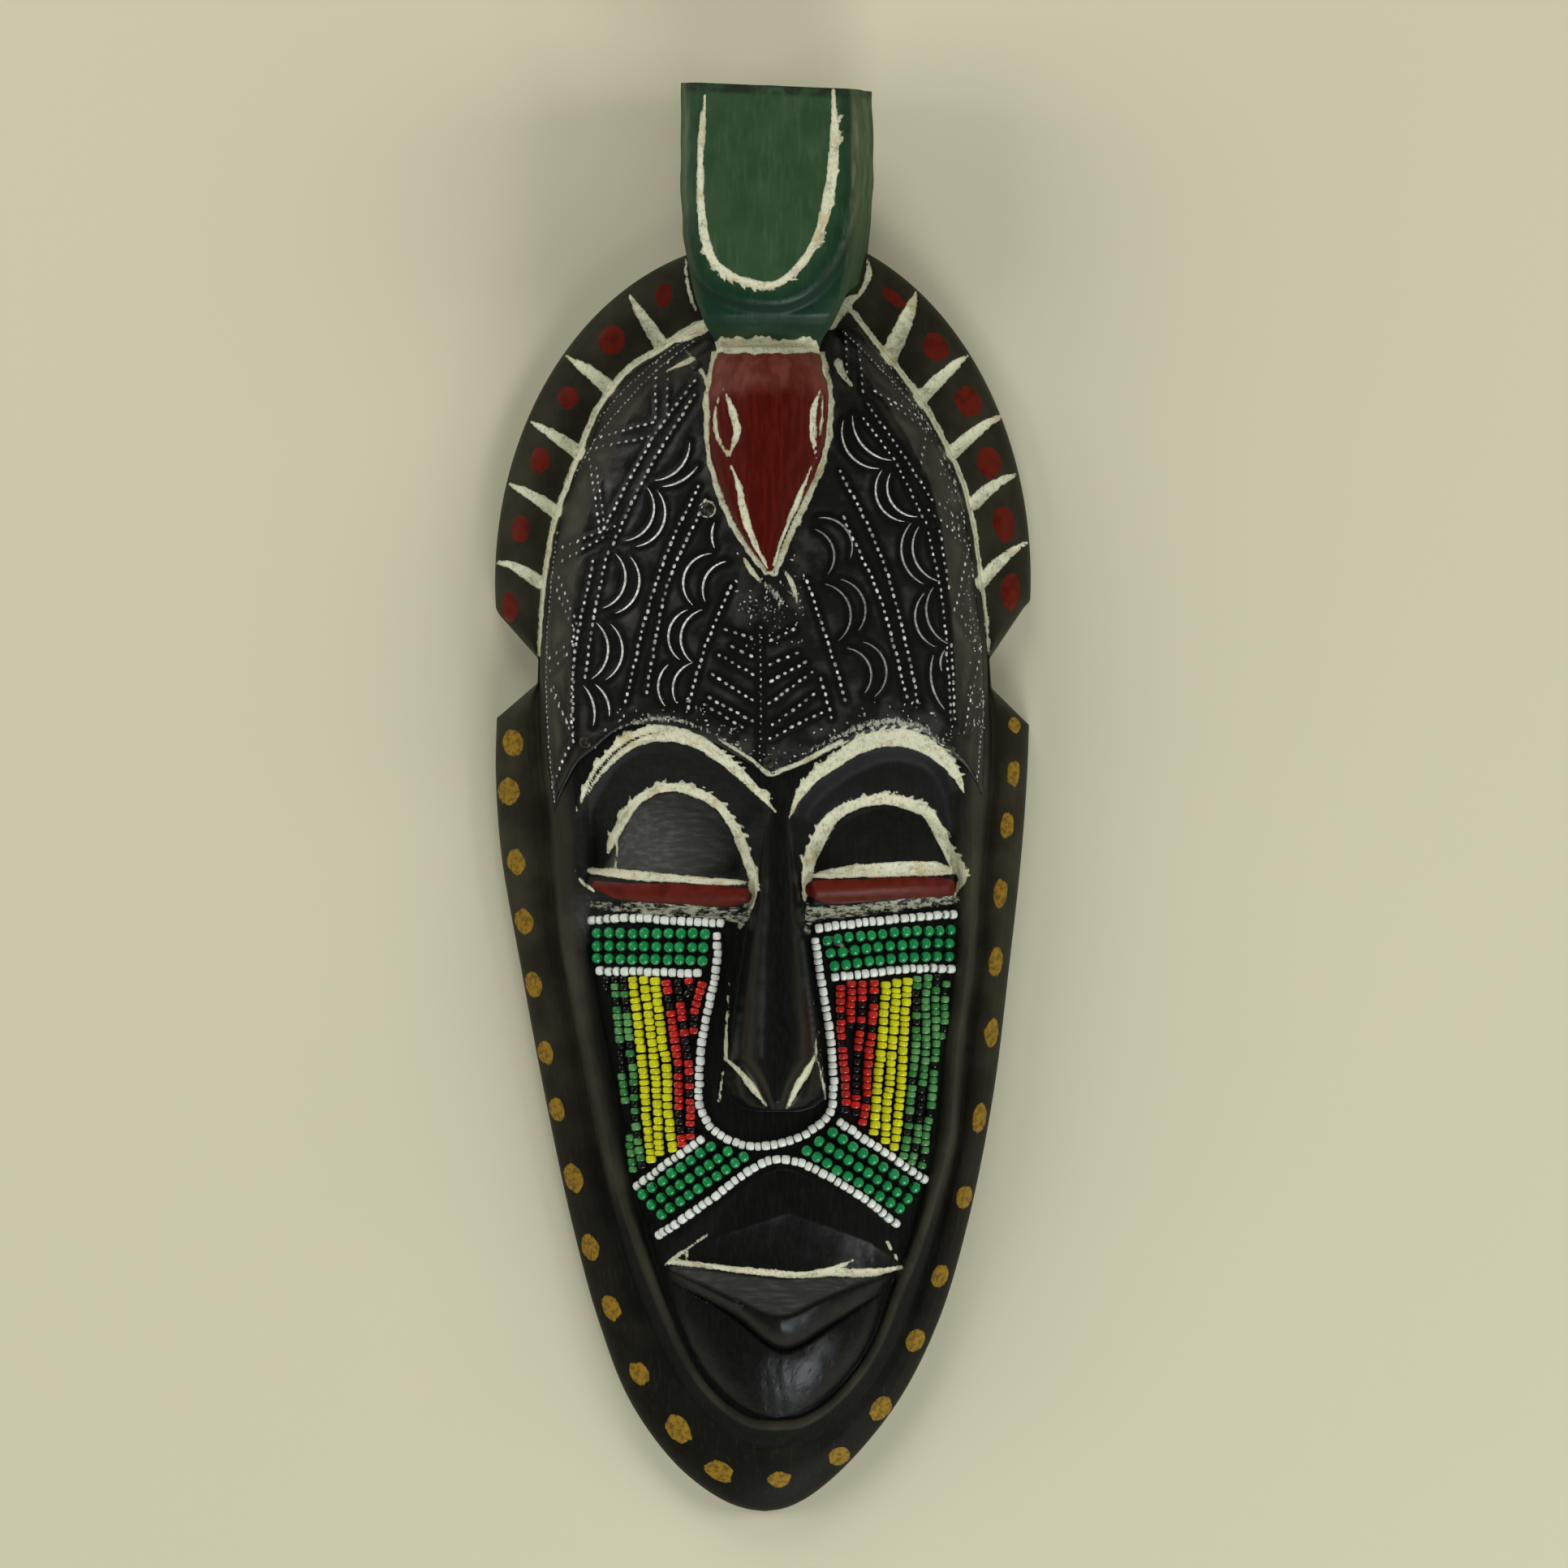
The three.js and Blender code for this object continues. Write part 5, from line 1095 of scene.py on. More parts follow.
# Raised arcs, each through its start, belly and end.
LEFT_ARCS = [
    [(-31.6, 93), (-24.3, 96.5), (-21.4, 104.2)], [(-29.4, 91.2), (-21.9, 94.1), (-19, 97.2)],
    [(-33.8, 90.9), (-31.8, 84.4), (-40.3, 75.4)], [(-30.6, 89.7), (-28.6, 82.4), (-37.1, 73.7)],
    [(-43.1, 71.6), (-40.2, 63.6), (-46.8, 55.7)], [(-38.8, 70.7), (-36.2, 62.2), (-43.1, 54.2)],
    [(-48.7, 51.4), (-45.2, 43.9), (-50.1, 35)], [(-44.5, 51), (-41, 43.4), (-45.9, 34.8)],
    [(-52.5, 33.1), (-49.4, 27), (-49.6, 21.4)], [(-49, 33.4), (-45.2, 27.9), (-44.9, 24)],
    [(-14.1, 80.7), (-14.9, 77.1), (-14.1, 73.2)], [(-14.9, 71.6), (-22.9, 65.5), (-20.5, 56.6)],
    [(-10.7, 69.3), (-16.8, 64.6), (-16.8, 57.5)], [(-21.9, 55.2), (-27.6, 47.7), (-24.3, 40.6)],
    [(-17.7, 55.2), (-23.8, 48.6), (-20.5, 39.7)], [(-27.6, 39.2), (-30.6, 32.6), (-28.5, 27)],
    [(-20.5, 39.7), (-25.9, 34.5), (-25.2, 27.9)],
]
RIGHT_ARCS = [
    [(16.1, 82), (25, 77.7), (25.5, 70.2)], [(15.2, 78.7), (20.4, 73.5), (18.9, 65.5)],
    [(18, 62.7), (25.3, 56.1), (22.2, 46.3)], [(22.7, 64.1), (29.9, 56.1), (27.9, 49.1)],
    [(24.6, 43.9), (31.2, 38.7), (29.7, 30.8)], [(29.3, 45.8), (35.7, 39.7), (32.6, 29.8)],
    [(23.6, 110.6), (24.6, 101.7), (34, 96.5)], [(26.2, 112), (29.3, 103.1), (37.7, 98.9)],
    [(34.9, 96.1), (33.5, 87.1), (41.5, 81)], [(37.3, 95.1), (37.3, 87.1), (45.2, 82.4)],
    [(43.4, 80.6), (40.6, 71.2), (47.1, 62.7)], [(45.7, 79.6), (44.3, 70.2), (51.4, 63.6)],
    [(47.1, 59.9), (44.5, 52.4), (50.4, 44.4)], [(49.9, 61.8), (48.1, 52.4), (54.2, 45.3)],
    [(49.9, 42), (49.2, 34.5), (53.2, 26.1)], [(53.2, 43.5), (52, 40.8), (52.3, 37.3)],
]
# How each group of rows is punched: radius, height, brightness (rubbed silver and a painted highlight) and
# spacing.
PUNCHES = ((BORDER_ROWS, 0.36, 0.32, 0.6, 0.62), (FINE_ROWS, 0.42, 0.38, 1, 0.86),
           (LONG_ROWS, 0.5, 0.45, 1, 0.86), (CHEVRON_ROWS, 0.48, 0.44, 1, 0.86),
           ([SEAM], 0.3, 0.28, 0.7, 0.86))
# How bright the raised arcs are: rubbed silver and a painted highlight, brightest on the arcs that catch the
# light.
ARC_SHINES = ((LEFT_ARCS, 1), (RIGHT_ARCS[:6], 0.4), (RIGHT_ARCS[6:10], 1), (RIGHT_ARCS[10:], 0.55))
# Scattered flecks: how many above the brows, between them and along the right border, and their height.
BROW_FLECKS, MIDDLE_FLECKS, BORDER_FLECKS = 170, 90, 170
FLECK_HEIGHT = 0.3
# Cream paint on the sheet: along its lower edge between the brows, beside the block, and under the beak.
SHEET_PAINT = [
    [(-13, 17.4, 0.5), (-8, 14.4, 1.1), (-2.5, 10.8, 1), (2, 7.2, 1.5), (6.5, 8.7, 1.2), (12, 10.9, 1.4),
     (18, 14.2, 1.5), (23, 16.8, 1.2)],
    [(22, 127.4, 2.6), (23.4, 124, 2), (26, 121, 0.8)],
    [(-20.6, 128.6, 1.8), (-24.6, 126.8, 1.4), (-28, 125.2, 0.5)],
    [(-22.4, 131, 0.6), (-19.4, 127.4, 1), (-16.6, 122, 1.2), (-15.8, 116, 0.5)],
    [(-5.4, 70, 1), (-3.4, 66.6, 1.6), (-0.8, 63.6, 0.6)],
    [(6.4, 66.4, 1), (8.6, 62.6, 1.5), (10.4, 56.4, 0.4)],
]
# Half rubbed cream paint and bright scratches: under the beak, and along the right border and the brows.
SCUFFS = [
    [(-4.5, 68.5, 2.5), (-0.5, 63.5, 4), (4, 59, 5), (6, 53, 3)], [(6, 64, 3), (9, 60, 4), (9.6, 53, 1.5)],
    [(-5, 60, 1.5), (-3, 55, 2), (1, 53, 2)],
    [(27, 139, 2.4), (36, 128.6, 3), (44.6, 117, 3.2), (51.4, 104, 3.4), (56, 94, 3), (59.4, 80, 2),
     (61, 66, 1)],
    [(22, 134, 2), (22.6, 120, 1.6), (22.5, 110, 1)],
    [(-50, 13, 2), (-44, 19, 3.4), (-36, 22.6, 4.6), (-28, 23.4, 4.6), (-19, 21, 4), (-10, 16, 3),
     (-3, 9, 2)],
    [(8, 9, 2), (14, 14, 3.4), (24, 19, 4.4), (34, 22.4, 5.4), (44, 21.6, 5), (54, 16, 3.4), (61, 8, 1.4)],
]


def ring_of(x, y, radius, width):
    """A painted ring, as a closed stroke."""
    turns = [k * math.pi / 4 for k in range(9)]
    return [(x + radius * math.cos(turn), y + radius * math.sin(turn), width) for turn in turns]


def head_outline(shrink):
    """The parrot's head and block in plan, drawn in by a little, where the sheet is cut away."""
    section = np.array(PARROT_HEAD)
    left = np.stack([section[:, 1] + shrink, section[:, 0]], axis=1)
    right = np.stack([section[:, 2] - shrink, section[:, 0]], axis=1)[::-1]
    return np.vstack([(-14.4 + shrink, 134.6), left, right, (17.4 - shrink, 134.6), (21 - shrink, 140),
                      (-17.5 + shrink, 140)])


def thicken(corners, faces, drop):
    """A thin closed sheet: the given surface, its copy further down and a wall round every edge."""
    faces = np.asarray(faces)
    used = np.unique(faces)
    renumber = np.full(len(corners), -1)
    renumber[used] = np.arange(len(used))
    faces, corners = renumber[faces], corners[used]
    edges = np.concatenate([faces[:, [k, (k + 1) % 4]] for k in range(4)])
    keys = {tuple(edge) for edge in edges.tolist()}
    border = [(a, b) for a, b in keys if (b, a) not in keys]
    count = len(corners)
    under = (faces + count)[:, ::-1]
    walls = [[b, a, a + count, b + count] for a, b in sorted(border)]
    lower = corners - (0, 0, drop)
    return np.vstack([corners, lower]), faces.tolist() + under.tolist() + walls, used


def sheet_grid():
    """Places over the forehead, in columns from the lower edge to the crown."""
    low = curve(SHEET_LOWER_EDGE, 0.4)
    left, right = (curve(SIDES[sign]["foot"], 0.4) for sign in (-1, 1))
    u = np.linspace(0, 1, int(SHEET_SPAN[0] / SHEET_STEP))
    v = np.linspace(0, 1, int(SHEET_SPAN[1] / SHEET_STEP))
    bottom = np.interp(low[0, 0] + (low[-1, 0] - low[0, 0]) * u, low[:, 0], low[:, 1])
    top = SHEET_TOP[0] + (SHEET_TOP[1] - SHEET_TOP[0]) * u
    y = bottom[None, :] + (top - bottom)[None, :] * v[:, None]
    x_left = np.interp(-y, -left[:, 1], left[:, 0]) + SHEET_INSET
    x_right = np.interp(-y, -right[:, 1], right[:, 0]) - SHEET_INSET
    return x_left + (x_right - x_left) * u[None, :], y


def cap(place, normal, rings, sides, top=1.0, heading=(0, 1), radius=1.0, height=1.0, stretch=1.0):
    """A small round cap standing on a slope, stretched along its heading."""
    normal = np.array(normal)
    side = np.cross(normal, (*heading, 0))
    side /= np.linalg.norm(side)
    ahead = np.cross(normal, side)
    angle = np.arange(sides) * 2 * math.pi / sides
    spread = np.cos(angle)[:, None] * side + np.sin(angle)[:, None] * ahead * stretch
    corners = np.vstack([place + spread * radius * share + normal * height * lift for share, lift in rings]
                        + [place + normal * height * top])
    faces = grid_faces(len(rings), sides, wrap=True)
    tip, last = len(corners) - 1, (len(rings) - 1) * sides
    faces += [[last + i, last + (i + 1) % sides, tip] for i in range(sides)]
    return corners, faces + [list(range(sides))[::-1]]


def ridge(path, surface):
    """A raised line that tapers to its ends, as a closed half tube."""
    sections, count = [], len(path)
    for i, (x, y) in enumerate(path):
        before, after = path[max(i - 1, 0)], path[min(i + 1, count - 1)]
        forward = (after - before) / np.linalg.norm(after - before)
        across = np.array([-forward[1], forward[0]])
        swell = max(RIDGE_THINNEST, abs(math.sin(math.pi * i / (count - 1))) ** 0.45)
        z, _ = surface(x, y)
        for share, lift in RIDGE_SECTION:
            spot = np.array([x, y]) + across * share * RIDGE_HALF_WIDTH * swell
            sections.append([*spot, z + lift * RIDGE_HEIGHT * swell])
    return np.array(sections), loft_faces(count, len(RIDGE_SECTION))


def gather(parts):
    """One set of corners and faces out of several, and each corner's part number."""
    corners, faces, owner, start = [], [], [], 0
    for i, (part_corners, part_faces) in enumerate(parts):
        corners.append(part_corners)
        faces += [[int(k) + start for k in face] for face in part_faces]
        owner.append(np.full(len(part_corners), i))
        start += len(part_corners)
    return np.vstack(corners), faces, np.concatenate(owner)


def sheet_cream(x, y):
    """Distance to the cream paint that runs over on to the sheet: round the parrot and along the lower
    edge."""
    away, _ = nearest(closed(head_outline(0)), x, y, 6)
    wide = np.where(x < 2, 1.2, 1.4) + 0.4 * ripple(x, y, 3, 44)
    round_head = np.where(y < 131, away - wide, PAINT_REACH)
    ring = ring_of(*NAILS[1], 2.3, 0.5)
    return np.minimum(round_head, strokes([*SHEET_PAINT, ring, *bristles(BROWS[1], 1, 60, 6)], x, y))


def flecks():
    """Places of the small scattered flecks, closest together near the brows and the right border."""
    low, right = curve(SHEET_LOWER_EDGE, 0.4), curve(SIDES[1]["foot"], 0.4)
    along_brows = random.uniform(-50, 58, BROW_FLECKS)
    between_brows = random.uniform(-8, 12, MIDDLE_FLECKS)
    up_border = random.uniform(18, 128, BORDER_FLECKS)
    return [*((x, float(np.interp(x, low[:, 0], low[:, 1])) + 1.2 + 7.5 * random.uniform() ** 1.6)
              for x in along_brows),
            *((x, 56 + random.normal() * 5.5) for x in between_brows),
            *((float(np.interp(-y, -right[:, 1], right[:, 0])) - 2 - 4.5 * random.uniform() ** 1.5, y)
              for y in up_border)]


def sheet_level(x, y, near, surface):
    """The height of the sheet's upper skin: dented, puffed between its punched lines, pressed down at
    its edge."""
    base = np.array([[surface(px, py)[0] for px, py in zip(line_x, line_y)] for line_x, line_y in zip(x, y)])
    dent = 0.16 * ripple(x, y, 11, 41) + 0.08 * ripple(x, y, 4, 42)
    raised = PUNCH_RISE * np.exp(-(near / 0.9) ** 2) + PUFF * step_up(near, 1.2, 3.8)
    rows, columns = (np.arange(count) for count in x.shape)
    edge = np.minimum(rows[:, None] * SHEET_STEP, 3)
    edge = np.minimum(edge, np.minimum(columns, columns[::-1])[None, :] * SHEET_STEP)
    return base + SHEET_LIFT + dent + raised - EDGE_PRESS * np.clip(1 - edge / EDGE_STRIP, 0, 1)


def sheet_skin(surface):
    """The sheet itself; returns its surface, for what stands on it."""
    x, y = sheet_grid()
    lines = [curve(points, 1) for points in [*BORDER_ROWS, *FINE_ROWS, *LONG_ROWS, *CHEVRON_ROWS, SEAM]]
    arcs = [arc(points, 0.9) for points in [*LEFT_ARCS, *RIGHT_ARCS]]
    near = np.full(x.shape, 4.0)
    for path in [*lines, *arcs]:
        near = np.minimum(near, nearest(path, x, y, 4)[0])
    corners = np.stack([x, y, sheet_level(x, y, near, surface)], axis=-1).reshape(-1, 3)
    faces = np.array(grid_faces(*x.shape))
    middle = corners[faces].mean(axis=1)
    kept = faces[~inside(head_outline(0.7), middle[:, 0], middle[:, 1])]
    thick, all_faces, used = thicken(corners, kept, SHEET_THICKNESS)
    side = np.minimum(x - x[:, :1], x[:, -1:] - x)
    olive = np.maximum(1 - step_up(side, 6, 15), step_up(y, 98, 112) * step_up(np.abs(x - 1), 24, 34))
    layers = {"near": near, "olive": olive, "cream": sheet_cream(x, y), "scuff": -strokes(SCUFFS, x, y)}
    piece("forehead_sheet", thick, all_faces, [dark_metal()], ["forehead_plate"],
          {key: np.tile(layer.ravel()[used], 2) for key, layer in layers.items()})
    return surface_of(corners, kept.tolist())


def punched_rows(surface):
    """A dome for each punched dot, a little uneven in place, size and brightness."""
    parts, bright = [], []
    for group, radius, height, shine, spacing in PUNCHES:
        for path in (curve(points, 0.5) for points in group):
            run = along(path)[-1]
            for at in np.linspace(0, run, max(2, round(run / (DOT_PITCH * spacing)))):
                here, ahead = at_length(path, [at, at + (0.5 if at < run - 0.6 else -0.5)])
                place = here + random.uniform(-0.18, 0.18, 2)
                level, normal = surface(*place)
                if level == 0:
                    continue
                parts.append(cap(np.array([*place, level]), normal, DOME_RINGS, DOME_SIDES,
                                 heading=(ahead - here) / np.linalg.norm(ahead - here),
                                 radius=radius * random.uniform(0.8, 1.15),
                                 height=height * random.uniform(0.8, 1.1),
                                 stretch=random.uniform(1.15, 1.6)))
                bright.append(shine * random.uniform(0.3, 1))
    return parts, bright


def scattered_flecks(surface):
    """A small stretched dome for each fleck that lies on the sheet."""
    parts, bright = [], []
    for place in flecks():
        level, normal = surface(*place)
        if level:
            heading = (math.cos(7 * place[0]), math.sin(7 * place[0]))
            parts.append(cap(np.array([*place, level]), normal, DOME_RINGS, FLECK_SIDES, heading=heading,
                             radius=random.uniform(0.16, 0.36), height=FLECK_HEIGHT,
                             stretch=random.uniform(1, 2.2)))
            bright.append(random.uniform(0.1, 0.8))
    return parts, bright


def raised_arcs(surface):
    """A ridge for each raised arc."""
    shines = [(points, shine) for group, shine in ARC_SHINES for points in group]
    return ([ridge(arc(points), surface) for points, _ in shines],
            [shine * random.uniform(0.75, 1) for _, shine in shines])


def sheet_pieces(bare):
    """The sheet, its punched dots and raised arcs, and the nails that hold it."""
    surface = sheet_skin(bare)
    groups = [make(surface) for make in (punched_rows, scattered_flecks, raised_arcs)]
    corners, faces, owner = gather([part for parts, _ in groups for part in parts])
    bright = np.array([share for _, shares in groups for share in shares])
    piece("sheet_relief", corners, faces, [bright_metal()],
          attributes={"bright": bright[owner]})
    for i, place in enumerate(NAILS):
        level, normal = surface(*place)
        corners, faces = cap(np.array([*place, level]), normal, NAIL_RINGS, NAIL_SIDES, NAIL_TOP)
        piece(f"nail_{i + 1}", corners, faces, [nail_metal()], [f"plate_nail_{i + 1}"])


# The beads. A shape is a ring's section: places along the hole and distances from it, as shares.

BARREL = [(-0.36, 0.17), (-0.5, 0.28), (-0.44, 0.42), (-0.24, 0.5), (0.24, 0.5), (0.44, 0.42), (0.5, 0.28),
          (0.36, 0.17)]
ROUND = [(-0.38, 0.14), (-0.46, 0.2), (-0.4, 0.31), (-0.28, 0.415), (-0.13, 0.483), (0.13, 0.483),
         (0.28, 0.415), (0.4, 0.31), (0.46, 0.2), (0.38, 0.14)]
WHITE = {"size": 2.6, "pitch": 2.3, "vary": 0.24, "shape": BARREL, "slot": "bead_white"}
GREEN = {"size": 3.3, "pitch": 3.35, "vary": 0.02, "shape": ROUND, "slot": "bead_green"}
YELLOW = {"size": 2.95, "pitch": 2.15, "vary": 0.26, "shape": BARREL, "slot": "bead_yellow"}
RED = {"size": 2.8, "pitch": 2.12, "vary": 0.16, "shape": BARREL, "slot": "bead_red"}
LEAF = {"size": 2.75, "pitch": 2.2, "vary": 0.14, "shape": BARREL, "slot": "bead_leaf"}


def three_rows(name, first, last):
    """Green strands evenly placed from a first path to a last one."""
    first, last = np.array(first), np.array(last)
    return [(f"{name}_{i + 1}", GREEN, first + (last - first) * i / 2) for i in range(3)]


# Strand paths on the cheeks, with the stretches (from, to) down the mask where the beads are black.
STRANDS = [
    ("bead_white_top_left", WHITE, [(-49.7, -35.7), (-39.7, -34.9), (-26, -35.6), (-12.4, -36.4)]),
    ("bead_white_top_right", WHITE, [(16.2, -37.8), (28, -36.4), (42, -34.8), (55, -33.7)]),
    ("bead_white_middle_left", WHITE, [(-47, -50.4), (-33, -50.6), (-18.8, -51.1)]),
    ("bead_white_middle_right", WHITE, [(20.9, -52.2), (38, -50.2), (45, -49.6), (54.6, -49.7)]),
    ("bead_white_nose", WHITE, [(-13.3, -40.2), (-13.4, -48.2), (-15.4, -59.2), (-17.8, -71.3),
                                (-18.3, -80.3), (-18.3, -89.6), (-14, -97.2), (-4.3, -101.5), (5.5, -100.7),
                                (13.8, -97.2), (18.8, -93.2), (20.5, -86), (20.3, -77.5), (19, -65.1),
                                (16.9, -53), (15.2, -41.5)]),
    ("bead_white_upper_lip", WHITE, [(-29.9, -127.6), (-22.3, -122.4), (-13.1, -115.7), (-4.3, -109),
                                     (0.7, -106.3), (5.7, -105.5), (10.7, -106.4), (15.7, -108.6),
                                     (22.6, -112.6), (30.4, -117.6), (38.5, -124.3)]),
    ("bead_white_cheek_left", WHITE, [(-18, -99.8), (-27, -106.2), (-36.1, -113.1)]),
    ("bead_white_cheek_right", WHITE, [(22.4, -94.6), (34, -102.6), (46.6, -111.2)]),
    *three_rows("bead_green_eye_left", [(-48, -39.3), (-16.8, -39.5)], [(-47.8, -46.7), (-17.4, -47.3)]),
    *three_rows("bead_green_eye_right", [(18.7, -41.4), (35.2, -39.3), (54.3, -38.3)],
                [(20.8, -49), (37.7, -46.7), (53.7, -46)]),
    *three_rows("bead_green_cheek_left", [(-15, -101.6), (-34.5, -115.6)],
                [(-5.5, -104.8), (-29, -121.4)]),
    *three_rows("bead_green_cheek_right", [(20.2, -97.6), (43.6, -113.6)],
                [(12.6, -102.8), (39.4, -119.8)]),
    ("bead_leaf_left_1", LEAF, [(-43, -52.9), (-42.2, -62), (-41.4, -71), (-41, -78.4), (-39.9, -86),
                                (-39.2, -92), (-38.3, -98), (-38.1, -102.8), (-37.5, -108.2)],
     ((-51.5, -54), (-58.9, -60.5), (-66, -67.5), (-72.2, -79.2))),
    ("bead_leaf_left_2", LEAF, [(-40.4, -52.6), (-39.2, -64), (-38.5, -71), (-38, -76), (-37.3, -82),
                                (-37, -91), (-36.2, -98), (-35.2, -105), (-34.7, -107.4)],
     ((-51.5, -55.9), (-58.3, -62), (-70, -71.9), (-76.3, -78.3), (-84.5, -86.5), (-88.7, -90.7),
      (-92.7, -94.7), (-96.9, -98.9), (-106.4, -108.6))),
    ("bead_yellow_left_1", YELLOW, [(-37.6, -52.9), (-36, -66.1), (-34.8, -77), (-34, -86), (-33.5, -94),
                                    (-32.1, -105.6)]),
    ("bead_yellow_left_2", YELLOW, [(-34.4, -52.9), (-32.4, -67.5), (-31.3, -77.9), (-30.6, -86.6),
                                    (-30.3, -93.6), (-29.6, -103.5)]),
    ("bead_yellow_left_3", YELLOW, [(-31.2, -53.1), (-29.3, -68.8), (-27.8, -78.4), (-27.3, -90),
                                    (-26, -102.6)]),
    ("bead_red_left_1", RED, [(-27.9, -53.9), (-26.3, -65), (-24.7, -76), (-24.3, -85.2), (-24.2, -92),
                              (-23.4, -101)],
     ((-57.6, -61.8), (-77.3, -79.3), (-81.6, -83.5), (-91.6, -97.4))),
    ("bead_red_left_2", RED, [(-24.8, -53.8), (-23.9, -60.2), (-22.8, -68), (-21.6, -78.4), (-21.1, -86),
                              (-20.8, -98.8)],
     ((-53, -58.9), (-65, -66.4), (-69.3, -76.9), (-80.7, -82.3), (-84.4, -86.4), (-95.2, -97.4))),
    ("bead_red_left_3", RED, [(-17.8, -54.2), (-18.8, -58), (-19.8, -62.2), (-20.2, -67.8)],
     ((-63.6, -66.9),)),
    ("loose_red_left", RED, [(-21.6, -53.2), (-21, -55.4), (-22.2, -57.4)], ((-54.4, -59),)),
    ("loose_leaf_left", LEAF, [(-45.3, -53), (-45.8, -55.2)], ((-52, -57),)),
    ("bead_red_right_1", RED, [(22.4, -55.4), (22.7, -67.5), (23.2, -74.8), (24, -83.8), (24, -91)],
     ((-61.6, -63.8), (-71.2, -72.8), (-90, -92))),
    ("bead_red_right_2", RED, [(25.8, -54.2), (25.4, -66.4)], ((-65, -67),)),
    ("bead_red_right_3", RED, [(29, -54.1), (28.6, -64.8), (27.7, -71.3), (27.1, -80.7), (26.9, -92)],
     ((-59.8, -63), (-66.4, -68.4), (-73.6, -87), (-90.2, -93))),
    ("bead_red_right_4", RED, [(32.2, -54), (31.8, -65.2), (30.7, -73.4), (30.3, -81.6), (30, -88.8),
                               (28.9, -94.6)], ((-57, -59.2), (-66.6, -68.6), (-87.8, -89.8))),
    ("bead_yellow_right_1", YELLOW, [(35.6, -54.2), (35, -64.8), (34.4, -72), (33.4, -82.3), (32.2, -97.4)]),
    ("bead_yellow_right_2", YELLOW, [(38.7, -53.6), (38.1, -63.4), (37.5, -72.7), (36.8, -81.3),
                                     (35.9, -90.2), (35.4, -100)]),
    ("bead_yellow_right_3", YELLOW, [(41.8, -53.2), (41.2, -62), (40.6, -72), (39.7, -86.1),
                                     (38.1, -101.8)]),
    ("bead_leaf_right_1", LEAF, [(44.6, -52.7), (44.3, -63), (44.2, -73), (43.4, -80.5), (42.7, -89),
                                 (42, -96.2), (40.8, -104.3)],
     ((-56.4, -62.1), (-64.3, -67.5), (-81.9, -84), (-93.2, -95.2), (-97.1, -99))),
    ("bead_leaf_right_2", LEAF, [(47.8, -52.2), (47.1, -58), (47.2, -68), (47, -75.3), (46.2, -82.4),
                                 (45.6, -89), (44.6, -97.5), (44.4, -100.6), (42.9, -106.1)],
     ((-83.6, -94.2), (-101.3, -103.4))),
    ("bead_leaf_right_3", LEAF, [(50.4, -52.2), (50, -58), (50.1, -68), (49.8, -76.6), (48.9, -86),
                                 (48.1, -93), (46.9, -99.2), (46.8, -103), (45.8, -107.2)],
     ((-51.2, -54.8), (-77.9, -79.9), (-91.4, -93.4), (-103, -106.2))),
    ("bead_leaf_right_4", LEAF, [(53, -54.1), (52.5, -60.4), (52.6, -64.8), (52.9, -69.6)],
     ((-55.3, -57.1), (-66, -68.7))),
]
# Where a strand has lost its beads, from and to down the mask.
GAPS = {"bead_leaf_left_1": (-89.4, -97)}
NO_GAP = (0, 1)
BEAD_SIDES = 14
# The wood is this share of a bead's size below its middle, and a bead fills this share of its place.
SEAT = 0.4
BEAD_FILL = 0.93
# Black beads are smaller by these shares.
BLACK_SIZE, BLACK_LENGTH = 0.84, 0.9
# How far a bead lies off its path, in millimetres, and how unevenly it is turned.
BEAD_STRAY, BEAD_TILT = 0.14, 0.07


def bead(centre, axis, normal, size, length, shape):
    """One pierced bead, its hole along the strand."""
    side = np.cross(axis, normal)
    side /= np.linalg.norm(side)
    up = np.cross(side, axis)
    angle = np.arange(BEAD_SIDES) * 2 * math.pi / BEAD_SIDES
    spread = np.cos(angle)[:, None] * side + np.sin(angle)[:, None] * up
    rings = [centre + axis * place * length + spread * radius * size for place, radius in shape]
    return np.vstack(rings), grid_faces(len(shape), BEAD_SIDES, wrap=True, wrap_rows=True)


def strand(surface, name, kind, points, dark=()):
    """A row of beads seated on the cheek along a path."""
    path = curve(points, 0.3)
    run = along(path)[-1]
    count = round(run / kind["pitch"]) + 1
    shares = random.uniform(1 - kind["vary"], 1 + kind["vary"], count)
    ends = np.append(0, np.cumsum(shares)) / shares.sum() * (run + kind["pitch"]) - kind["pitch"] / 2
    gap_start, gap_end = GAPS.get(name, NO_GAP)
    parts, tones, black = [], [], []
    for start, end in zip(ends[:-1], ends[1:]):
        at = min(max((start + end) / 2, 0), run)
        here = at_length(path, [at])[0] + random.uniform(-BEAD_STRAY, BEAD_STRAY, 2)
        before, after = at_length(path, [max(at - 1, 0), min(at + 1, run)])
        (z, normal), (z_before, _), (z_after, _) = (surface(*p) for p in (here, before, after))
        axis = np.array([*(after - before), z_after - z_before])
        axis /= np.linalg.norm(axis)
        if gap_end < here[1] < gap_start:
            continue
        is_black = any(low <= here[1] <= high for high, low in dark)
        size = kind["size"] * random.uniform(0.94, 1.05) * (BLACK_SIZE if is_black else 1)
        centre = np.array([*here, z]) + np.array(normal) * size * SEAT
        axis = axis + random.uniform(-BEAD_TILT, BEAD_TILT, 3)
        axis /= np.linalg.norm(axis)
        length = (end - start) * BEAD_FILL * (BLACK_LENGTH if is_black else 1)
        parts.append(bead(centre, axis, np.array(normal), size, length, kind["shape"]))
        tones.append(random.uniform(0, 1))
        black.append(is_black)
    corners, faces, owner = gather(parts)
    materials = [bead_glass(kind["slot"])] + ([bead_glass("bead_black")] if any(black) else [])
    piece(name + "_beads", corners, faces, materials,
          [name] if name.startswith("bead_") else [], {"tone": np.array(tones)[owner]},
          np.repeat(np.array(black, int), len(parts[0][1])))


# Materials. Paired colours are the two tones that a surface is mottled with.

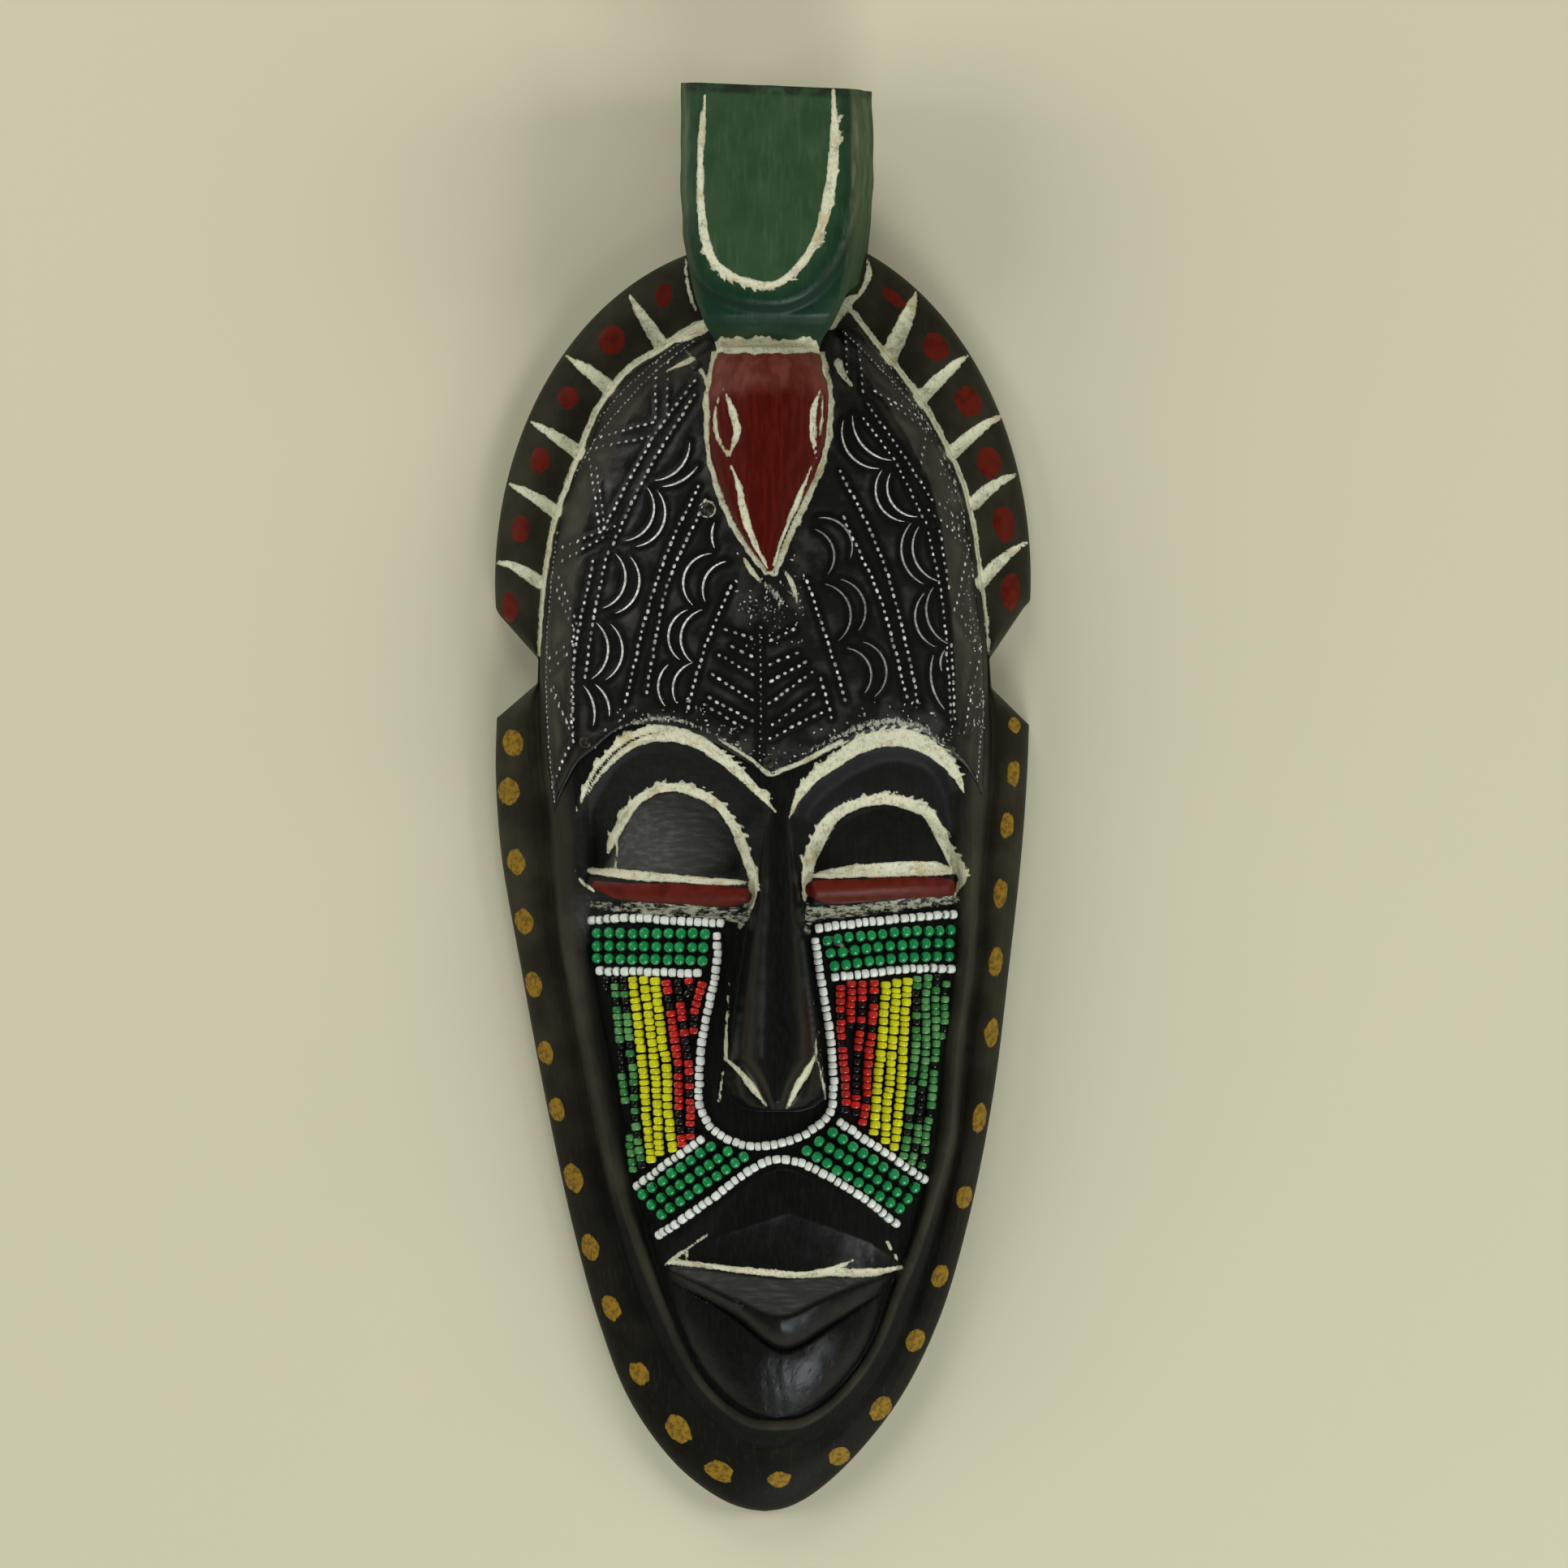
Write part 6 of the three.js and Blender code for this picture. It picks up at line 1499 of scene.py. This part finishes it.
CREAM, CREAM_STAIN, CREAM_DIRT = (0.62, 0.62, 0.455), (0.5, 0.46, 0.27), (0.25, 0.235, 0.15)
BLACK_WOOD = (0.0035, 0.0035, 0.0032), (0.0075, 0.0075, 0.0066)
OLIVE_WOOD = (0.016, 0.015, 0.0092), (0.031, 0.029, 0.0175)
LOW_OLIVE_WOOD = (0.006, 0.0058, 0.004), (0.0105, 0.01, 0.0065)
OLIVE_GRAIN = (0.034, 0.031, 0.02)
DUST_AND_SHEEN_GREY = (0.042, 0.042, 0.038), (0.088, 0.088, 0.08)
SMUDGE_PAINT = (0.46, 0.48, 0.36)
RED_DOT_PAINT = (0.095, 0.011, 0.0055), (0.062, 0.0065, 0.0035)
OCHRE_PAINT = (0.24, 0.135, 0.014), (0.11, 0.07, 0.013)
DEEP_GREEN = (0.0045, 0.022, 0.0105), (0.008, 0.032, 0.015)
PANEL_GREEN = (0.022, 0.054, 0.023), (0.034, 0.066, 0.031)
FLANK_GREEN = (0.018, 0.05, 0.017), (0.05, 0.08, 0.032)
LOW_FLANK_GREEN, STREAK_GREEN, RUBBED_AND_HIGHLIT_GREEN = (0.012, 0.036, 0.013), (0.055, 0.09, 0.052), (0.12, 0.14,
                                                                                            0.085)
END_BARE_AND_SHADED, CREASE_SHADE_GREEN = (0.012, 0.014, 0.009), (0.002, 0.012, 0.006)
BIRD_RED = (0.05, 0.0034, 0.0014), (0.076, 0.0062, 0.0026)
FADED_AND_LIT_RED = (0.085, 0.016, 0.009), (0.135, 0.036, 0.024)
# The lighter grey, in patches between the punched rows, is partly a painted sheen.
SHEET_GREY = (0.008, 0.0078, 0.007), (0.036, 0.035, 0.031)
SHEET_OLIVE = (0.013, 0.012, 0.0075), (0.027, 0.025, 0.016)
SHEET_SOOT, SCUFF_PAINT, RUBBED_SHEET = (0.003, 0.003, 0.0027), (0.48, 0.49, 0.39), (0.2, 0.2, 0.18)
RELIEF_METAL = (0.012, 0.012, 0.011), (0.88, 0.88, 0.82)
NAIL_METAL = (0.018, 0.018, 0.014), (0.07, 0.068, 0.048)
BEAD_DIRT = (0.03, 0.03, 0.028)
BEAD_COLOURS = {"bead_white": ((0.68, 0.71, 0.65), (0.56, 0.59, 0.53)),
                "bead_green": ((0.004, 0.18, 0.05), (0.008, 0.23, 0.066)),
                "bead_yellow": ((0.56, 0.56, 0.004), (0.46, 0.46, 0.006)),
                "bead_red": ((0.46, 0.014, 0.008), (0.32, 0.01, 0.007)),
                "bead_leaf": ((0.022, 0.14, 0.032), (0.095, 0.27, 0.085)),
                "bead_black": ((0.003, 0.003, 0.003), (0.006, 0.006, 0.006))}
CREAM_ROUGHNESS = 0.62
made_glass = {}


class Nodes:
    """Short ways to build a material's nodes."""

    def __init__(self, name):
        self.material = bpy.data.materials.new(name)
        self.material.use_nodes = True
        self.tree = self.material.node_tree
        self.shader = self.tree.nodes["Principled BSDF"]
        self.place = self.tree.nodes.new("ShaderNodeTexCoord").outputs["Object"]

    def link(self, source, socket):
        """Feeds a socket from another one, or sets it to a plain value."""
        if isinstance(source, bpy.types.NodeSocket):
            self.tree.links.new(source, socket)
        else:
            socket.default_value = source

    def node(self, kind, inputs=(), **settings):
        """A node with its settings made and its inputs fed."""
        made = self.tree.nodes.new(kind)
        for key, value in settings.items():
            setattr(made, key, value)
        for key, source in dict(inputs).items():
            self.link(source, made.inputs[key])
        return made

    def value(self, name):
        """A piece's float attribute."""
        return self.node("ShaderNodeAttribute", attribute_name=name).outputs["Fac"]

    def along_y(self):
        """The place along the mask's length, in metres."""
        return self.node("ShaderNodeSeparateXYZ", {"Vector": self.place}).outputs["Y"]

    def math(self, operation, *sources):
        """The result of one sum, product or the like."""
        return self.node("ShaderNodeMath", enumerate(sources), operation=operation).outputs[0]

    def times(self, a, b):
        """The product of two sources."""
        return self.math("MULTIPLY", a, b)

    def scaled(self, source, factor, plus):
        """The source times a factor, plus something."""
        return self.math("MULTIPLY_ADD", source, factor, plus)

    def ramp(self, source, low, high, full=1.0):
        """A smooth rise from 0 at low to full at high."""
        inputs = {"Value": source, "From Min": low, "From Max": high, "To Max": full}
        return self.node("ShaderNodeMapRange", inputs, clamp=True,
                         interpolation_type="SMOOTHSTEP").outputs["Result"]

    def noise(self, size_mm, detail=3.0, stretch=(1, 1, 1), roughness=0.55):
        """Noise between 0 and 1 whose grains measure about size_mm."""
        mapping = self.node("ShaderNodeMapping", {"Vector": self.place, "Scale": stretch})
        inputs = {"Vector": mapping.outputs["Vector"], "Scale": 1 / (size_mm * MM), "Detail": detail,
                  "Roughness": roughness}
        return self.node("ShaderNodeTexNoise", inputs).outputs["Fac"]

    def mix(self, share, a, b):
        """A colour between a and b."""
        a, b = ((*colour, 1) if isinstance(colour, tuple) else colour for colour in (a, b))
        return self.node("ShaderNodeMix", data_type="RGBA",
                         inputs={"Factor": share, "A": a, "B": b}).outputs["Result"]

    def tones(self, source, low, high, pair):
        """The first colour of a pair where the source is below low, the second where it is above high."""
        return self.mix(self.ramp(source, low, high), *pair)

    def blend(self, share, a, b):
        """A number between a and b."""
        return self.node("ShaderNodeMix", {"Factor": share, "A": a, "B": b},
                         data_type="FLOAT").outputs["Result"]

    def bump(self, height, depth_mm, strength):
        """Fine relief that is too small for the mesh."""
        inputs = {"Strength": strength, "Distance": depth_mm * MM, "Height": height}
        self.link(self.node("ShaderNodeBump", inputs).outputs["Normal"], self.shader.inputs["Normal"])

    def finish(self, colour, roughness, **constants):
        """Feeds the shader and returns the material."""
        self.link(colour, self.shader.inputs["Base Color"])
        self.link(roughness, self.shader.inputs["Roughness"])
        for key, amount in constants.items():
            self.shader.inputs[key.replace("_", " ")].default_value = amount
        return self.material


def painted_edge(n, name, wobble=1.1):
    """1 inside a painted shape, 0 outside, with a slightly ragged edge."""
    fine = n.scaled(n.noise(0.7, 5, (1, 0.6, 1), 0.7), wobble, -wobble)
    ragged = n.scaled(n.noise(2.6, 2, (1, 0.7, 1)), wobble, fine)
    return n.ramp(n.math("ADD", n.value(name), ragged), 0.1, -0.1)


def cream_colour(n):
    """Thick brushed paint: fine bristle marks, dirt in patches and along the edges."""
    bristle = n.noise(0.45, 3, (1, 0.22, 1))
    patch = n.ramp(n.noise(2.4, 8, (0.7, 1, 1), 0.85), 0.5, 0.6)
    dirt = n.math("MAXIMUM", n.times(patch, 0.7), n.ramp(n.value("cream"), -0.6, 0.1, 0.6))
    stained = n.tones(n.noise(7, 3), 0.56, 0.68, (CREAM, CREAM_STAIN))
    return n.mix(n.math("ADD", dirt, n.ramp(bristle, 0.5, 0.7, 0.4)), stained, CREAM_DIRT)


def with_cream(n, shade, wobble=1.1):
    """A shade with the cream paint over it, and where that paint is."""
    cream = painted_edge(n, "cream", wobble)
    return n.mix(cream, shade, cream_colour(n)), cream


def brushed(n, brush, cream, depth_mm, strength):
    """Relief of brush marks, with more of it in the cream paint."""
    n.bump(n.math("ADD", brush, n.times(cream, n.noise(0.6, 4))), depth_mm, strength)


def painted_wood(n, grain, shade, rough, specular):
    """Dust and painted sheen, smudges and the cream, red and ochre paint over a carved piece's own shade."""
    # Grey dust; on the left eyeball and the lower lip it is also a painted sheen.
    dust = n.tones(n.noise(1.2, 4, (0.2, 1, 1)), 0.4, 0.8, DUST_AND_SHEEN_GREY)
    shade = n.mix(n.value("dull"), shade, dust)
    smudge = n.ramp(n.value("smudge"), 0.9, -1.4)
    smear = n.scaled(smudge, 0.34, n.noise(1.5, 6, (0.4, 1, 1), 0.8))
    speckle = n.times(n.ramp(smear, 0.79, 0.89), n.ramp(smudge, 0.02, 0.15))
    shade = n.mix(n.times(speckle, 0.75), shade, SMUDGE_PAINT)
    shade, cream = with_cream(n, shade)
    red = painted_edge(n, "red", 0.7)
    shade = n.mix(red, shade, n.tones(n.noise(4, 3), 0.4, 0.7, RED_DOT_PAINT))
    shade = n.mix(painted_edge(n, "ochre", 0.8), shade, n.tones(n.noise(1.3, 5), 0.4, 0.65, OCHRE_PAINT))
    rough = n.blend(red, n.blend(cream, rough, CREAM_ROUGHNESS), 0.44)
    n.bump(n.scaled(grain, 0.5, n.times(cream, n.noise(0.6, 4))), 0.1, 0.5)
    return n.finish(shade, rough, Specular_IOR_Level=specular)


def wood_grain(n):
    """Fine grain along the mask, and broad mottling."""
    return n.noise(0.8, 4, (1, 0.1, 1)), n.ramp(n.noise(16, 3), 0.35, 0.7)


def flange_wood():
    """Olive paint, darker low down."""
    n = Nodes("carved_wood_flange")
    grain, mottle = wood_grain(n)
    upper = n.ramp(n.along_y(), -0.15, -0.02)
    shade = n.mix(upper, n.mix(mottle, *LOW_OLIVE_WOOD), n.mix(mottle, *OLIVE_WOOD))
    shade = n.mix(n.ramp(grain, 0.55, 0.8, 0.5), shade, OLIVE_GRAIN)
    return painted_wood(n, grain, shade, n.blend(mottle, 0.54, 0.62), 0.15)


def head_wood():
    """Black satin paint, olive on the head's rim with a painted highlight along the ridge round the chin,
    and matt outside the chin's ridge.
    """
    n = Nodes("carved_wood_head")
    grain, mottle = wood_grain(n)
    rim = n.mix(n.ramp(grain, 0.55, 0.8, 0.5), n.mix(mottle, *OLIVE_WOOD), OLIVE_GRAIN)
    # Olive where the rim band is; along the chin's ridge this olive is a painted highlight.
    shade = n.mix(n.value("band"), n.tones(grain, 0.35, 0.8, BLACK_WOOD), rim)
    dull = n.math("MAXIMUM", n.ramp(n.value("dull"), 0, 0.05), n.ramp(n.value("band"), 0, 0.1))
    rough = n.blend(dull, n.blend(mottle, 0.31, 0.37), 0.6)
    return painted_wood(n, grain, shade, n.blend(n.value("matt"), rough, 0.92), 0.3)


def green_paint():
    """The parrot's body: deep green, lighter on its panel and flanks, with rubbed paint and a painted
    highlight along its edges and painted shade in the crease at the step.
    """
    n = Nodes("green_paint")
    brush = n.noise(1.4, 4, (1, 0.1, 1))
    blotch = n.noise(9, 5)
    panel = n.value("panel")
    shade = n.mix(panel, n.tones(blotch, 0.3, 0.75, DEEP_GREEN), n.tones(blotch, 0.35, 0.7, PANEL_GREEN))
    shade = n.mix(n.times(n.ramp(brush, 0.48, 0.76), n.blend(panel, 0.15, 0.5)), shade, STREAK_GREEN)
    flank = n.tones(blotch, 0.4, 0.6, FLANK_GREEN)
    flank = n.mix(n.ramp(n.along_y(), 0.185, 0.155), flank, LOW_FLANK_GREEN)
    shade = n.mix(n.value("flank"), shade, flank)
    # Lighter green along the edges: rubbed paint and a painted highlight.
    rubbed = n.times(n.ramp(n.noise(3, 4, (1, 0.3, 1)), 0.4, 0.62), n.value("worn_and_sheen"))
    shade = n.mix(n.times(rubbed, 0.7), shade, RUBBED_AND_HIGHLIT_GREEN)
    # Darker along the cut end: bare wood and a painted shade of its edge.
    end = n.times(n.ramp(n.value("end"), -0.8, 1.0), n.ramp(n.noise(5, 3), 0.3, 0.6))
    shade = n.mix(n.times(end, 0.8), shade, END_BARE_AND_SHADED)
    shade, cream = with_cream(n, shade)
    # Painted shade: near-black green in the crease, where the panel value is negative.
    crease_shade = n.ramp(panel, -0.1, -0.8)
    shade = n.mix(n.times(crease_shade, 0.55), shade, CREASE_SHADE_GREEN)
    rough = n.blend(n.value("flank"), n.blend(panel, 0.38, 0.5), 0.75)
    brushed(n, brush, cream, 0.08, 0.2)
    return n.finish(shade, n.blend(cream, n.blend(crease_shade, rough, 0.7), CREAM_ROUGHNESS),
                    Specular_IOR_Level=0.4)


def red_paint():
    """The parrot's head: deep red, lighter and matt toward its crown, partly paler paint and partly a
    painted light where the top turns up.
    """
    n = Nodes("red_paint")
    brush = n.noise(1.2, 4, (1, 0.12, 1))
    # The lighter red of the crown: paler paint and a painted light.
    faded_and_lit = n.tones(n.noise(3, 5, (1, 0.3, 1)), 0.36, 0.7, FADED_AND_LIT_RED)
    edge = n.math("ADD", n.value("crown_fade_and_light"), n.scaled(n.noise(3, 4, (1, 0.35, 1)), 7, -3.5))
    crown_fade_and_light = n.ramp(edge, -2.5, 2.5)
    shade, cream = with_cream(n, n.mix(crown_fade_and_light, n.tones(brush, 0.4, 0.7, BIRD_RED), faded_and_lit))
    brushed(n, brush, cream, 0.08, 0.5)
    return n.finish(shade, n.blend(cream, n.blend(crown_fade_and_light, 0.36, 0.5), CREAM_ROUGHNESS), Specular_IOR_Level=0.3)


def dark_metal():
    """Blackened aluminium sheet: soot in the hollows, and between the punched rows a dull sheen, partly
    painted into lighter grey patches.
    """
    n = Nodes("blackened_sheet")
    blotch = n.noise(9, 4)
    near = n.value("near")
    # Grey with lighter patches that are partly a painted sheen; olive near the sides.
    shade = n.mix(n.value("olive"), n.tones(blotch, 0.45, 0.7, SHEET_GREY),
                  n.tones(blotch, 0.4, 0.7, SHEET_OLIVE))
    shade = n.mix(n.times(n.ramp(near, 2.9, 1.3), 0.92), shade, SHEET_SOOT)
    reach = n.scaled(n.noise(1.1, 6, (1, 0.45, 1), 0.8), 7, n.math("SUBTRACT", n.value("scuff"), 5.3))
    shade = n.mix(n.times(n.ramp(reach, -0.1, 0.5), 0.8), shade, SCUFF_PAINT)
    rubbed = n.times(n.ramp(n.noise(1.2, 5), 0.6, 0.75), n.ramp(near, 1.0, 0.1))
    shade = n.mix(n.times(rubbed, 0.45), shade, RUBBED_SHEET)
    shade, cream = with_cream(n, shade, 0.9)
    rough = n.blend(cream, n.blend(n.ramp(blotch, 0.35, 0.7), 0.44, 0.34), CREAM_ROUGHNESS)
    n.bump(n.scaled(n.noise(0.9, 4), n.blend(cream, 0.5, 1.5), n.noise(2.2, 4)), 0.2, 0.7)
    return n.finish(shade, rough, Metallic=0.2, Specular_IOR_Level=0.6)


def bright_metal():
    """The relief's tops: rubbed silver and a painted highlight, each as bright as its own attribute says."""
    n = Nodes("relief_rubbed_and_highlit")
    bare = n.ramp(n.noise(0.9, 4), 0.36, 0.58)
    share = n.times(n.value("bright"), n.blend(bare, 0.4, 1.0))
    # Dark to near white by the bright value: rubbed silver and a painted highlight.
    return n.finish(n.mix(share, *RELIEF_METAL), 0.4, Metallic=0.2)


def nail_metal():
    """Dull dark nail heads."""
    n = Nodes("nail_metal")
    n.bump(n.noise(0.8, 3), 0.1, 0.5)
    return n.finish(n.tones(n.noise(1.2, 4), 0.4, 0.65, NAIL_METAL), 0.42, Metallic=0.5)


def bead_glass(kind):
    """Opaque glossy glass, each bead with a tone of its own; made once for each kind."""
    if kind not in made_glass:
        n = Nodes(kind + "_glass")
        tone = n.value("tone")
        dirt = n.times(n.ramp(n.noise(1.6, 4), 0.58, 0.72), 0.22)
        shade = n.mix(dirt, n.mix(tone, *BEAD_COLOURS[kind]), BEAD_DIRT)
        made_glass[kind] = n.finish(shade, n.blend(tone, 0.16, 0.24), Specular_IOR_Level=0.8,
                                    Coat_Weight=0.6, Coat_Roughness=0.12)
    return made_glass[kind]


# The set: camera, floor and lights.

VIEW_CENTRE = (6.18, 4.28)
VIEW_WIDTH = 459.0
VIEW_HEIGHT = 12000.0
# The level on the object that fills the view's width.
OBJECT_LEVEL = 20.0
SENSOR_WIDTH = 36
# In metres: how far the camera sees, and half the floor's width.
CLIP_END = 40
FLOOR_REACH = 3.0
FLOOR_COLOUR = (0.545, 0.525, 0.385, 1)
WORLD_STRENGTH = 0.05
WHITE_LIGHT, COOL_LIGHT = (1, 0.99, 0.96), (0.86, 0.96, 1)
# Lights: name, place in metres, power, size and colour. Gloss mirrors the windows and not the soft ones.
SOFT_LIGHTS = [("light_left", (-1.5, 0.1, 1.0), 16, (0.9, 1.1), WHITE_LIGHT),
               ("light_right", (1.45, 0.2, 1.05), 16, (0.8, 1.0), WHITE_LIGHT),
               ("light_low", (0.3, -1.5, 1.0), 11, (0.9, 0.6), WHITE_LIGHT),
               ("light_top", (-0.2, 1.5, 1.0), 11, (0.9, 0.6), WHITE_LIGHT)]
WINDOW_LIGHTS = [("window_low", (0.5, -1.5, 0.65), 9, (0.8, 0.55), COOL_LIGHT),
                 ("window_left", (-1.3, 0.9, 0.55), 4, (0.9, 0.7), WHITE_LIGHT),
                 ("window_glint", (0.85, -1.0, 0.8), 1.3, (0.12, 0.12), WHITE_LIGHT)]


def placed(name, data):
    """An object of the set, linked into the scene."""
    made = bpy.data.objects.new(name, data)
    bpy.context.scene.collection.objects.link(made)
    return made


def camera():
    """A camera far above with a long lens, so that height hardly changes the scale."""
    data = bpy.data.cameras.new("camera")
    data.sensor_width = SENSOR_WIDTH
    data.lens = SENSOR_WIDTH * (VIEW_HEIGHT - OBJECT_LEVEL) / VIEW_WIDTH
    data.clip_end = CLIP_END
    made = placed("camera", data)
    made.location = to_frame([*VIEW_CENTRE, VIEW_HEIGHT])
    bpy.context.scene.camera = made


def floor():
    """A plain pale floor."""
    mesh = bpy.data.meshes.new("floor")
    reach = FLOOR_REACH
    mesh.from_pydata([(-reach, -reach, 0), (reach, -reach, 0), (reach, reach, 0), (-reach, reach, 0)], [],
                     [(0, 1, 2, 3)])
    mesh.materials.append(Nodes("floor").finish(FLOOR_COLOUR, 0.9, Specular_IOR_Level=0.1))
    placed("floor", mesh)


def area_light(name, place, power, size, colour, glossy):
    """A rectangular light that faces the part."""
    data = bpy.data.lights.new(name, "AREA")
    data.color = colour
    data.shape = "RECTANGLE"
    data.size, data.size_y = size
    data.energy = power
    lamp = placed(name, data)
    lamp.location = Vector(place)
    lamp.rotation_mode = "QUATERNION"
    lamp.rotation_quaternion = (-Vector(place)).to_track_quat("-Z", "Y")
    lamp.visible_glossy = glossy


def lighting():
    """Soft studio light and a faint even glow."""
    world = bpy.data.worlds.new("world")
    bpy.context.scene.world = world
    world.use_nodes = True
    background = world.node_tree.nodes["Background"]
    background.inputs["Color"].default_value = (*WHITE_LIGHT, 1)
    background.inputs["Strength"].default_value = WORLD_STRENGTH
    bpy.context.scene.view_settings.view_transform = "Standard"
    for lights, glossy in ((SOFT_LIGHTS, False), (WINDOW_LIGHTS, True)):
        for light in lights:
            area_light(*light, glossy)


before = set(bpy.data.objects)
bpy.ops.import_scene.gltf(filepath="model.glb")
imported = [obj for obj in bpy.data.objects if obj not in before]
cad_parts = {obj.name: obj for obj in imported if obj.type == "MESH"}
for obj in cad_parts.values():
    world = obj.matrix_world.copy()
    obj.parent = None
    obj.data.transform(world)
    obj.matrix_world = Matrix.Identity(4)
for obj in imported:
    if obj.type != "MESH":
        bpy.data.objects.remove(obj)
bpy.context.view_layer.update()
camera()
floor()
lighting()
flange_piece()
bare_grid, carved_grid = head_piece()
parrot_body()
parrot_head()
face_rows = grid_faces(*bare_grid.shape[:2])
sheet_pieces(surface_of(bare_grid.reshape(-1, 3), face_rows))
cheeks = surface_of(carved_grid.reshape(-1, 3), face_rows)
for row in STRANDS:
    strand(cheeks, *row)
